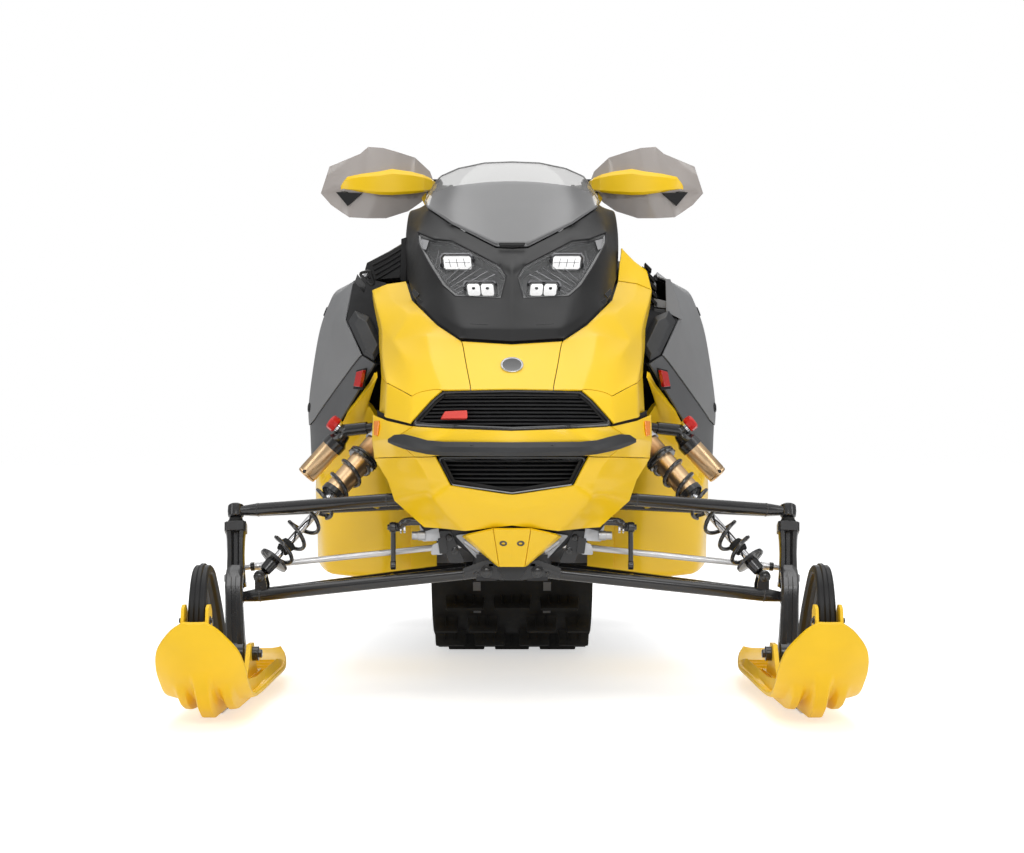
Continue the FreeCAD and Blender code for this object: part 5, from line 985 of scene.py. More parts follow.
for sx, side in ((1, "left"), (-1, "right")):
    shell("handguard_shield_" + side, V * np.array([sx, 1, 1]), F, M["guard"], body="steering", t=3.0, gap=0, rim=1.0, inside=(sx * 250, 0, 1090), replaces=("handguards",) if sx > 0 else ())
    b = Build()
    rows = [  # x, front y, z top, z low, depth
        (388.5, -375, 1091, 1080, 9), (385, -377, 1098, 1079.5, 11), (375, -383, 1110.3, 1078.6, 14), (340, -394, 1116, 1073.4, 18), (300, -397, 1121, 1067.5, 22), (270, -395, 1127, 1067, 24), (226, -386, 1122, 1071, 24),
        (199, -372, 1117, 1076, 22), (182, -352, 1112, 1082, 20), (174, -328, 1108, 1086, 18), (172, -306, 1106, 1086, 18)]
    secs = []
    for i, (x, y, z1, z0, d) in enumerate(rows):
        q, r_ = rows[max(0, i - 1)], rows[min(len(rows) - 1, i + 1)]
        tx, ty = r_[0] - q[0], r_[1] - q[1]
        l_ = math.hypot(tx, ty); nx, ny = -ty / l_, tx / l_       # towards the rear
        if ny < 0: nx, ny = -nx, -ny
        h = z1 - z0
        loop = [(x, y, z0 + 0.10 * h), (x, y, z1 - 0.20 * h), (x + nx * 0.28 * d, y + ny * 0.28 * d, z1), (x + nx * d, y + ny * d, z1 - 0.05 * h), (x + nx * d, y + ny * d, z0 + 0.05 * h), (x + nx * 0.25 * d, y + ny * 0.25 * d, z0)]
        secs.append([(sx * a, b_, c) for a, b_, c in loop])
    b.loft(secs)
    # tail that drops behind the shield to the clamp
    b.loft([[(sx * x, y, z) for x, y, z in ((196, -330, 1086), (210, -334, 1086), (210, -322, 1086), (196, -318, 1086))], [(sx * x, y, z) for x, y, z in ((196, -330, 1062), (206, -334, 1064), (206, -322, 1064), (196, -318, 1062))],
            [(sx * x, y, z) for x, y, z in ((190, -318, 1046), (197, -320, 1048), (197, -312, 1048), (190, -308, 1046))]])
    b.make("handguard_bar_" + side, "yellow", body="steering", bevel=1.2, angle=16, segments=2, sharp=18)
    b = Build()
    P = [(398, -389, 1074), (338, -393, 1071), (372, -389, 1043)]
    b.prism([(sx * x, y, z) for x, y, z in (P if sx < 0 else P[::-1])], (0, 10, 0))
    b.tube(rounded([(sx * 374, -384, 1068), (sx * 398, -352, 1078), (sx * 420, -308, 1086), (sx * 424, -276, 1091), (sx * 404, -262, 1092)], 16, 4), 7.5, segs=12)
    b.lathe((sx * 401, -262, 1092), (sx, 0, 0), [(-1, 15), (14, 15), (18, 12), (19, 5)], segs=20)
    b.box(*sorted((sx * 162, sx * 184)), -318, -276, 1079, 1113)
    for z in (1089, 1105):
        b.bolt((sx * 173, -318, z), (0, -1, 0), 4, 4)
    b.make("handguard_frame_" + side, "satin", body="steering", bevel=1.2)

# ------------------------------------------------------------------ skis, loops, runners
SKI_X, BOLT_Y, BOLT_Z = 542.0, -985.0, 92.0
SKI_ROWS = [  # y, half width, underside z at the centre, edge lift
    (-1496, 20, 192, 2), (-1490, 40, 178, 4), (-1478, 58, 156, 6), (-1456, 72, 130, 9), (-1420, 78, 96, 12), (-1380, 78, 68, 12), (-1330, 78, 46, 10), (-1270, 77, 35, 8),
    (-1200, 75, 31, 7), (-1100, 74, 30, 6), (-930, 73, 30, 6), (-760, 72, 30, 6), (-640, 62, 32, 6), (-560, 50, 40, 6), (-520, 38, 50, 5)]
KEEL_Z = [(-1424, 98), (-1392, 60), (-1356, 26), (-1322, 11), (-1300, 8), (-680, 8), (-600, 32), (-580, 38)]
SIDE_Z = [(-1400, 82), (-1366, 50), (-1330, 31), (-1290, 21), (-1250, 18), (-720, 18), (-660, 33)]
RIB_Z = [(-1446, 150), (-1440, 140), (-1380, 104), (-1300, 72), (-1100, 57), (-760, 57), (-680, 47), (-655, 40)]
def table_at(T, y, col=1):
    ys = [r[0] for r in T]
    return float(np.interp(y, ys, [r[col] for r in T]))
def spline_rows(rows, n):
    R = np.array(rows, float)
    d = [0.0]
    for a, b_ in zip(R, R[1:]):
        d.append(d[-1] + math.sqrt(math.hypot(b_[0] - a[0], b_[2] - a[2])))
    d = np.array(d)
    T = np.zeros_like(R)
    for i in range(len(R)):
        a, c = max(0, i - 1), min(len(R) - 1, i + 1)
        T[i] = (R[c] - R[a]) / (d[c] - d[a])
    out = []
    for q in np.linspace(0, d[-1], n):
        i = min(len(R) - 2, int(np.searchsorted(d, q, side="right")) - 1)
        h = d[i + 1] - d[i]; t = (q - d[i]) / h
        out.append((2 * t ** 3 - 3 * t * t + 1) * R[i] + (t ** 3 - 2 * t * t + t) * h * T[i] + (3 * t * t - 2 * t ** 3) * R[i + 1] + (t ** 3 - t * t) * h * T[i + 1])
    return np.array(out)
rows = spline_rows(SKI_ROWS, 84)
half_u = [0.0, 0.07, 0.135, 0.17, 0.205, 0.24, 0.275, 0.32, 0.36, 0.395, 0.43, 0.47, 0.51, 0.56, 0.60, 0.64, 0.68, 0.71, 0.77, 0.83, 0.90, 0.96, 1.0]
U = [-u for u in half_u[:0:-1]] + half_u
def plateau(x, c, hw, soft):
    return max(0.0, min(1.0, (hw + soft - abs(x - c)) / soft))
def smooth01(t): return t * t * (3 - 2 * t)
def ski_surface():
    top, bot = [], []
    n = len(rows)
    for i, (y, w, z, lift) in enumerate(rows):
        a, c = rows[max(0, i - 1)], rows[min(n - 1, i + 1)]
        ty, tz = c[0] - a[0], c[2] - a[2]
        l = math.hypot(ty, tz); ty, tz = ty / l, tz / l
        ny, nz = -tz, ty                       # towards the deck side
        kd = max(0.0, z - table_at(KEEL_Z, y)) if -1424 < y < -590 else 0.0
        sd = max(0.0, z - table_at(SIDE_Z, y)) if -1400 < y < -670 else 0.0
        rb = max(0.0, table_at(RIB_Z, y) - (z + 9)) if -1446 < y < -655 else 0.0
        tr, br = [], []
        for u in U:
            x = u * w
            cup = lift * abs(u) ** 3
            k = kd * smooth01(plateau(x, 0, 10.5, 10.0)) + sd * max(smooth01(plateau(x, 40, 6, 9)), smooth01(plateau(x, -40, 6, 9)))
            r_ = rb * max(plateau(x, 56, 2.6, 3.0), plateau(x, -56, 2.6, 3.0)) if w > 66 else 0.0
            hb = cup - k * max(0.45, nz)
            ht = cup + 9.0 + r_ * max(0.5, nz) - (3.0 if abs(u) > 0.97 else 0.0)
            br.append((x, y + ny * hb, z + nz * hb)); tr.append((x, y + ny * ht, z + nz * ht))
        top.append(tr); bot.append(br)
    V = [p for r in bot for p in r] + [p for r in top for p in r]
    m, k = len(U), len(rows) * len(U)
    F = []
    for i in range(len(rows) - 1):
        for j in range(m - 1):
            a = i * m + j
            F.append((a, a + m, a + m + 1, a + 1))
            F.append((a + k, a + 1 + k, a + m + 1 + k, a + m + k))
        for j in (0, m - 1):
            a = i * m + j
            q = (a, a + k, a + m + k, a + m)
            F.append(q if j == 0 else q[::-1])
    for i in (0, len(rows) - 1):
        for j in range(m - 1):
            a = i * m + j
            q = (a, a + 1, a + 1 + k, a + k)
            F.append(q if i == 0 else q[::-1])
    return V, F
SV, SF = ski_surface()
def rib_plate(b, yz, x0, x1, m=0):
    b.prism([(x0, y, z) for y, z in yz], (x1 - x0, 0, 0), m)
for sx, side in ((1, "left"), (-1, "right")):
    b = Build()
    b.add([(SKI_X + x, y, z) for x, y, z in SV], SF)
    for dx in (-35, 26):          # saddle walls
        rib_plate(b, rounded([(-1082, 38), (-888, 38), (-930, 70), (-962, 112), (-1008, 112), (-1044, 70)], 9, 4, closed=True), SKI_X + dx, SKI_X + dx + 9)
        rib_plate(b, [(-1128, 38), (-842, 38), (-870, 50), (-1100, 50)], SKI_X + dx + (-3 if dx < 0 else 3), SKI_X + dx + 9 + (-3 if dx < 0 else 3))
    for y in (-1052, -1030, -942, -920):
        b.box(SKI_X - 36, SKI_X + 36, y - 2.5, y + 2.5, 36, 52)
    for s_ in (-1, 1):            # ears that hold the front of the loop
        x0 = SKI_X + s_ * 18.2
        rib_plate(b, rounded([(-1489, 178), (-1479, 218), (-1468, 223), (-1452, 223), (-1440, 212), (-1424, 120), (-1436, 118), (-1472, 150)], 5, 3, closed=True), x0, x0 + s_ * 5.5)
        rib_plate(b, [(-1170, 36), (-1160, 76), (-1110, 76), (-1090, 36)], x0, x0 + s_ * 6)
    for y in (-860, -800, -740, -690):
        b.box(SKI_X - 54, SKI_X + 54, y - 2, y + 2, 36, 50)
    b.f = b.f if sx > 0 else [tuple(reversed(f)) for f in b.f]
    b.v = [(sx * x, y, z) for x, y, z in b.v]
    b.make("ski_body_" + side, "yellow_ski", body="ski_" + side, bevel=1.4, angle=40, segments=2, sharp=44, replaces=("ski_" + side,))
    b = Build()
    b.lathe((sx * (SKI_X - 47), BOLT_Y, BOLT_Z), (sx, 0, 0), [(0, 8), (0.5, 14), (12, 14), (12.5, 17), (15, 17)], segs=18)
    b.lathe((sx * (SKI_X + 47), BOLT_Y, BOLT_Z), (-sx, 0, 0), [(0, 8), (0.5, 14), (12, 14), (12.5, 17), (15, 17)], segs=18)
    b.bolt((sx * (SKI_X - 46), BOLT_Y, BOLT_Z), (-sx, 0, 0), 9, 7); b.bolt((sx * (SKI_X + 46), BOLT_Y, BOLT_Z), (sx, 0, 0), 9, 7)
    for y, z in ((-1466, 196), (-1130, 58)):
        for s_ in (-1, 1):
            b.bolt((sx * SKI_X + s_ * 24, y, z), (s_, 0, 0), 5, 4)
    for y in (-1140, -900, -780):
        b.bolt((sx * SKI_X, y, 40), (0, 0, 1), 6, 6)
    b.make("ski_bolts_" + side, "steel_black", body="ski_" + side, bevel=0.4)
    # loop: ridged moulded handle
    path = [(-1456, 168), (-1452, 206), (-1444, 232), (-1431, 256), (-1413, 272), (-1393, 278), (-1370, 277), (-1342, 266), (-1300, 232), (-1250, 185), (-1205, 137), (-1160, 87), (-1134, 60), (-1122, 49)]
    P = spline_rows([(y, 0, z) for y, z in path], 46)
    secs = []
    for i in range(len(P)):
        a, c = P[max(0, i - 1)], P[min(len(P) - 1, i + 1)]
        ty, tz = c[0] - a[0], c[2] - a[2]
        l = math.hypot(ty, tz); ny, nz = tz / l, -ty / l        # inwards of the loop
        t = i / (len(P) - 1)
        hw = 16.5 - 3.0 * math.sin(math.pi * min(1, t * 1.6)) * 0.6
        prof = [(-1, -5), (-1, 4), (-0.80, 7.0), (-0.40, 7.6), (0, 12.0), (0.40, 7.6), (0.80, 7.0), (1, 4), (1, -5), (0.78, -8.5), (0.34, -8.5), (0.2, -11.5), (-0.2, -11.5), (-0.34, -8.5), (-0.78, -8.5)]
        secs.append([(sx * (SKI_X + u * hw), P[i][0] + ny * v, P[i][2] + nz * v) for u, v in prof])
    b = Build()
    b.loft(secs)
    b.make("ski_loop_body_" + side, "satin", body="ski_" + side, bevel=1.0, angle=24, sharp=24, replaces=("ski_loop_" + side,))
    b = Build()
    rib_plate(b, rounded([(-1192, 8.5), (-1184, 1.2), (-1176, 0), (-744, 0), (-736, 1.2), (-726, 8.5)], 3, 3), sx * SKI_X - 5, sx * SKI_X + 5)
    rib_plate(b, [(-1120, 3), (-1116, 0.6), (-964, 0.6), (-960, 3)], sx * SKI_X - 5.8, sx * SKI_X + 5.8, 1)
    b.make("ski_runner_bar_" + side, ["steel", "chrome_dark"], body="ski_" + side, bevel=0.5, replaces=("ski_runner_" + side,))

# ------------------------------------------------------------------ spindles, arms, shocks, tie rods, sway bar
KL, KT = Vector((546.0, -939.0, 198.0)), Vector((556.0, -870.0, 367.0))
NK = (KT - KL).length
KD = (KT - KL).normalized()
S_LOW, S_TOP = Vector((500.0, -922.0, 240.0)), Vector((241.5, -766.0, 548.0))
NS = (S_LOW - S_TOP).length
SD = (S_LOW - S_TOP).normalized()
TIE = Vector((556.0, -848.0, 251.0))
ST_A, ST_B = Vector((0.0, -895.0, 346.0)), Vector((0.0, -300.0, 1080.0))
CD = (ST_B - ST_A).normalized()
ARM_D = Vector((0, CD.z, -CD.y))
PIT = ST_A + ARM_D * 62.0
def fl(v, sx): return (sx * v[0], v[1], v[2])
def king(d): return KL + KD * d
def flipped(b, sx):
    if sx < 0:
        b.v = [(-x, y, z) for x, y, z in b.v]
        b.f = [tuple(reversed(f)) for f in b.f]
    return b
kx = Vector((1, 0, 0)); kx = (kx - KD * kx.dot(KD)).normalized(); ky = KD.cross(kx)       # kx outwards, ky to the rear
for sx, side in ((1, "left"), (-1, "right")):
    b = Build()
    H = [(-19, -7), (-16.5, -12.5), (-9, -13), (-6, -9.5), (-4.2, -3.5), (4.2, -3.5), (6, -9.5), (9, -13), (16.5, -12.5), (19, -7), (19, 7), (15, 13), (-15, 13), (-19, 7)]
    secs = []
    for d, kxs, kys, gro in ((25, 1.0, 1.05, 0.3), (36, 1.0, 1.1, 1.0), (58, 0.93, 1.0, 1.0), (90, 0.88, 0.95, 1.0), (118, 0.92, 1.0, 1.0), (NK - 48, 1.0, 1.05, 1.0), (NK - 44, 1.02, 1.05, 0.2)):
        c = king(d)
        secs.append([tuple(c + kx * (x * kxs) + ky * (y * kys if not (abs(x) < 7 and y < 0) else -12 * (1 - gro) + y * kys * gro)) for x, y in H])
    b.loft(secs)
    def blk(d0, d1, hx, hy, cham=4, oy=0):
        base = [(-hx + cham, -hy), (hx - cham, -hy), (hx, -hy + cham), (hx, hy - cham), (hx - cham, hy), (-hx + cham, hy), (-hx, hy - cham), (-hx, -hy + cham)]
        b.loft([[tuple(king(d) + kx * x + ky * (y + oy)) for x, y in base] for d in (d0, d1)])
    blk(NK - 46, NK - 27, 21.5, 16.5, 5)
    blk(25, 34, 20, 16, 5)
    # leg in front of the lower ball joint, down to the ski
    L = [(549, -918, 262, 12, 9), (549, -924, 252, 17, 14), (547, -952, 241, 17, 13), (545, -977, 224, 17, 10), (543.5, -982, 205, 17, 10), (543, -983, 185, 17, 11), (541.5, -984, 140, 18, 14), (540, -985, 104, 19, 16), (540, -985, 92, 19, 16)]
    secs = []
    for i, (x, y, z, hx, hy) in enumerate(L):
        c = 4
        secs.append([(x - hx + c, y - hy, z), (x - 5, y - hy, z), (x - 4, y - hy + (3.5 if 2 < i < 8 else 0), z), (x + 4, y - hy + (3.5 if 2 < i < 8 else 0), z), (x + 5, y - hy, z), (x + hx - c, y - hy, z), (x + hx, y - hy + c, z), (x + hx, y + hy - c, z), (x + hx - c, y + hy, z), (x - hx + c, y + hy, z), (x - hx, y + hy - c, z), (x - hx, y - hy + c, z)])
    b.loft(secs)
    b.lathe((520.5, BOLT_Y, BOLT_Z), (1, 0, 0), [(0, 12), (0.5, 22), (3, 25), (40, 25), (42.5, 22), (43, 12)], segs=28)
    A = [[(551, -930, 227), (551, -930, 245), (566, -912, 245), (566, -912, 227)], [(560, -888, 226), (560, -888, 240), (577, -888, 240), (577, -888, 226)], [(547, -852, 227), (547, -852, 238), (566, -852, 238), (566, -852, 227)]]
    b.loft(A)
    b.lathe(tuple(TIE + KD * -25), tuple(KD), [(0, 8), (0.5, 11.5), (14.5, 12), (15, 9)], segs=22)
    flipped(b, sx).make("spindle_body_" + side, "steel_black", body="spindle_" + side, bevel=1.2, angle=30, sharp=34, replaces=("spindle_" + side,))
    b = Build()
    b.lathe(tuple(king(14.8)), tuple(KD), [(0, 10), (1, 15), (4, 13), (6, 16.5), (9, 14.5), (11.5, 17)], m=1, segs=22)      # boots
    b.lathe(tuple(king(NK - 27)), tuple(KD), [(0, 17), (3, 14.5), (5.5, 16), (8, 12.5), (10, 14), (12, 9)], m=1, segs=22)
    b.lathe(tuple(TIE + KD * -10), tuple(KD), [(0, 5), (20, 5), (20.5, 4)], m=2, segs=14)
    b.bolt(tuple(TIE + KD * 7.5), tuple(KD), 5.5, 6, m=0)
    flipped(b, sx).make("spindle_joints_" + side, ["steel_black", "soft_rubber", "steel"], body="spindle_" + side, bevel=0.4)

    # tie rod: sleeve, jam nuts, rod ends
    ti = Vector((17.0, PIT.y, PIT.z)); a = TIE
    d = (ti - a).normalized(); L_ = (ti - a).length
    b = Build()
    b.lathe(tuple(a + d * 7), tuple(d), [(0, 7), (6, 6), (20, 5.8), (20.5, 8.8), (28, 8.8), (28.5, 7.8), (46, 8.6), (50, 6.2), (L_ - 75, 6.2), (L_ - 71, 8.6), (L_ - 54, 7.8), (L_ - 53.5, 8.8), (L_ - 46, 8.8), (L_ - 45.5, 5.8), (L_ - 31, 6)], segs=20,
            ms=[0, 0, 1, 1, 1, 0, 0, 0, 0, 0, 1, 1, 1, 0])
    b.lathe(tuple(a + KD * -6.2), tuple(KD), [(0, 5.6), (0.2, 9), (2, 11), (10.4, 11), (12.2, 9), (12.4, 5.6)], m=1, segs=22)
    flipped(b, sx).make("tie_rod_body_" + side, ["alu_bright", "steel_black"], body="tie_rod_" + side, bevel=0.3, replaces=("tie_rod_" + side,))

def wishbone(ball, top, pa, pb, cross, name, node):
    """Forged outer eye, two tubes with swaged ends, cross tube, inner bushings with washers."""
    b = Build()
    ax = (KT - KL).normalized()
    b.lathe(tuple(Vector(ball) - ax * 14), tuple(ax), [(0, 7.6), (0.4, 13), (3, 15.8), (14, 16.6), (25, 15.8), (27.6, 13), (28, 7.6)], segs=26)
    ends = []
    for p, e in ((pa, 19), (pb, 28)):
        B_, P_ = Vector(ball), Vector(p)
        d = (P_ - B_).normalized(); n = (P_ - B_).length
        pts, R = [], []
        for t, r in ((12, 9.5), (30, 11.2), (46, 12.6), (n - 60, 12.6), (n - 34, 12.6), (n - 14, 12.2)):
            pts.append(tuple(B_ + d * t)); R.append(r)
        b.tube(pts, R, segs=18)
        for t in (48, n - 44):      # weld beads
            b.lathe(tuple(B_ + d * (t - 2)), tuple(d), [(0, 12.4), (1, 13.4), (3, 13.4), (4, 12.4)], segs=18)
        b.lathe((p[0], p[1] - 17, p[2]), (0, 1, 0), [(0, 6.2), (0, 16), (1, 17), (33, 17), (34, 16), (34, 6.2)], segs=26)
        b.lathe((p[0], p[1] - 18.4, p[2]), (0, 1, 0), [(0, 6.2), (0, 13.5), (1.4, 13.5)], m=1, segs=20)
        b.lathe((p[0], p[1] + 17.0, p[2]), (0, 1, 0), [(0, 13.5), (1.4, 13.5), (1.4, 6.2)], m=1, segs=20)
    p, q = lerp(ball, pa, cross), lerp(ball, pb, cross)
    b.tube([p, q], 9.2, segs=16)
    p, q = lerp(ball, pa, 0.12), lerp(ball, pb, 0.12)
    r_, s_ = lerp(ball, pa, 0.24), lerp(ball, pb, 0.24)
    b.add([(x, y, z + dz) for x, y, z in (p, r_, s_, q) for dz in (2.0, -2.0)], [(0, 2, 4, 6), (1, 7, 5, 3), (2, 3, 5, 4), (0, 6, 7, 1), (0, 1, 3, 2), (4, 5, 7, 6)])
    return b
b = wishbone(tuple(KL), tuple(KT), (50, -960, 252), (62, -680, 246), 0.62, "lower", "lower_arms")
x, y, z = S_LOW
b.prism([(x - 17, y - 28, 200), (x + 7, y - 28, 200), (x + 7, y + 26, 200), (x - 17, y + 26, 200)], (0, 0, 13))
for y0 in (y - 26.5, y + 20.5):
    b.prism(rounded([(x - 15, y0, 206), (x + 7.5, y0, 206), (x + 8, y0, z + 2), (x + 3, y0, z + 11), (x - 9, y0, z + 11), (x - 16, y0, 222)], 5, 3, closed=True), (0, 6, 0))
b.prism([(x - 62, y - 10, 216), (x - 14, y - 24, 212), (x - 14, y + 20, 212), (x - 58, y + 8, 216)], (0, 0, 3.4))
b.bolt((x - 0.5, y - 26.5, z), (0, -1, 0), 7, 6); b.bolt((x - 0.5, y + 26.5, z), (0, 1, 0), 7, 6)
b.mirrored().make("lower_arm_bodies", ["steel_black", "steel"], bevel=0.8, sharp=36, replaces=("lower_arms",))
b = wishbone(tuple(KT), tuple(KL), (202, -962, 395), (202, -680, 378), 0.78, "upper", "upper_arms")
b.mirrored().make("upper_arm_bodies", ["steel_black", "steel"], bevel=0.8, sharp=36, replaces=("upper_arms",))

def sh(d): return tuple(S_TOP + SD * d)
b = Build()
RA, RB = Vector((430, -736, 436)), Vector((366, -736, 506))
# slots: 0 bronze, 1 black, 2 chrome, 3 red, 4 rubber
prof = [(6, 10), (10, 17), (30, 23), (42, 24.5), (50, 24.5), (50.5, 26), (58, 26), (58.5, 27.5), (63, 27.5), (63.5, 23)]
ms = [1, 1, 1, 1, 2, 2, 2, 2, 1]
for i in range(12):
    prof += [(66 + i * 2.6, 23.9), (67.3 + i * 2.6, 22.6)]; ms += [0, 0]
prof += [(99, 23), (99.2, 31), (101, 33), (104.5, 33), (106, 30.5), (106.2, 32), (111, 33), (112.8, 31), (113, 23.4)]; ms += [0, 1, 1, 1, 1, 1, 1, 1, 1]
prof += [(150, 23), (196, 23), (196.4, 25), (208, 25), (211, 21), (211.5, 7.5)]; ms += [0, 0, 1, 1, 1, 1]
prof += [(NS - 92, 7.5), (NS - 91, 13), (NS - 84, 16), (NS - 76, 13), (NS - 74, 15), (NS - 66, 12), (NS - 65, 7.5)]; ms += [2, 4, 4, 4, 4, 4, 4]
prof += [(NS - 47, 7.5), (NS - 46.5, 28), (NS - 45, 31.5), (NS - 39, 32), (NS - 38, 24), (NS - 36, 13.5), (NS - 14, 12)]; ms += [2, 1, 1, 1, 1, 1, 1]
b.lathe(tuple(S_TOP), tuple(SD), prof, segs=30, ms=ms)
for p, r, w in ((S_TOP, 15, 20), (S_LOW, 11.8, 17)):
    b.lathe((p[0], p[1] - w, p[2]), (0, 1, 0), [(0, 6.3), (0.2, r - 2), (2, r), (2 * w - 2, r), (2 * w - 0.2, r - 2), (2 * w, 6.3)], m=1, segs=24)
    b.lathe((p[0], p[1] - w - 1.5, p[2]), (0, 1, 0), [(0, 6.2), (0, r - 3), (1.6, r - 3)], m=2, segs=20)
    b.lathe((p[0], p[1] + w, p[2]), (0, 1, 0), [(0, r - 3), (1.6, r - 3), (1.6, 6.2)], m=2, segs=20)
for i in range(10):              # preload ring notches
    t = 2 * math.pi * i / 10
    u = SD.orthogonal().normalized(); w = SD.cross(u)
    c = S_TOP + SD * 108.6 + (u * math.cos(t) + w * math.sin(t)) * 32.2
    b.sphere(tuple(c), 2.6, m=1, segs=8, rings=4)
rd = (RB - RA).normalized(); rl = (RB - RA).length
b.lathe(tuple(RA), tuple(rd), [(0, 8), (0.3, 16), (1.6, 19.5), (5, 21), (7, 20), (9, 21), (rl - 16, 21), (rl - 15.5, 23.5), (rl + 3, 23.5), (rl + 7, 20), (rl + 12, 17), (rl + 20, 15.5), (rl + 26, 13.5)], segs=30, ms=[0, 0, 0, 0, 0, 0, 1, 1, 1, 1, 1, 1])
neck = rounded([tuple(RB + rd * 18), (346, -742, 531), (300, -755, 536), (262, -764, 541)], 14)
b.tube(neck, [15] + [13] * (len(neck) - 3) + [10, 10], m=1, segs=16)
kd_ = (Vector((370.6, -742, 545.4)) - Vector((350, -740, 529))).normalized()
b.lathe((350, -740, 529), tuple(kd_), [(0, 12.5), (9, 13), (9.3, 11), (12, 11), (12.2, 14), (17, 14), (17.3, 10.5)], segs=24, ms=[1, 1, 1, 1, 2, 2])
for i in range(1):
    R = []
    for a, r in ((17.3, 11), (18.5, 15), (23, 16), (34, 15.2), (37, 11.5), (38, 4)):
        R.append((a, r))
    b.lathe((350, -740, 529), tuple(kd_), R, m=3, segs=10)
b.bolt(tuple(RA + Vector((0, -19.5, 10))), (-0.4, -0.8, -0.4), 2.6, 2, m=1)
b.mirrored().make("shock_bodies", ["bronze", "steel_black", "chrome", "red", "soft_rubber"], bevel=0.3, sharp=40, replaces=("front_shocks",))
# spring with closer turns at the lower end
b = Build()
u = SD.orthogonal().normalized(); w = SD.cross(u)
d0, d1, turns = 119.0, NS - 51.0, 6.5
pts, N_ = [], 26 * 7
for i in range(N_ + 1):
    t = i / N_
    # fewer mm for each turn at both ends
    g = 0.5 - 0.5 * math.cos(math.pi * t)
    s_ = d0 + (d1 - d0) * (0.42 * g + 0.58 * t) if t < 0.5 else d0 + (d1 - d0) * (0.30 * g + 0.64 * t + 0.06 * (1 - (1 - t) * 2))
    a = 2 * math.pi * turns * t
    pts.append(tuple(S_TOP + SD * s_ + (u * math.cos(a) + w * math.sin(a)) * 27.4))
b.tube(pts, 4.1, segs=10)
b.mirrored().make("spring_coils", "steel_black", bevel=0, replaces=("front_springs",))

# sway bar and links
b = Build()
b.tube(rounded([(-222, -936, 338), (-210, -978, 350), (210, -978, 350), (222, -936, 338)], 18, 5), 8, segs=16)
for sx in (1, -1):
    b.tube([(sx * 235, -938, 266), (sx * 235, -938, 330)], 5, segs=12)
    b.lathe((sx * 229, -937, 337), (sx, 0, 0), [(0, 5), (0.2, 9), (1.5, 10.5), (10.5, 10.5), (11.8, 9), (12, 5)], segs=20)
    b.lathe((sx * 229.5, -939, 262), (sx, 0, 0), [(0, 4), (0.2, 8), (1.5, 9), (9.5, 9), (10.8, 8), (11, 4)], segs=20)
    b.lathe((sx * 210, -936, 337.5), (sx, 0, 0), [(0, 8), (0.3, 12.5), (4.5, 12.5), (4.8, 7), (8, 7), (8.3, 13), (11.5, 13), (11.8, 9), (19, 9)], segs=22, ms=[1, 1, 1, 0, 1, 1, 1, 0])
    b.bolt((sx * 241, -937, 337), (sx, 0, 0), 6, 5)
    b.lathe((sx * 138, -978, 350), (sx, 0, 0), [(-10, 9), (-10, 14), (10, 14), (10, 9)], m=2, segs=20)
b.make("sway_bar_body", ["steel_black", "chrome", "soft_rubber"], bevel=0.4, replaces=("sway_bar",))

# ------------------------------------------------------------------ bulkhead castings seen under the nose
b = Build()
for sx in (1, -1):
    def P(*q, y=-956): return [(sx * x, y, z) for x, z in q]
    b.prism(rounded(P((140, 312), (176, 310), (182, 342), (170, 352), (146, 346)), 4, 3, closed=True), (0, -14, 0), 0)
    b.lathe((sx * 170, -972, 322), (sx, 0, 0), [(0, 9.5), (14, 9.5), (14.5, 8), (26, 8), (26.4, 6)], m=0, segs=18)
    b.prism(rounded(P((136, 284), (160, 284), (156, 304), (140, 310)), 3, 2, closed=True), (0, -12, 0), 0)
    b.prism(rounded(P((126, 288), (142, 286), (146, 316), (130, 320)), 2, 2, closed=True), (0, -17, 0), 1)
    b.prism(rounded(P((92, 268), (122, 268), (152, 331), (120, 331)), 3, 2, closed=True), (0, -12, 0), 1)
    b.prism(rounded(P((44, 278), (66, 272), (112, 322), (84, 326)), 2, 2, closed=True), (0, -9, 0), 0)
    b.tube([(sx * 62, -968, 290), (sx * 92, -966, 312)], 7, 0, segs=14)
    b.prism(rounded(P((20, 270), (60, 270), (78, 300), (40, 310), (16, 300)), 3, 2, closed=True), (0, -6, 0), 1)
    b.bolt((sx * 124, -968, 318), (0, -1, 0), 4.5, 4, m=1); b.bolt((sx * 112, -968, 292), (0, -1, 0), 4.5, 4, m=1)
    for px, py, pz, e in ((50, -960, 252, 19), (62, -680, 246, 28), (202, -962, 395, 19), (202, -680, 378, 28)):
        b.bolt((sx * px, py - e - 9, pz), (0, -1, 0), 8, 7, m=1); b.bolt((sx * px, py + e + 9, pz), (0, 1, 0), 8, 7, m=1)
    b.bolt((sx * 241.5, -797, 548), (0, -1, 0), 7, 6, m=1)
# plate in the middle where both lower arms meet
b.prism([(-96, -986, 258), (-52, -986, 275), (-34, -986, 273), (34, -986, 273), (52, -986, 275), (96, -986, 258), (92, -986, 240), (58, -986, 242), (20, -986, 235), (-20, -986, 235), (-58, -986, 242), (-92, -986, 240)], (0, 6, 0), 1)
for sx in (1, -1):         # ridges that carry the line of each arm to the middle
    b.prism([(sx * 94, -988, 250), (sx * 50, -988, 262), (sx * 48, -988, 257), (sx * 94, -988, 245)], (0, 3, 0), 1)
b.prism([(-40, -993, 270), (-15, -993, 273), (15, -993, 273), (40, -993, 270), (14, -993, 236), (-14, -993, 236)], (0, 7, 0), 3)
b.box(-46, 46, -986, -955, 262, 268, 1)
for x in (-70, 70):
    b.bolt((x, -986, 249), (0, -1, 0), 3.2, 3, m=1)
b.make("bulkhead_castings", ["cast_alu", "steel_black", "steel", "dark_grey"], bevel=0.9, sharp=36)

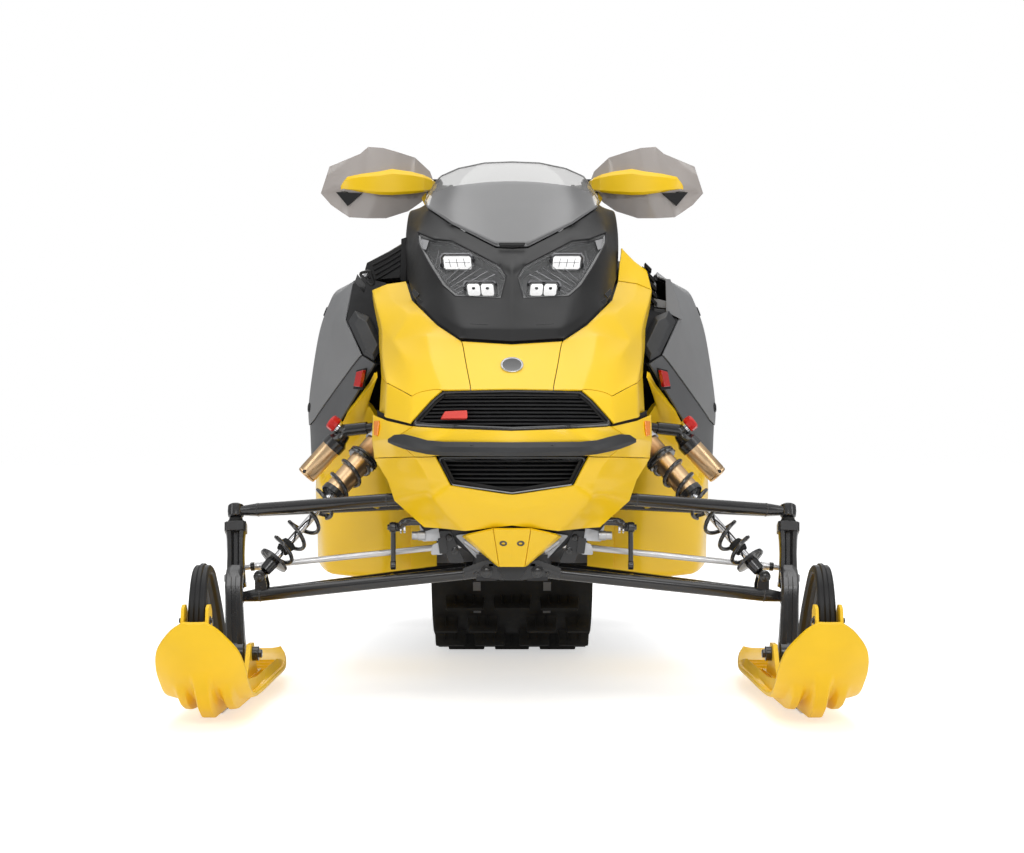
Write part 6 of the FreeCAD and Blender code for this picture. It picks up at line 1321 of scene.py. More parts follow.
# ------------------------------------------------------------------ track with lugs, wheels, rails
TW, BELT, LUG, PITCH = 381.0, 10.0, 38.0, 72.6
DR, RR_, IR = ((-110.0, 275.0), 88.0), ((60.0, 308.0), 260.0), ((1180.0, 148.0), 100.0)
def tangent_angle(c1, r1, c2, r2, s_):
    dx, dy = c2[0] - c1[0], c2[1] - c1[1]
    return math.atan2(dy, dx) + s_ * math.acos((r1 - r2) / math.hypot(dx, dy))
a_lo = tangent_angle(DR[0], DR[1], RR_[0], RR_[1], -1)
a_up = tangent_angle(DR[0], DR[1], IR[0], IR[1], 1)
if a_lo < a_up:
    a_lo += 2 * math.pi
belt = []
def belt_arc(c, r, a0, a1, step):
    k = max(2, int(abs(a1 - a0) / step) + 1)
    for i in range(k + 1):
        a = a0 + (a1 - a0) * i / k
        belt.append((c[0] + r * math.cos(a), c[1] + r * math.sin(a), a))
belt_arc(DR[0], DR[1], a_up, a_lo, 0.05)
belt_arc(RR_[0], RR_[1], a_lo, 1.5 * math.pi, 0.03)
belt_arc(IR[0], IR[1], 1.5 * math.pi, 2 * math.pi + a_up, 0.05)
belt.append(belt[0][:2] + (belt[0][2] + 2 * math.pi,))
run = [0.0]
for p, q in zip(belt, belt[1:]):
    run.append(run[-1] + math.dist(p[:2], q[:2]))
TOTAL = run[-1]
def on_belt(s_):
    s_ = s_ % TOTAL
    return tuple(float(np.interp(s_, run, [p[k] for p in belt])) for k in range(3))
NL = int(round(TOTAL / PITCH))
LP = TOTAL / NL
def bp(s_, h, x):
    y, z, a = on_belt(s_)
    return (x, y + h * math.cos(a), max(0.0, z + h * math.sin(a)))
b = Build()
xs = [-190.5, -186, -132, -126, -101, -95, -64, -58, -8, 8, 58, 64, 95, 101, 126, 132, 186, 190.5]
ring_out, ring_in = [], []
K_ = 4
for i in range(NL * K_):
    s_ = i * LP / K_
    bulge = 2.6 if i % K_ == 0 else 0.0
    ring_out.append([bp(s_, BELT - (1.5 if abs(x) > 188 else 0) + bulge - (2.2 if 95 <= abs(x) <= 101 or 58 <= abs(x) <= 64 else 0), x) for x in xs])
    ring_in.append([bp(s_, 0.8 if abs(x) > 188 else 0.0, x) for x in xs])
n, m = NL * K_, len(xs)
V = [p for r in ring_out for p in r] + [p for r in ring_in for p in r]
F = []
for i in range(n):
    j = (i + 1) % n
    for q in range(m - 1):
        F.append((i * m + q, j * m + q, j * m + q + 1, i * m + q + 1))
        F.append((n * m + i * m + q + 1, n * m + j * m + q + 1, n * m + j * m + q, n * m + i * m + q))
    F.append((n * m + i * m, n * m + j * m, j * m, i * m))
    F.append((i * m + m - 1, j * m + m - 1, n * m + j * m + m - 1, n * m + i * m + m - 1))
b.add(V, F)
PAT = [[(-187, -112), (-92, -16), (16, 92), (112, 187)], [(-158, -66), (-44, 44), (66, 158)], [(-187, -128), (-106, -34), (34, 106), (128, 187)]]
for i in range(NL):
    s0 = i * LP
    for x0, x1 in PAT[i % 3]:
        def loop(h, t, c, inset):
            X0, X1 = x0 + inset, x1 - inset
            return [bp(s0 + t_, h, x_) for x_, t_ in ((X0 + c, -t), (X1 - c, -t), (X1, -t + c * 0.6), (X1, t - c * 0.6), (X1 - c, t), (X0 + c, t), (X0, t - c * 0.6), (X0, -t + c * 0.6))]
        b.loft([loop(9, 12, 4, -3), loop(13, 8.2, 4, 0), loop(30, 6.4, 4, 1), loop(45, 5.4, 4, 2), loop(48, 3.6, 4, 3.4)])
        k = int((x1 - x0) / 22)
        for j in range(1, k):       # upright ribs on the lug faces
            x = x0 + (x1 - x0) * j / k
            for sgn in (-1, 1):
                b.loft([[bp(s0 + sgn * t_, h_, x_) for x_, t_ in ((x - 2.2, w0), (x + 2.2, w0), (x + 1.4, w1), (x - 1.4, w1))] for h_, w0, w1 in ((10, 6, 12.5), (36, 5, 7.4))])
    for x in (-83, 83):             # guide clips round the belt's inner run
        b.loft([[bp(s0 + LP / 2 + t_, h_, x_) for x_, t_ in ((x - 9, -12), (x + 9, -12), (x + 9, 12), (x - 9, 12))] for h_ in (-1.6, 11.4)], 1)
    for x in (-150, -112, -34, 34, 112, 150):
        b.loft([[bp(s0 + t_, h_, x_) for x_, t_ in ((x - w_, -w_), (x + w_, -w_), (x + w_, w_), (x - w_, w_))] for h_, w_ in ((0.5, 10), (-7, 7), (-9, 4))])
b.make("track_belt", ["rubber", "alu_black"], bevel=0, sharp=42, replaces=("track",))

b = Build()
def wheel(x0, y, z, R, w, hub=9.5):
    b.lathe((x0, y, z), (1, 0, 0), [(-1, hub), (-1, 19), (2, 22), (6, 26), (8, R - 22), (3, R - 17), (0, R - 13), (0, R - 4), (2.5, R - 0.6), (w - 2.5, R - 0.6), (w, R - 4), (w, R - 13), (w - 3, R - 17), (w - 8, R - 22), (w - 6, 26), (w - 2, 22), (w + 1, 19), (w + 1, hub)], segs=36,
            ms=[2, 0, 0, 0, 0, 0, 1, 1, 1, 1, 1, 0, 0, 0, 0, 0, 2])
    for i in range(8):
        t = 2 * math.pi * i / 8
        for xx in (x0 + 6, x0 + w - 6):
            b.tube([(xx, y + 24 * math.cos(t), z + 24 * math.sin(t)), (xx, y + (R - 19) * math.cos(t), z + (R - 19) * math.sin(t))], [3.6, 2.6], 0, segs=8)
for x0 in (-150, -12, 126):
    wheel(x0, 1180, 148, 99, 24)
for y in (430, 1020):
    for x0 in (-146, 122):
        wheel(x0, y, 115, 66, 24, 8)
        b.lathe((x0 + (24 if x0 < 0 else 0), y, 115), (1 if x0 < 0 else -1, 0, 0), [(0, 8), (17.4, 8)], 2, segs=14)
        b.bolt((x0 if x0 < 0 else x0 + 24, y, 115), (-1 if x0 < 0 else 1, 0, 0), 7, 5, 2)
for sx in (1, -1):
    b.bolt((sx * 150, 1180, 148), (sx, 0, 0), 9, 7, 2)
b.make("wheels", ["black", "rubber", "steel"], bevel=0.4, sharp=30, replaces=("idler_wheels",))

# sprockets with teeth
b = Build()
b.tube([(-214, -110, 275), (214, -110, 275)], 14, 1, segs=24)
for xc in (-126, -46, 46, 126):
    secs = []
    for xx, g in ((xc - 9, -3), (xc - 7, 0), (xc + 7, 0), (xc + 9, -3)):
        loop = []
        for i in range(36):
            t = 2 * math.pi * i / 36
            r = (86 if i % 4 in (0, 1) else 76) + g
            loop.append((xx, -110 + r * math.cos(t), 275 + r * math.sin(t)))
        secs.append(loop)
    b.loft(secs, 0)
    b.lathe((xc - 14, -110, 275), (1, 0, 0), [(0, 14), (0, 26), (28, 26), (28, 14)], 0, segs=24)
b.make("drive_sprockets", ["black", "steel"], bevel=0.6, replaces=("drive_axle",))

# sliders under the rails, bolts, damper springs
b = Build()
for sx in (1, -1):
    for y in range(130, 1130, 66):
        b.bolt((sx * 104, y, 58), (sx, 0, 0), 3.6, 3, 1)
    for y in (230, 860):
        b.bolt((sx * 104, y, 104), (sx, 0, 0), 8, 6, 1)
    b.prism([(sx * 90.5, 60, 48.6), (sx * 105.5, 60, 48.6), (sx * 105.5, 60, 55), (sx * 90.5, 60, 55)], (0, 1085, 0), 0)
    b.lathe((sx * 104.2, 1150, 148), (sx, 0, 0), [(0, 16), (5, 16), (5.4, 8)], 1, segs=6)
b.make("slider_strips", ["black", "steel"], bevel=0.5)
b = Build()
for p, q, turns in (((0, 150, 262), (0, 400, 110), 7), ((0, 600, 226), (0, 800, 110), 6)):
    p, q = Vector(p), Vector(q)
    d = (q - p).normalized(); L_ = (q - p).length
    u = Vector((1, 0, 0)); w = d.cross(u)
    pts = []
    for i in range(turns * 20 + 1):
        t = i / (turns * 20); a = 2 * math.pi * turns * t
        c = p + d * (L_ * (0.14 + 0.70 * t))
        pts.append(tuple(c + (u * math.cos(a) + w * math.sin(a)) * 33))
    b.tube(pts, 4.6, 0, segs=8)
    for t in (0.12, 0.865):
        b.lathe(tuple(p + d * (L_ * t - 3)), tuple(d), [(0, 24), (0, 39), (5, 39), (5, 24)] if t < 0.5 else [(0, 9), (0, 39), (5, 39), (5, 9)], 1, segs=28)
b.make("skid_springs", ["yellow", "steel_black"], bevel=0.4)

# tunnel: ribs, rivets, reflectors, cargo sockets
b = Build()
for sx in (1, -1):
    for y in range(-240, 1360, 50):
        b.rivet((sx * 206, y, 430), (sx, 0, 0), 4.2, 1.8, 0)
    for y in range(-160, 1360, 95):
        b.rivet((sx * 206, y, 316), (sx, 0, 0), 4.2, 1.8, 0)
    for y in range(700, 1370, 55):
        b.rivet((sx * 176, y, 458), (0, 0, 1), 4.2, 1.8, 0)
    for x in (44, 92):
        b.prism(rounded([(sx * x - 5, 690, 457.5), (sx * x - 3, 690, 460.2), (sx * x + 3, 690, 460.2), (sx * x + 5, 690, 457.5)], 1, 2), (0, 640, 0), 1)
    for y in (860, 1160):
        b.lathe((sx * 120, y, 458), (0, 0, 1), [(0, 4.6), (0, 15), (2.2, 15), (4.6, 11), (4.6, 4.6)], 2, segs=24)
    P = [(sx * 206.3, 1225, 398), (sx * 206.3, 1225, 416), (sx * 206.3, 1290, 416), (sx * 206.3, 1290, 398)]
    b.prism(P, (sx * 3.0, 0, 0), 3)
    b.lathe((sx * 207, -110, 275), (sx, 0, 0), [(0, 38), (3, 38), (5.4, 33), (5.4, 22), (7.4, 19), (7.4, 6)], 2, segs=32)
    for i in range(3):
        t = 2 * math.pi * i / 3 + 0.5
        b.bolt((sx * 211, -110 + 29 * math.cos(t), 275 + 29 * math.sin(t)), (sx, 0, 0), 4, 4, 0)
b.make("tunnel_rivets", ["alu", "alu", "steel_black", "red_lens"], bevel=0.4)
b = Build()
for sx in (1, -1):
    for y in range(-170, 890, 18):        # grip teeth along the outer edge of each board
        b.prism([(sx * 389, y, 308), (sx * 401, y, 308), (sx * 401, y + 4, 311.5), (sx * 389, y + 4, 311.5)], (0, 5, 0), 0)
    for y in range(-150, 880, 90):
        b.rivet((sx * 209, y, 320), (sx, 0, 0), 4, 1.8, 0)
    b.prism(rounded([(sx * 210, 690, 299), (sx * 210, 870, 299), (sx * 380, 870, 299), (sx * 380, 690, 299)], 10, 3, closed=True), (0, 0, 2.0), 1)
    for p, q in (((395, -40, 384), (390, -118, 411)),):
        b.tube([(sx * p[0], p[1], p[2]), (sx * q[0], q[1], q[2])], 12.2, 1, segs=14)
b.make("board_teeth", ["alu_black", "soft_rubber"], bevel=0.3)
b = Build()
for sx in (1, -1):
    for y in (-938, -915):
        b.bolt((sx * 152, y, 440), (0, 0, 1), 4.5, 4, 0)
    for y in (-250, -226):
        b.bolt((sx * 148, y, 464), (0, 0, 1), 4.5, 4, 0); b.bolt((sx * 172, y, 464), (0, 0, 1), 4.5, 4, 0)
    for y in (-600, -520, -440, -360, -290):
        b.rivet((sx * 198, y, 300), (sx, 0, 0), 4.4, 1.8, 1); b.rivet((sx * 198, y, 410), (sx, 0, 0), 4.4, 1.8, 1)
b.make("frame_bolts", ["steel", "alu"], bevel=0.3)

# engine: crankcase, two cylinders with a head, and clutch
b = Build()
b.prism([(-148, -600, 258), (-148, -622, 290), (-148, -622, 350), (-148, -560, 396), (-148, -400, 396), (-148, -322, 350), (-148, -322, 276), (-148, -350, 258)], (296, 0, 0), 0)
for xc in (-66, 66):
    b.prism([(xc - 56, -560, 396), (xc - 56, -400, 396), (xc - 56, -420, 458), (xc - 56, -545, 458)], (112, 0, 0), 0)
b.prism([(-126, -552, 456), (-126, -412, 456), (-126, -424, 492), (-126, -540, 492)], (252, 0, 0), 1)
for xc in (-66, 66):
    for i in range(6):
        t = 2 * math.pi * i / 6
        b.bolt((xc + 44 * math.cos(t), -482 + 44 * math.sin(t), 491), (0, 0, 1), 5, 4, 2)
    b.lathe((xc, -482, 491), (0, 0, 1), [(0, 14), (3, 14), (3.2, 9), (8, 9)], 1, segs=20)
for z in (276, 300, 324, 348):
    b.prism([(-150, -621, z), (-150, -600, z), (-150, -600, z + 3), (-150, -621, z + 3)], (300, 0, 0), 0)
b.lathe((118, -470, 330), (1, 0, 0), [(0, 62), (6, 64), (10, 40), (18, 40), (22, 64), (30, 62)], 2, segs=36)
b.make("engine_body", ["engine", "black", "steel"], bevel=1.6, angle=28, replaces=("engine",))

# snow flap: moulded rubber with ribs, hung on a strip
b = Build()
secs = []
P0, P1 = (1374.5, 387), (1497, 206)
for i in range(15):
    t = i / 14
    y = P0[0] + (P1[0] - P0[0]) * (t ** 1.15) ; z = P0[1] + (P1[1] - P0[1]) * t
    dy, dz = (P1[0] - P0[0]) * 1.15 * max(0.15, t) ** 0.15, P1[1] - P0[1]
    l = math.hypot(dy, dz); ny, nz = -dz / l, dy / l
    hw = 194 - 16 * max(0, t - 0.78) / 0.22 * max(0, t - 0.78) / 0.22
    xs_ = [-1, -0.97, -0.72, -0.70, -0.66, -0.64, -0.36, -0.34, -0.30, -0.28, -0.04, -0.02, 0.02, 0.04, 0.28, 0.30, 0.34, 0.36, 0.64, 0.66, 0.70, 0.72, 0.97, 1]
    up = [1.2, 2.6] + [2.6, 4.6, 4.6, 2.6] * 5 + [2.6, 1.2]
    loop = [(u_ * hw, y + ny * h_, z + nz * h_) for u_, h_ in zip(xs_, up)] + [(u_ * hw, y - ny * 1.6, z - nz * 1.6) for u_ in xs_[::-1]]
    secs.append(loop)
b.loft(secs)
b.box(-190, 190, 1368.5, 1372.2, 372, 392, 1)
for x in (-160, -80, 0, 80, 160):
    b.bolt((x, 1377.8, 378), (0, 0.86, 0.2), 5, 4, 1)
b.make("flap", ["soft_rubber", "steel_black"], bevel=0.4, replaces=("snow_flap",))

# rear grab bar with its feet and bolts
b = Build()
b.tube(rounded([(-218, 1150, 425), (-218, 1400, 440), (-150, 1452, 452), (150, 1452, 452), (218, 1400, 440), (218, 1150, 425)], 60, 7), 11, segs=18)
b.tube([(-120, 1452, 452), (-116, 1452, 452), (116, 1452, 452), (120, 1452, 452)], [11.2, 13.6, 13.6, 11.2], 1, segs=18)
for sx in (1, -1):
    b.lathe((sx * 218, 1150, 425), (0, -1, 0), [(0, 11), (3, 11), (6, 7)], 1, segs=18)
    for y in (1170, 1330):
        b.prism(rounded([(sx * 206.5, y - 15, 412), (sx * 206.5, y + 15, 412), (sx * 206.5, y + 15, 446), (sx * 206.5, y - 15, 446)], 5, 3, closed=True), (sx * 12, 0, 0), 0)
        b.bolt((sx * 218.5, y, 416), (sx, 0, 0), 5, 4, 2)
b.make("grab_bar", ["steel_black", "soft_rubber", "steel"], bevel=0.8, replaces=("rear_bumper",))

# tail light: dark bezel and ribbed red lens
b = Build()
def tl(hx, z0, z1, y): return [(-hx + 10, y, z0), (hx - 10, y, z0), (hx, y, z0 + 9), (hx - 4, y, z1 - 6), (hx - 14, y, z1), (-hx + 14, y, z1), (-hx + 4, y, z1 - 6), (-hx, y, z0 + 9)]
b.loft([tl(76, 640, 690, 640.5), tl(78, 640, 690, 655), tl(76, 642, 688, 662), tl(70, 647, 683, 663), tl(69, 648, 682, 658)], 0)
b.loft([tl(68.5, 648.5, 681.5, 657), tl(68, 649, 681, 664), tl(62, 654, 676, 667.6)], 1)
for i in range(11):
    x = -55 + i * 11
    b.box(x - 0.9, x + 0.9, 664, 668.0, 653, 677, 1)
b.make("rear_light", ["black", "red_lens"], bevel=0.8, replaces=("tail_light",))

# ------------------------------------------------------------------ handlebar, grips, controls, column
def bar_at(x):
    a = abs(x)
    if a > 190:
        return (x, -292 + (a - 190) * 30 / 208, 1096 - (a - 190) * 4 / 208)
    return (x, -300 + (a - 72) * 8 / 118, 1080 + (a - 72) * 16 / 118) if a > 72 else (x, -300, 1080)
b = Build()
b.tube(rounded([(-398, -262, 1092), (-190, -292, 1096), (-72, -300, 1080), (72, -300, 1080), (190, -292, 1096), (398, -262, 1092)], 60, 5), 11, segs=18)
B_ = [(-40, -34), (40, -34), (40, 34), (-40, 34)]
for z0, z1, hx, hy in ((1061, 1079, 40, 21), (1081, 1100, 38, 20)):
    b.prism(rounded([(-hx, -300 - hy, z0), (hx, -300 - hy, z0), (hx, -300 + hy, z0), (-hx, -300 + hy, z0)], 6, 3, closed=True), (0, 0, z1 - z0), 0)
for x in (-28, 28):
    for y in (-315, -285):
        b.bolt((x, y, 1100), (0, 0, 1), 4.6, 4, 1)
for xs_ in (-46, 46):
    b.lathe((xs_ - 4 if xs_ > 0 else xs_ + 4, -300, 1080), (1 if xs_ > 0 else -1, 0, 0), [(-4, 20), (0, 20), (4, 18), (4, 11)], 0, segs=24)
a = ST_B + (ST_A - ST_B).normalized() * 8
b.lathe(tuple(a), tuple((ST_A - ST_B).normalized()), [(0, 15), (2, 17.5), (40, 17.5), (44, 19), (50, 19), (52, 15)], 0, segs=24)
for sx in (1, -1):        # cable run clipped along the bar
    b.tube([(sx * x, bar_at(x)[1] - 12.5, bar_at(x)[2] - 8) for x in (60, 90, 120, 150, 180, 200)], 3.0, 2, segs=8)
    b.tube([(sx * x, bar_at(x)[1] - 14.5, bar_at(x)[2] - 1) for x in (60, 90, 120, 150, 180, 200)], 2.4, 2, segs=8)
    for x in (84, 140):
        b.lathe((sx * x, bar_at(x)[1] - 3, bar_at(x)[2] - 2), (1, 0, 0), [(-4, 11), (-4, 15.5), (4, 15.5), (4, 11)], 2, segs=16)
b.make("bar", ["alu_black", "steel", "soft_rubber"], body="steering", bevel=0.8, replaces=("handlebar",))
b = Build()
for sx in (1, -1):
    g0, g1 = Vector(bar_at(397)), Vector(bar_at(272))
    g0.x *= sx; g1.x *= sx
    d = (g0 - g1).normalized(); L_ = (g0 - g1).length
    prof = [(-8, 11.2), (-8, 20.5), (-5.5, 21.5), (-2, 21.5), (0, 17), (3, 15.6)]
    k = 13
    for i in range(k):
        t = 6 + (L_ - 14) * i / k
        h_ = (L_ - 14) / k
        prof += [(t, 15.3), (t + h_ * 0.2, 16.6), (t + h_ * 0.7, 16.6), (t + h_ * 0.85, 15.3)]
    prof += [(L_ - 6, 16.8), (L_ - 1, 16.6), (L_ + 1.0, 14.5), (L_ + 1.4, 6)]
    b.lathe(tuple(g1), tuple(d), prof, 0, segs=28)
b.make("grip_pads", "soft_rubber", body="steering", bevel=0, sharp=30, replaces=("grips",))

b = Build()
for sx in (1, -1):
    x0, x1 = 202, 252
    def sec(x, g):
        c = bar_at(x)
        R = [(-1, -13), (-1, 6), (-0.6, 16), (0.3, 20), (0.85, 14), (1, 4), (0.9, -12), (0.2, -18), (-0.6, -17)]
        return [(sx * x, c[1] + u_ * (20 + g), c[2] + 3 + v_ * (1 + g / 20)) for u_, v_ in R]
    b.loft([sec(200, -4), sec(204, 0), sec(228, 1), sec(250, 0), sec(256, -5)], 0)
    c = bar_at(262)
    b.lathe((sx * 256, c[1], c[2]), (sx, 0, 0), [(0, 13), (5, 13), (5.4, 11.3)], 0, segs=20)
    # levers: pivot block, blade with a rounded tip
    b.prism(rounded([(sx * 214, -330, 1088), (sx * 246, -334, 1088), (sx * 246, -308, 1088), (sx * 214, -304, 1088)], 5, 3, closed=True), (0, 0, 18), 0)
    b.bolt((sx * 230, -322, 1106), (0, 0, 1), 4.5, 3, 2)
    blade = [(228, -322, 1097, 8, 5), (262, -341, 1096, 7, 4.6), (300, -346, 1095, 6, 4.2), (345, -337, 1093, 5.4, 4.0), (374, -327, 1092, 5.2, 4.2), (384, -324, 1092, 3.0, 3.0)]
    b.loft([[(sx * x, y - hy, z), (sx * x, y - hy * 0.6, z + hz), (sx * x, y + hy * 0.6, z + hz), (sx * x, y + hy, z), (sx * x, y + hy * 0.6, z - hz), (sx * x, y - hy * 0.6, z - hz)] for x, y, z, hy, hz in blade], 3)
# master cylinder on the rider's left, throttle block and stop button on the right
b.prism(rounded([(196, -322, 1104), (248, -330, 1104), (250, -300, 1104), (198, -292, 1104)], 6, 3, closed=True), (0, 0, 12), 0)
b.prism(rounded([(200, -319, 1116), (245, -326, 1116), (246, -303, 1116), (201, -296, 1116)], 5, 3, closed=True), (0, 0, 3), 0)
b.bolt((210, -307, 1119), (0, 0, 1), 2.6, 2, 2, washer=1.3); b.bolt((236, -311, 1119), (0, 0, 1), 2.6, 2, 2, washer=1.3)
b.lathe((-224, -298, 1108), (0, -0.1, 1), [(0, 12), (6, 12), (6.5, 8), (10, 8), (10.2, 13.5), (14, 14.2), (17, 13), (18.5, 8)], segs=24, ms=[0, 0, 0, 0, 1, 1, 1])
for i, (x, z) in enumerate(((214, 1092), (230, 1092), (244, 1092), (222, 1078), (238, 1078))):
    for sx in (1, -1):
        b.prism(rounded([(sx * (x - 5), -276, z - 4), (sx * (x + 5), -276, z - 4), (sx * (x + 5), -275.4, z + 4), (sx * (x - 5), -275.4, z + 4)], 1.5, 2, closed=True), (0, 4.2, 0), 4)
# brake hose and throttle cable, short runs behind the guards
b.tube(rounded([(205, -322, 1096), (190, -332, 1082), (176, -326, 1070), (150, -306, 1066)], 12, 4), 4.2, 5, segs=10)
b.tube(rounded([(-205, -318, 1096), (-190, -330, 1082), (-176, -326, 1070), (-150, -306, 1066)], 12, 4), 3.4, 5, segs=10)
b.lathe((-209, -327, 1092), (-0.4, 0.5, -0.5), [(-3, 6), (12, 6), (13, 4)], 2, segs=12)
b.make("bar_controls", ["satin", "red", "steel", "alu_black", "dark_grey", "soft_rubber"], body="steering", bevel=0.8, angle=30, replaces=("hand_controls",))

# ------------------------------------------------------------------ dash, gauge, tank cover, knee panels
DASH = dict(a0=(40, -700, 955), a1=(110, -690, 950), a2=(168, -640, 975), b0=(40, -560, 968), b1=(110, -550, 968), b2=(178, -540, 1000), c0=(40, -430, 925), c1=(110, -420, 925), c2=(200, -420, 935),
            d0=(40, -345, 872), d1=(110, -345, 862), d2=(215, -330, 850))
V, F, G = subdivided(DASH, ["a0 b0 b1 a1", "a1 b1 b2 a2", "b0 c0 c1 b1", "b1 c1 c2 b2", "c0 d0 d1 c1", "c1 d1 d2 c2"], None, crease=0.35, corner=0.6, mirrored=False)
for sx, side in ((1, "left"), (-1, "right")):
    shell("dash_" + side, V * np.array([sx, 1, 1]), F, M["satin"], t=3.6, gap=0, rim=1.2, inside=(sx * 60, -500, 700), flange=12, replaces=("dash_console",) if sx > 0 else ())
KNEE = dict(a=(430, -152, 440), b=(430, -146, 566), c=(386, -136, 700), d=(310, -136, 780), e=(238, -136, 812), i=(194, -150, 780), j=(194, -160, 640), k=(200, -170, 462))
V, F, G = subdivided(KNEE, ["a b j k", "b c i j", "c d e i"], None, crease=0.3, corner=0.7, mirrored=False)
for sx, side in ((1, "left"), (-1, "right")):
    shell("knee_panel_" + side, V * np.array([sx, 1, 1]), F, M["satin"], t=3.6, gap=0, rim=1.2, inside=(sx * 300, -400, 620), flange=10)
TANK = dict(a0=(0, -380, 792), a1=(70, -380, 784), a2=(130, -380, 740), a3=(170, -380, 560), b0=(0, -330, 868), b1=(70, -330, 856), b2=(150, -330, 790), b3=(186, -330, 560),
            c0=(0, -200, 868), c1=(70, -200, 858), c2=(150, -200, 790), c3=(186, -200, 520), d0=(0, -110, 820), d1=(60, -110, 812), d2=(120, -110, 740), d3=(160, -110, 490))
V, F, G = subdivided(TANK, ["a0 a1 b1 b0", "a1 a2 b2 b1", "a2 a3 b3 b2", "b0 b1 c1 c0", "b1 b2 c2 c1", "b2 b3 c3 c2", "c0 c1 d1 d0", "c1 c2 d2 d1", "c2 c3 d3 d2"], None, crease=0.3, corner=0.7)
shell("tank_cover", V, F, M["satin"], t=4.5, gap=0, rim=1.2, inside=(0, -250, 650), flange=12, replaces=("fuel_tank",))
SHO = dict(o0=(300, -560, 846), o1=(311, -460, 874), o2=(311, -385, 874), o3=(278, -250, 851), o4=(230, -146, 806), m0=(268, -566, 862), m1=(270, -460, 896), m2=(262, -385, 894), m3=(238, -250, 836), m4=(212, -142, 800),
           i0=(236, -566, 866), i1=(230, -460, 918), i2=(206, -392, 918), i3=(198, -270, 818), i4=(190, -146, 784), n2=(214, -335, 852))
V, F, G = subdivided(SHO, ["o0 m0 m1 o1", "o1 m1 m2 o2", "o2 m2 m3 o3", "o3 m3 m4 o4", "m0 i0 i1 m1", "m1 i1 i2 m2", "m2 i2 n2 m3", "m3 n2 i3", "m3 i3 i4 m4"], None, crease=0.35, corner=0.7, mirrored=False)
for sx, side in ((1, "left"), (-1, "right")):
    shell("console_shoulder_" + side, V * np.array([sx, 1, 1]), F, M["satin"], t=3.4, gap=0, rim=1.0, inside=(sx * 230, -350, 600))
b = Build()          # middle of the console, with a boot round the column
for pts in ([(-41, -698, 952), (41, -698, 952), (41, -560, 965), (-41, -560, 965)], [(-41, -560, 965), (41, -560, 965), (41, -458, 932), (-41, -458, 932)], [(-41, -396, 904), (41, -396, 904), (41, -332, 862), (-41, -332, 862)]):
    b.prism(pts, (0, 0, -3.5))
for sx in (1, -1):
    b.prism([(sx * 24, -459, 932), (sx * 41, -459, 932), (sx * 41, -395, 904), (sx * 24, -395, 904)], (0, 0, -3.5))
b.lathe((0, -426, 920), tuple((ST_B - ST_A).normalized()), [(-26, 42), (-14, 39), (-12, 34), (-6, 36), (-2, 31), (4, 33), (7, 28), (10, 29.5), (13, 25.5), (13, 23.5), (-26, 24)], 1, segs=32)
b.prism([(-150, -346, 872), (150, -346, 872), (150, -348, 700), (-150, -348, 700)], (0, 4, 0), 2)
b.make("console_middle", ["satin", "soft_rubber", "black"], bevel=0.8)
b = Build()          # rear wall of the tank cover, behind the nose of the seat
tb = [(0, 817), (58, 809), (88, 782), (117, 737), (134, 660), (157, 492)]
b.prism([(x, -114, z) for x, z in tb] + [(-x, -114, z) for x, z in tb[:0:-1]], (0, -4, 0))
b.make("tank_rear_wall", "satin", bevel=1.0)
b = Build()
b.lathe((0, -265, 866), (0, 0, 1), [(0, 46), (5, 46), (7, 43), (8, 36)], 0, segs=36)
b.lathe((0, -265, 873), (0, 0, 1), [(0, 33), (14, 32), (17, 29), (18, 10)], 1, segs=36)
for i in range(12):
    t = 2 * math.pi * i / 12
    b.box(-2.5, 2.5, 30, 35, 873, 887, 1, rot=Matrix.Rotation(t, 3, "Z"), at=(0, -265, 0))
b.make("tank_cap", ["satin", "black"], bevel=0.8)
b = Build()
def gr(hx, y0, y1, z0, z1, c=12): return [(-hx + c, y0, z0), (hx - c, y0, z0), (hx, y0 + c * 0.7, z0 + (z1 - z0) * 0.1), (hx, y1 - c * 0.7, z1 - (z1 - z0) * 0.1), (hx - c, y1, z1), (-hx + c, y1, z1), (-hx, y1 - c * 0.7, z1 - (z1 - z0) * 0.1), (-hx, y0 + c * 0.7, z0 + (z1 - z0) * 0.1)]
b.loft([gr(62, -668, -568, 948, 956), gr(61, -660, -580, 980, 988), gr(56, -655, -588, 1000, 1012), gr(52, -651, -592, 1001.5, 1013.2), gr(51, -650, -593, 999.5, 1011.2)], 0)
b.loft([gr(50.5, -649.5, -593.5, 999.0, 1010.7, 8), gr(50, -649, -594, 1000.2, 1011.9, 8)], 1)
for x in (-40, -24, 24, 40):
    b.lathe((x, -566, 966), (0, 0.8, 0.6), [(0, 7), (4, 7), (5, 5)], 2, segs=16)
b.make("gauge", ["satin", "screen", "dark_grey"], bevel=1.2)

# ------------------------------------------------------------------ seat
ROWS = [  # y, half width low, half width top, z low, z top: a little inside the cushion's space
    (-92, 86, 66, 570, 803), (-40, 100, 78, 542, 792), (20, 112, 86, 510, 783), (140, 133, 104, 478, 775), (240, 141, 114, 473, 774), (330, 143, 118, 472, 776), (430, 143, 117, 474, 780), (520, 142, 114, 480, 783),
    (590, 130, 106, 520, 782), (628, 112, 92, 566, 772)]
secs = []
for y, wl, wt, zl, zt in ROWS:
    mid = zl + (zt - zl) * 0.55
    secs.append([(-wl + 12, y, zl), (0, y, zl - 0), (wl - 12, y, zl), (wl, y, zl + 14), (wl + 2, y, mid), (wl - 3, y, zt - 62), (wt + 8, y, zt - 22), (wt - 12, y, zt - 5), (wt - 52, y, zt - 3), (0, y, zt - 7),
                 (-wt + 52, y, zt - 3), (-wt + 12, y, zt - 5), (-wt - 8, y, zt - 22), (-wl + 3, y, zt - 62), (-wl - 2, y, mid), (-wl, y, zl + 14)])
b = Build(); b.loft(secs)
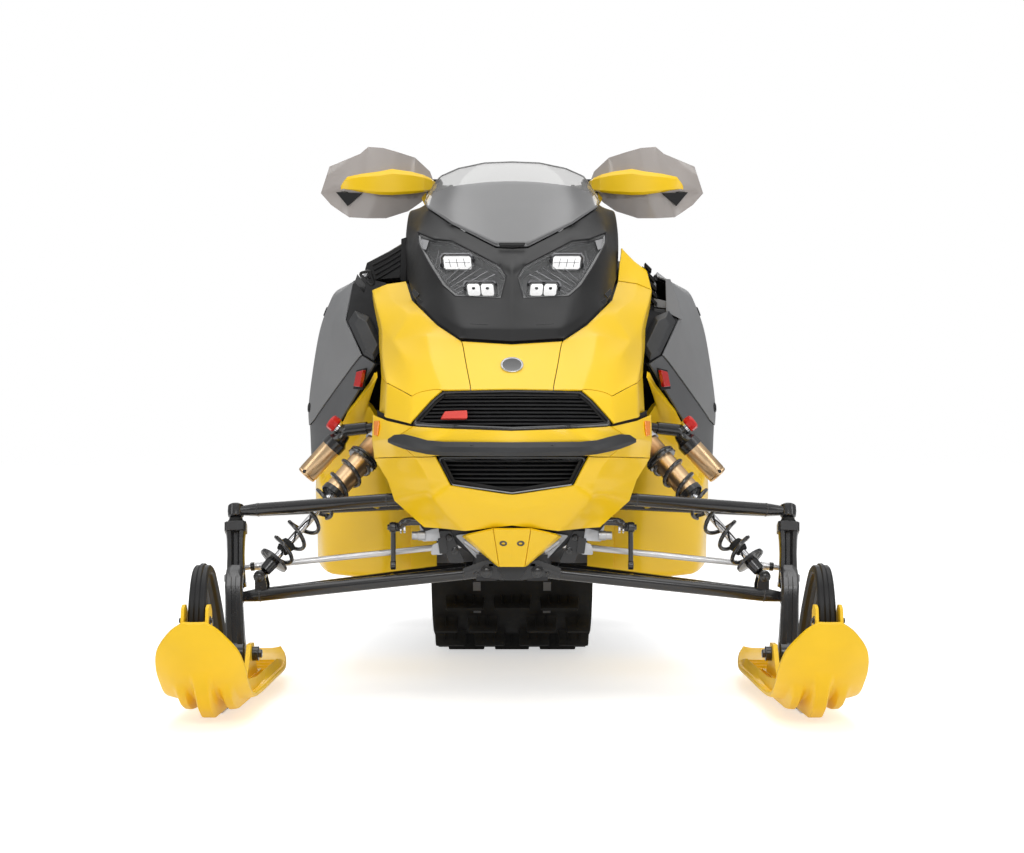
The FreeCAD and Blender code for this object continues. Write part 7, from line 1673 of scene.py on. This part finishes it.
seat = to_object("seat_cushion", np.array(b.v), b.f, M["vinyl"])
scene.collection.objects.link(seat)
md = seat.modifiers.new("s", "SUBSURF"); md.levels = md.render_levels = 2
bpy.context.view_layer.update()
def baked(o):
    """Applies the modifiers of o."""
    me = bpy.data.meshes.new_from_object(o.evaluated_get(bpy.context.evaluated_depsgraph_get()))
    o.modifiers.clear(); o.data = me
    bpy.context.view_layer.update()
baked(seat)
rm = seat.modifiers.new("r", "REMESH"); rm.mode = "VOXEL"; rm.voxel_size = 0.008; rm.use_smooth_shade = True
baked(seat)
start = np.array([v.co[:] for v in seat.data.vertices])
pin = seat.vertex_groups.new(name="pin")
low = [i for i, p in enumerate(start) if p[2] < 0.500 + 0.02 or p[1] < -0.085]
pin.add(low, 1.0, "REPLACE")
cl = seat.modifiers.new("cloth", "CLOTH")
cl.settings.vertex_group_mass = "pin"
cl.settings.use_pressure = True
cl.settings.uniform_pressure_force = 4.0
cl.settings.quality = 5
cl.settings.tension_stiffness = cl.settings.compression_stiffness = 25
cl.settings.bending_stiffness = 2.0
cl.settings.effector_weights.gravity = 0.0
cl.point_cache.frame_start, cl.point_cache.frame_end = 1, 20
for f_ in range(1, 21):
    scene.frame_set(f_)
baked(seat)
scene.frame_set(1)
end = np.array([v.co[:] for v in seat.data.vertices])
if len(end) == len(start):
    d = end - start
    l = np.linalg.norm(d, axis=1)
    d *= np.minimum(1.0, 0.011 / np.maximum(l, 1e-9))[:, None]
    end = start + d
lo_, hi_ = np.array([-0.156, -0.096, 0.462]), np.array([0.156, 0.632, 0.812])
end = np.clip(end, lo_, hi_)
seat.data.vertices.foreach_set("co", end.ravel())
# sewn channels across the top and the seams along both sides, pressed into the cover
co = np.array([v.co[:] for v in seat.data.vertices]) / MM
no = np.empty(len(co) * 3); seat.data.vertices.foreach_get("normal", no); no = no.reshape(-1, 3)
def seam_half(y):        # x of the long top seam
    return float(np.interp(y, [r[0] for r in ROWS], [r[2] for r in ROWS])) - 34
press = np.zeros(len(co))
for i, (x, y, z) in enumerate(co):
    if no[i][2] > 0.35:
        sh_ = seam_half(y)
        press[i] = max(press[i], 3.2 * math.exp(-((abs(x) - sh_) / 5.0) ** 2))
        if abs(x) < sh_:
            for yc in (70, 150, 230, 310, 390, 470, 550):
                press[i] = max(press[i], 2.8 * math.exp(-((y - yc - 0.0016 * x * x) / 5.5) ** 2))
    if abs(no[i][0]) > 0.6:
        press[i] = max(press[i], 2.6 * math.exp(-((z - 640 - (y - 200) * 0.02) / 5.0) ** 2))
co = co - no * press[:, None]
seat.data.vertices.foreach_set("co", (co * MM).ravel())
seat.data.materials.clear()
seat.data.materials.append(M["vinyl"]); seat.data.materials.append(M["vinyl_grey"])
for p in seat.data.polygons:
    c = p.center / MM
    if p.normal.z > 0.35 and abs(c.x) < seam_half(c.y) and c.y > 10:
        p.material_index = 1
    p.use_smooth = True
seat.data.update()
md = seat.modifiers.new("s", "SUBSURF"); md.levels = md.render_levels = 1
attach(seat, "chassis"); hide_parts("seat")
from mathutils.bvhtree import BVHTree
tree = BVHTree.FromPolygons([Vector(v.co) for v in seat.data.vertices], [list(p.vertices) for p in seat.data.polygons])
def on_seat(p, d):
    h = tree.ray_cast(Vector(p) * MM, Vector(d))
    return h[0] / MM if h[0] is not None else None
b = Build()
for sx in (1, -1):
    line = []
    for i in range(60):
        y = -70 + i * (610 + 70) / 59
        q = on_seat((sx * seam_half(y), y, 900), (0, 0, -1))
        if q is not None:
            line.append((q.x, q.y, q.z + 0.4))
    b.tube(line, 1.9, 0, segs=8)
    line = []
    for i in range(60):
        y = -60 + i * (590 + 60) / 59
        q = on_seat((sx * 300, y, 640 + (y - 200) * 0.02), (-sx, 0, 0))
        if q is not None:
            line.append((q.x + sx * 0.3, q.y, q.z))
    b.tube(line, 1.7, 0, segs=8)
    for off_ in (6.0, -6.0):      # stitches beside the top seams
        for i in range(88):
            y = -60 + i * 7.4
            q = on_seat((sx * (seam_half(y) + off_), y, 900), (0, 0, -1)); r_ = on_seat((sx * (seam_half(y + 4) + off_), y + 4.2, 900), (0, 0, -1))
            if q is not None and r_ is not None:
                b.tube([(q.x, q.y, q.z + 0.2), (r_.x, r_.y, r_.z + 0.2)], 0.65, 1, segs=5)
b.make("seat_seams", ["vinyl_grey", "thread"], bevel=0)
b = Build()          # base pan below the cushion
pan = []
for y, wl, wt, zl, zt in ((-70, 100, 0, 548, 0), (20, 116, 0, 500, 0), (140, 138, 0, 468, 0), (330, 146, 0, 463, 0), (520, 146, 0, 468, 0), (600, 132, 0, 520, 0), (634, 118, 0, 556, 0)):
    pan.append([(-wl, y, zl - 3), (wl, y, zl - 3), (wl + 5, y, zl + 9), (wl + 4, y, zl + 20), (-wl - 4, y, zl + 20), (-wl - 5, y, zl + 9)])
b.loft(pan)
for sx in (1, -1):
    for y in (180, 460):
        b.prism(rounded([(sx * 120, y - 22, 459), (sx * 120, y + 22, 459), (sx * 120, y + 16, 482), (sx * 120, y - 16, 482)], 4, 3, closed=True), (sx * 10, 0, 0))
b.prism(rounded([(-96, 634, 560), (96, 634, 560), (88, 634, 700), (-88, 634, 700)], 12, 4, closed=True), (0, 6, 0))
b.make("seat_pan", "satin", bevel=1.2)

# ------------------------------------------------------------------ CAD nodes that stay: finish and soft edges
NODE_MAT = {
    "hood": "yellow", "nose_cowl": "yellow", "bumper_plate": "yellow", "lower_fairings": "yellow", "ski_left": "yellow_ski", "ski_right": "yellow_ski",
    "headlight_surround": "black", "headlights": "black_gloss", "windshield": "clear", "grilles": "black", "front_bumper": "dark_grey",
    "side_panels": "grey", "side_vents": "black", "knee_panels": "black", "fuel_tank": "black", "dash_console": "black", "seat": "vinyl", "seat_base": "black",
    "tail_light": "red_lens", "rear_bumper": "steel_black", "snow_flap": "soft_rubber", "tunnel": "alu", "tow_hitch": "steel_black", "running_boards": "alu_black",
    "front_bulkhead": "alu_black", "engine_cradle": "alu_black", "upper_frame": "alu_black", "engine": "engine", "lower_arms": "steel_black",
    "upper_arms": "steel_black", "front_shocks": "bronze", "front_springs": "steel_black", "sway_bar": "steel_black", "spindle_left": "steel_black",
    "spindle_right": "steel_black", "tie_rod_left": "steel", "tie_rod_right": "steel", "ski_runner_left": "steel", "ski_runner_right": "steel",
    "ski_loop_left": "black", "ski_loop_right": "black", "steering_column": "steel_black", "handlebar": "alu_black", "grips": "soft_rubber",
    "hand_controls": "black", "handguards": "dark_grey", "track": "rubber", "drive_axle": "steel", "slide_rails": "alu_black", "skid_arms": "steel_black",
    "skid_shocks": "bronze", "idler_wheels": "black"}
for name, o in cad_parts.items():
    put(o, M[NODE_MAT[name]])
    for p in o.data.polygons:
        p.use_smooth = True
    if o.hide_render:
        continue
    bv = o.modifiers.new("soft_edges", "BEVEL")
    bv.width, bv.segments, bv.limit_method, bv.angle_limit = 0.0012, 2, "ANGLE", math.radians(40)
    bv.harden_normals = True

# ------------------------------------------------------------------ floor
fm = mat("studio_floor", (0.82, 0.82, 0.82), 0.6, spec=0.2, var=0.008, var_scale=2, rough_var=0.05, bump=0.02, bump_scale=50, emit=(1.0, 1.0, 1.0, 0.56))
fb = fm.node_tree.nodes["Principled BSDF"]          # the lift of the floor is for the eye; it lights the object only faintly
flp, fmr = fm.node_tree.nodes.new("ShaderNodeLightPath"), fm.node_tree.nodes.new("ShaderNodeMapRange")
fmr.inputs["To Min"].default_value, fmr.inputs["To Max"].default_value = 0.25, 0.56
fm.node_tree.links.new(flp.outputs["Is Camera Ray"], fmr.inputs["Value"])
fm.node_tree.links.new(fmr.outputs["Result"], fb.inputs["Emission Strength"])
me = bpy.data.meshes.new("floor")
me.from_pydata([(-60, -9, 0), (60, -9, 0), (60, 160, 0), (-60, 160, 0)], [], [(0, 1, 2, 3)])
floor = bpy.data.objects.new("floor", me)
scene.collection.objects.link(floor)
put(floor, fm)

# small or hidden pieces carry more faces than they need
for name, ratio in (("inner_liner", 0.2), ("side_liner_left", 0.3), ("side_liner_right", 0.3), ("tunnel_rivets", 0.5), ("wheels", 0.6),
                    ("slider_strips", 0.5), ("board_teeth", 0.6), ("skid_springs", 0.6), ("seat_cushion", 0.45), ("frame_bolts", 0.6)):
    o = bpy.data.objects.get(name)
    if o:
        o.modifiers.new("fewer_faces", "DECIMATE").ratio = ratio
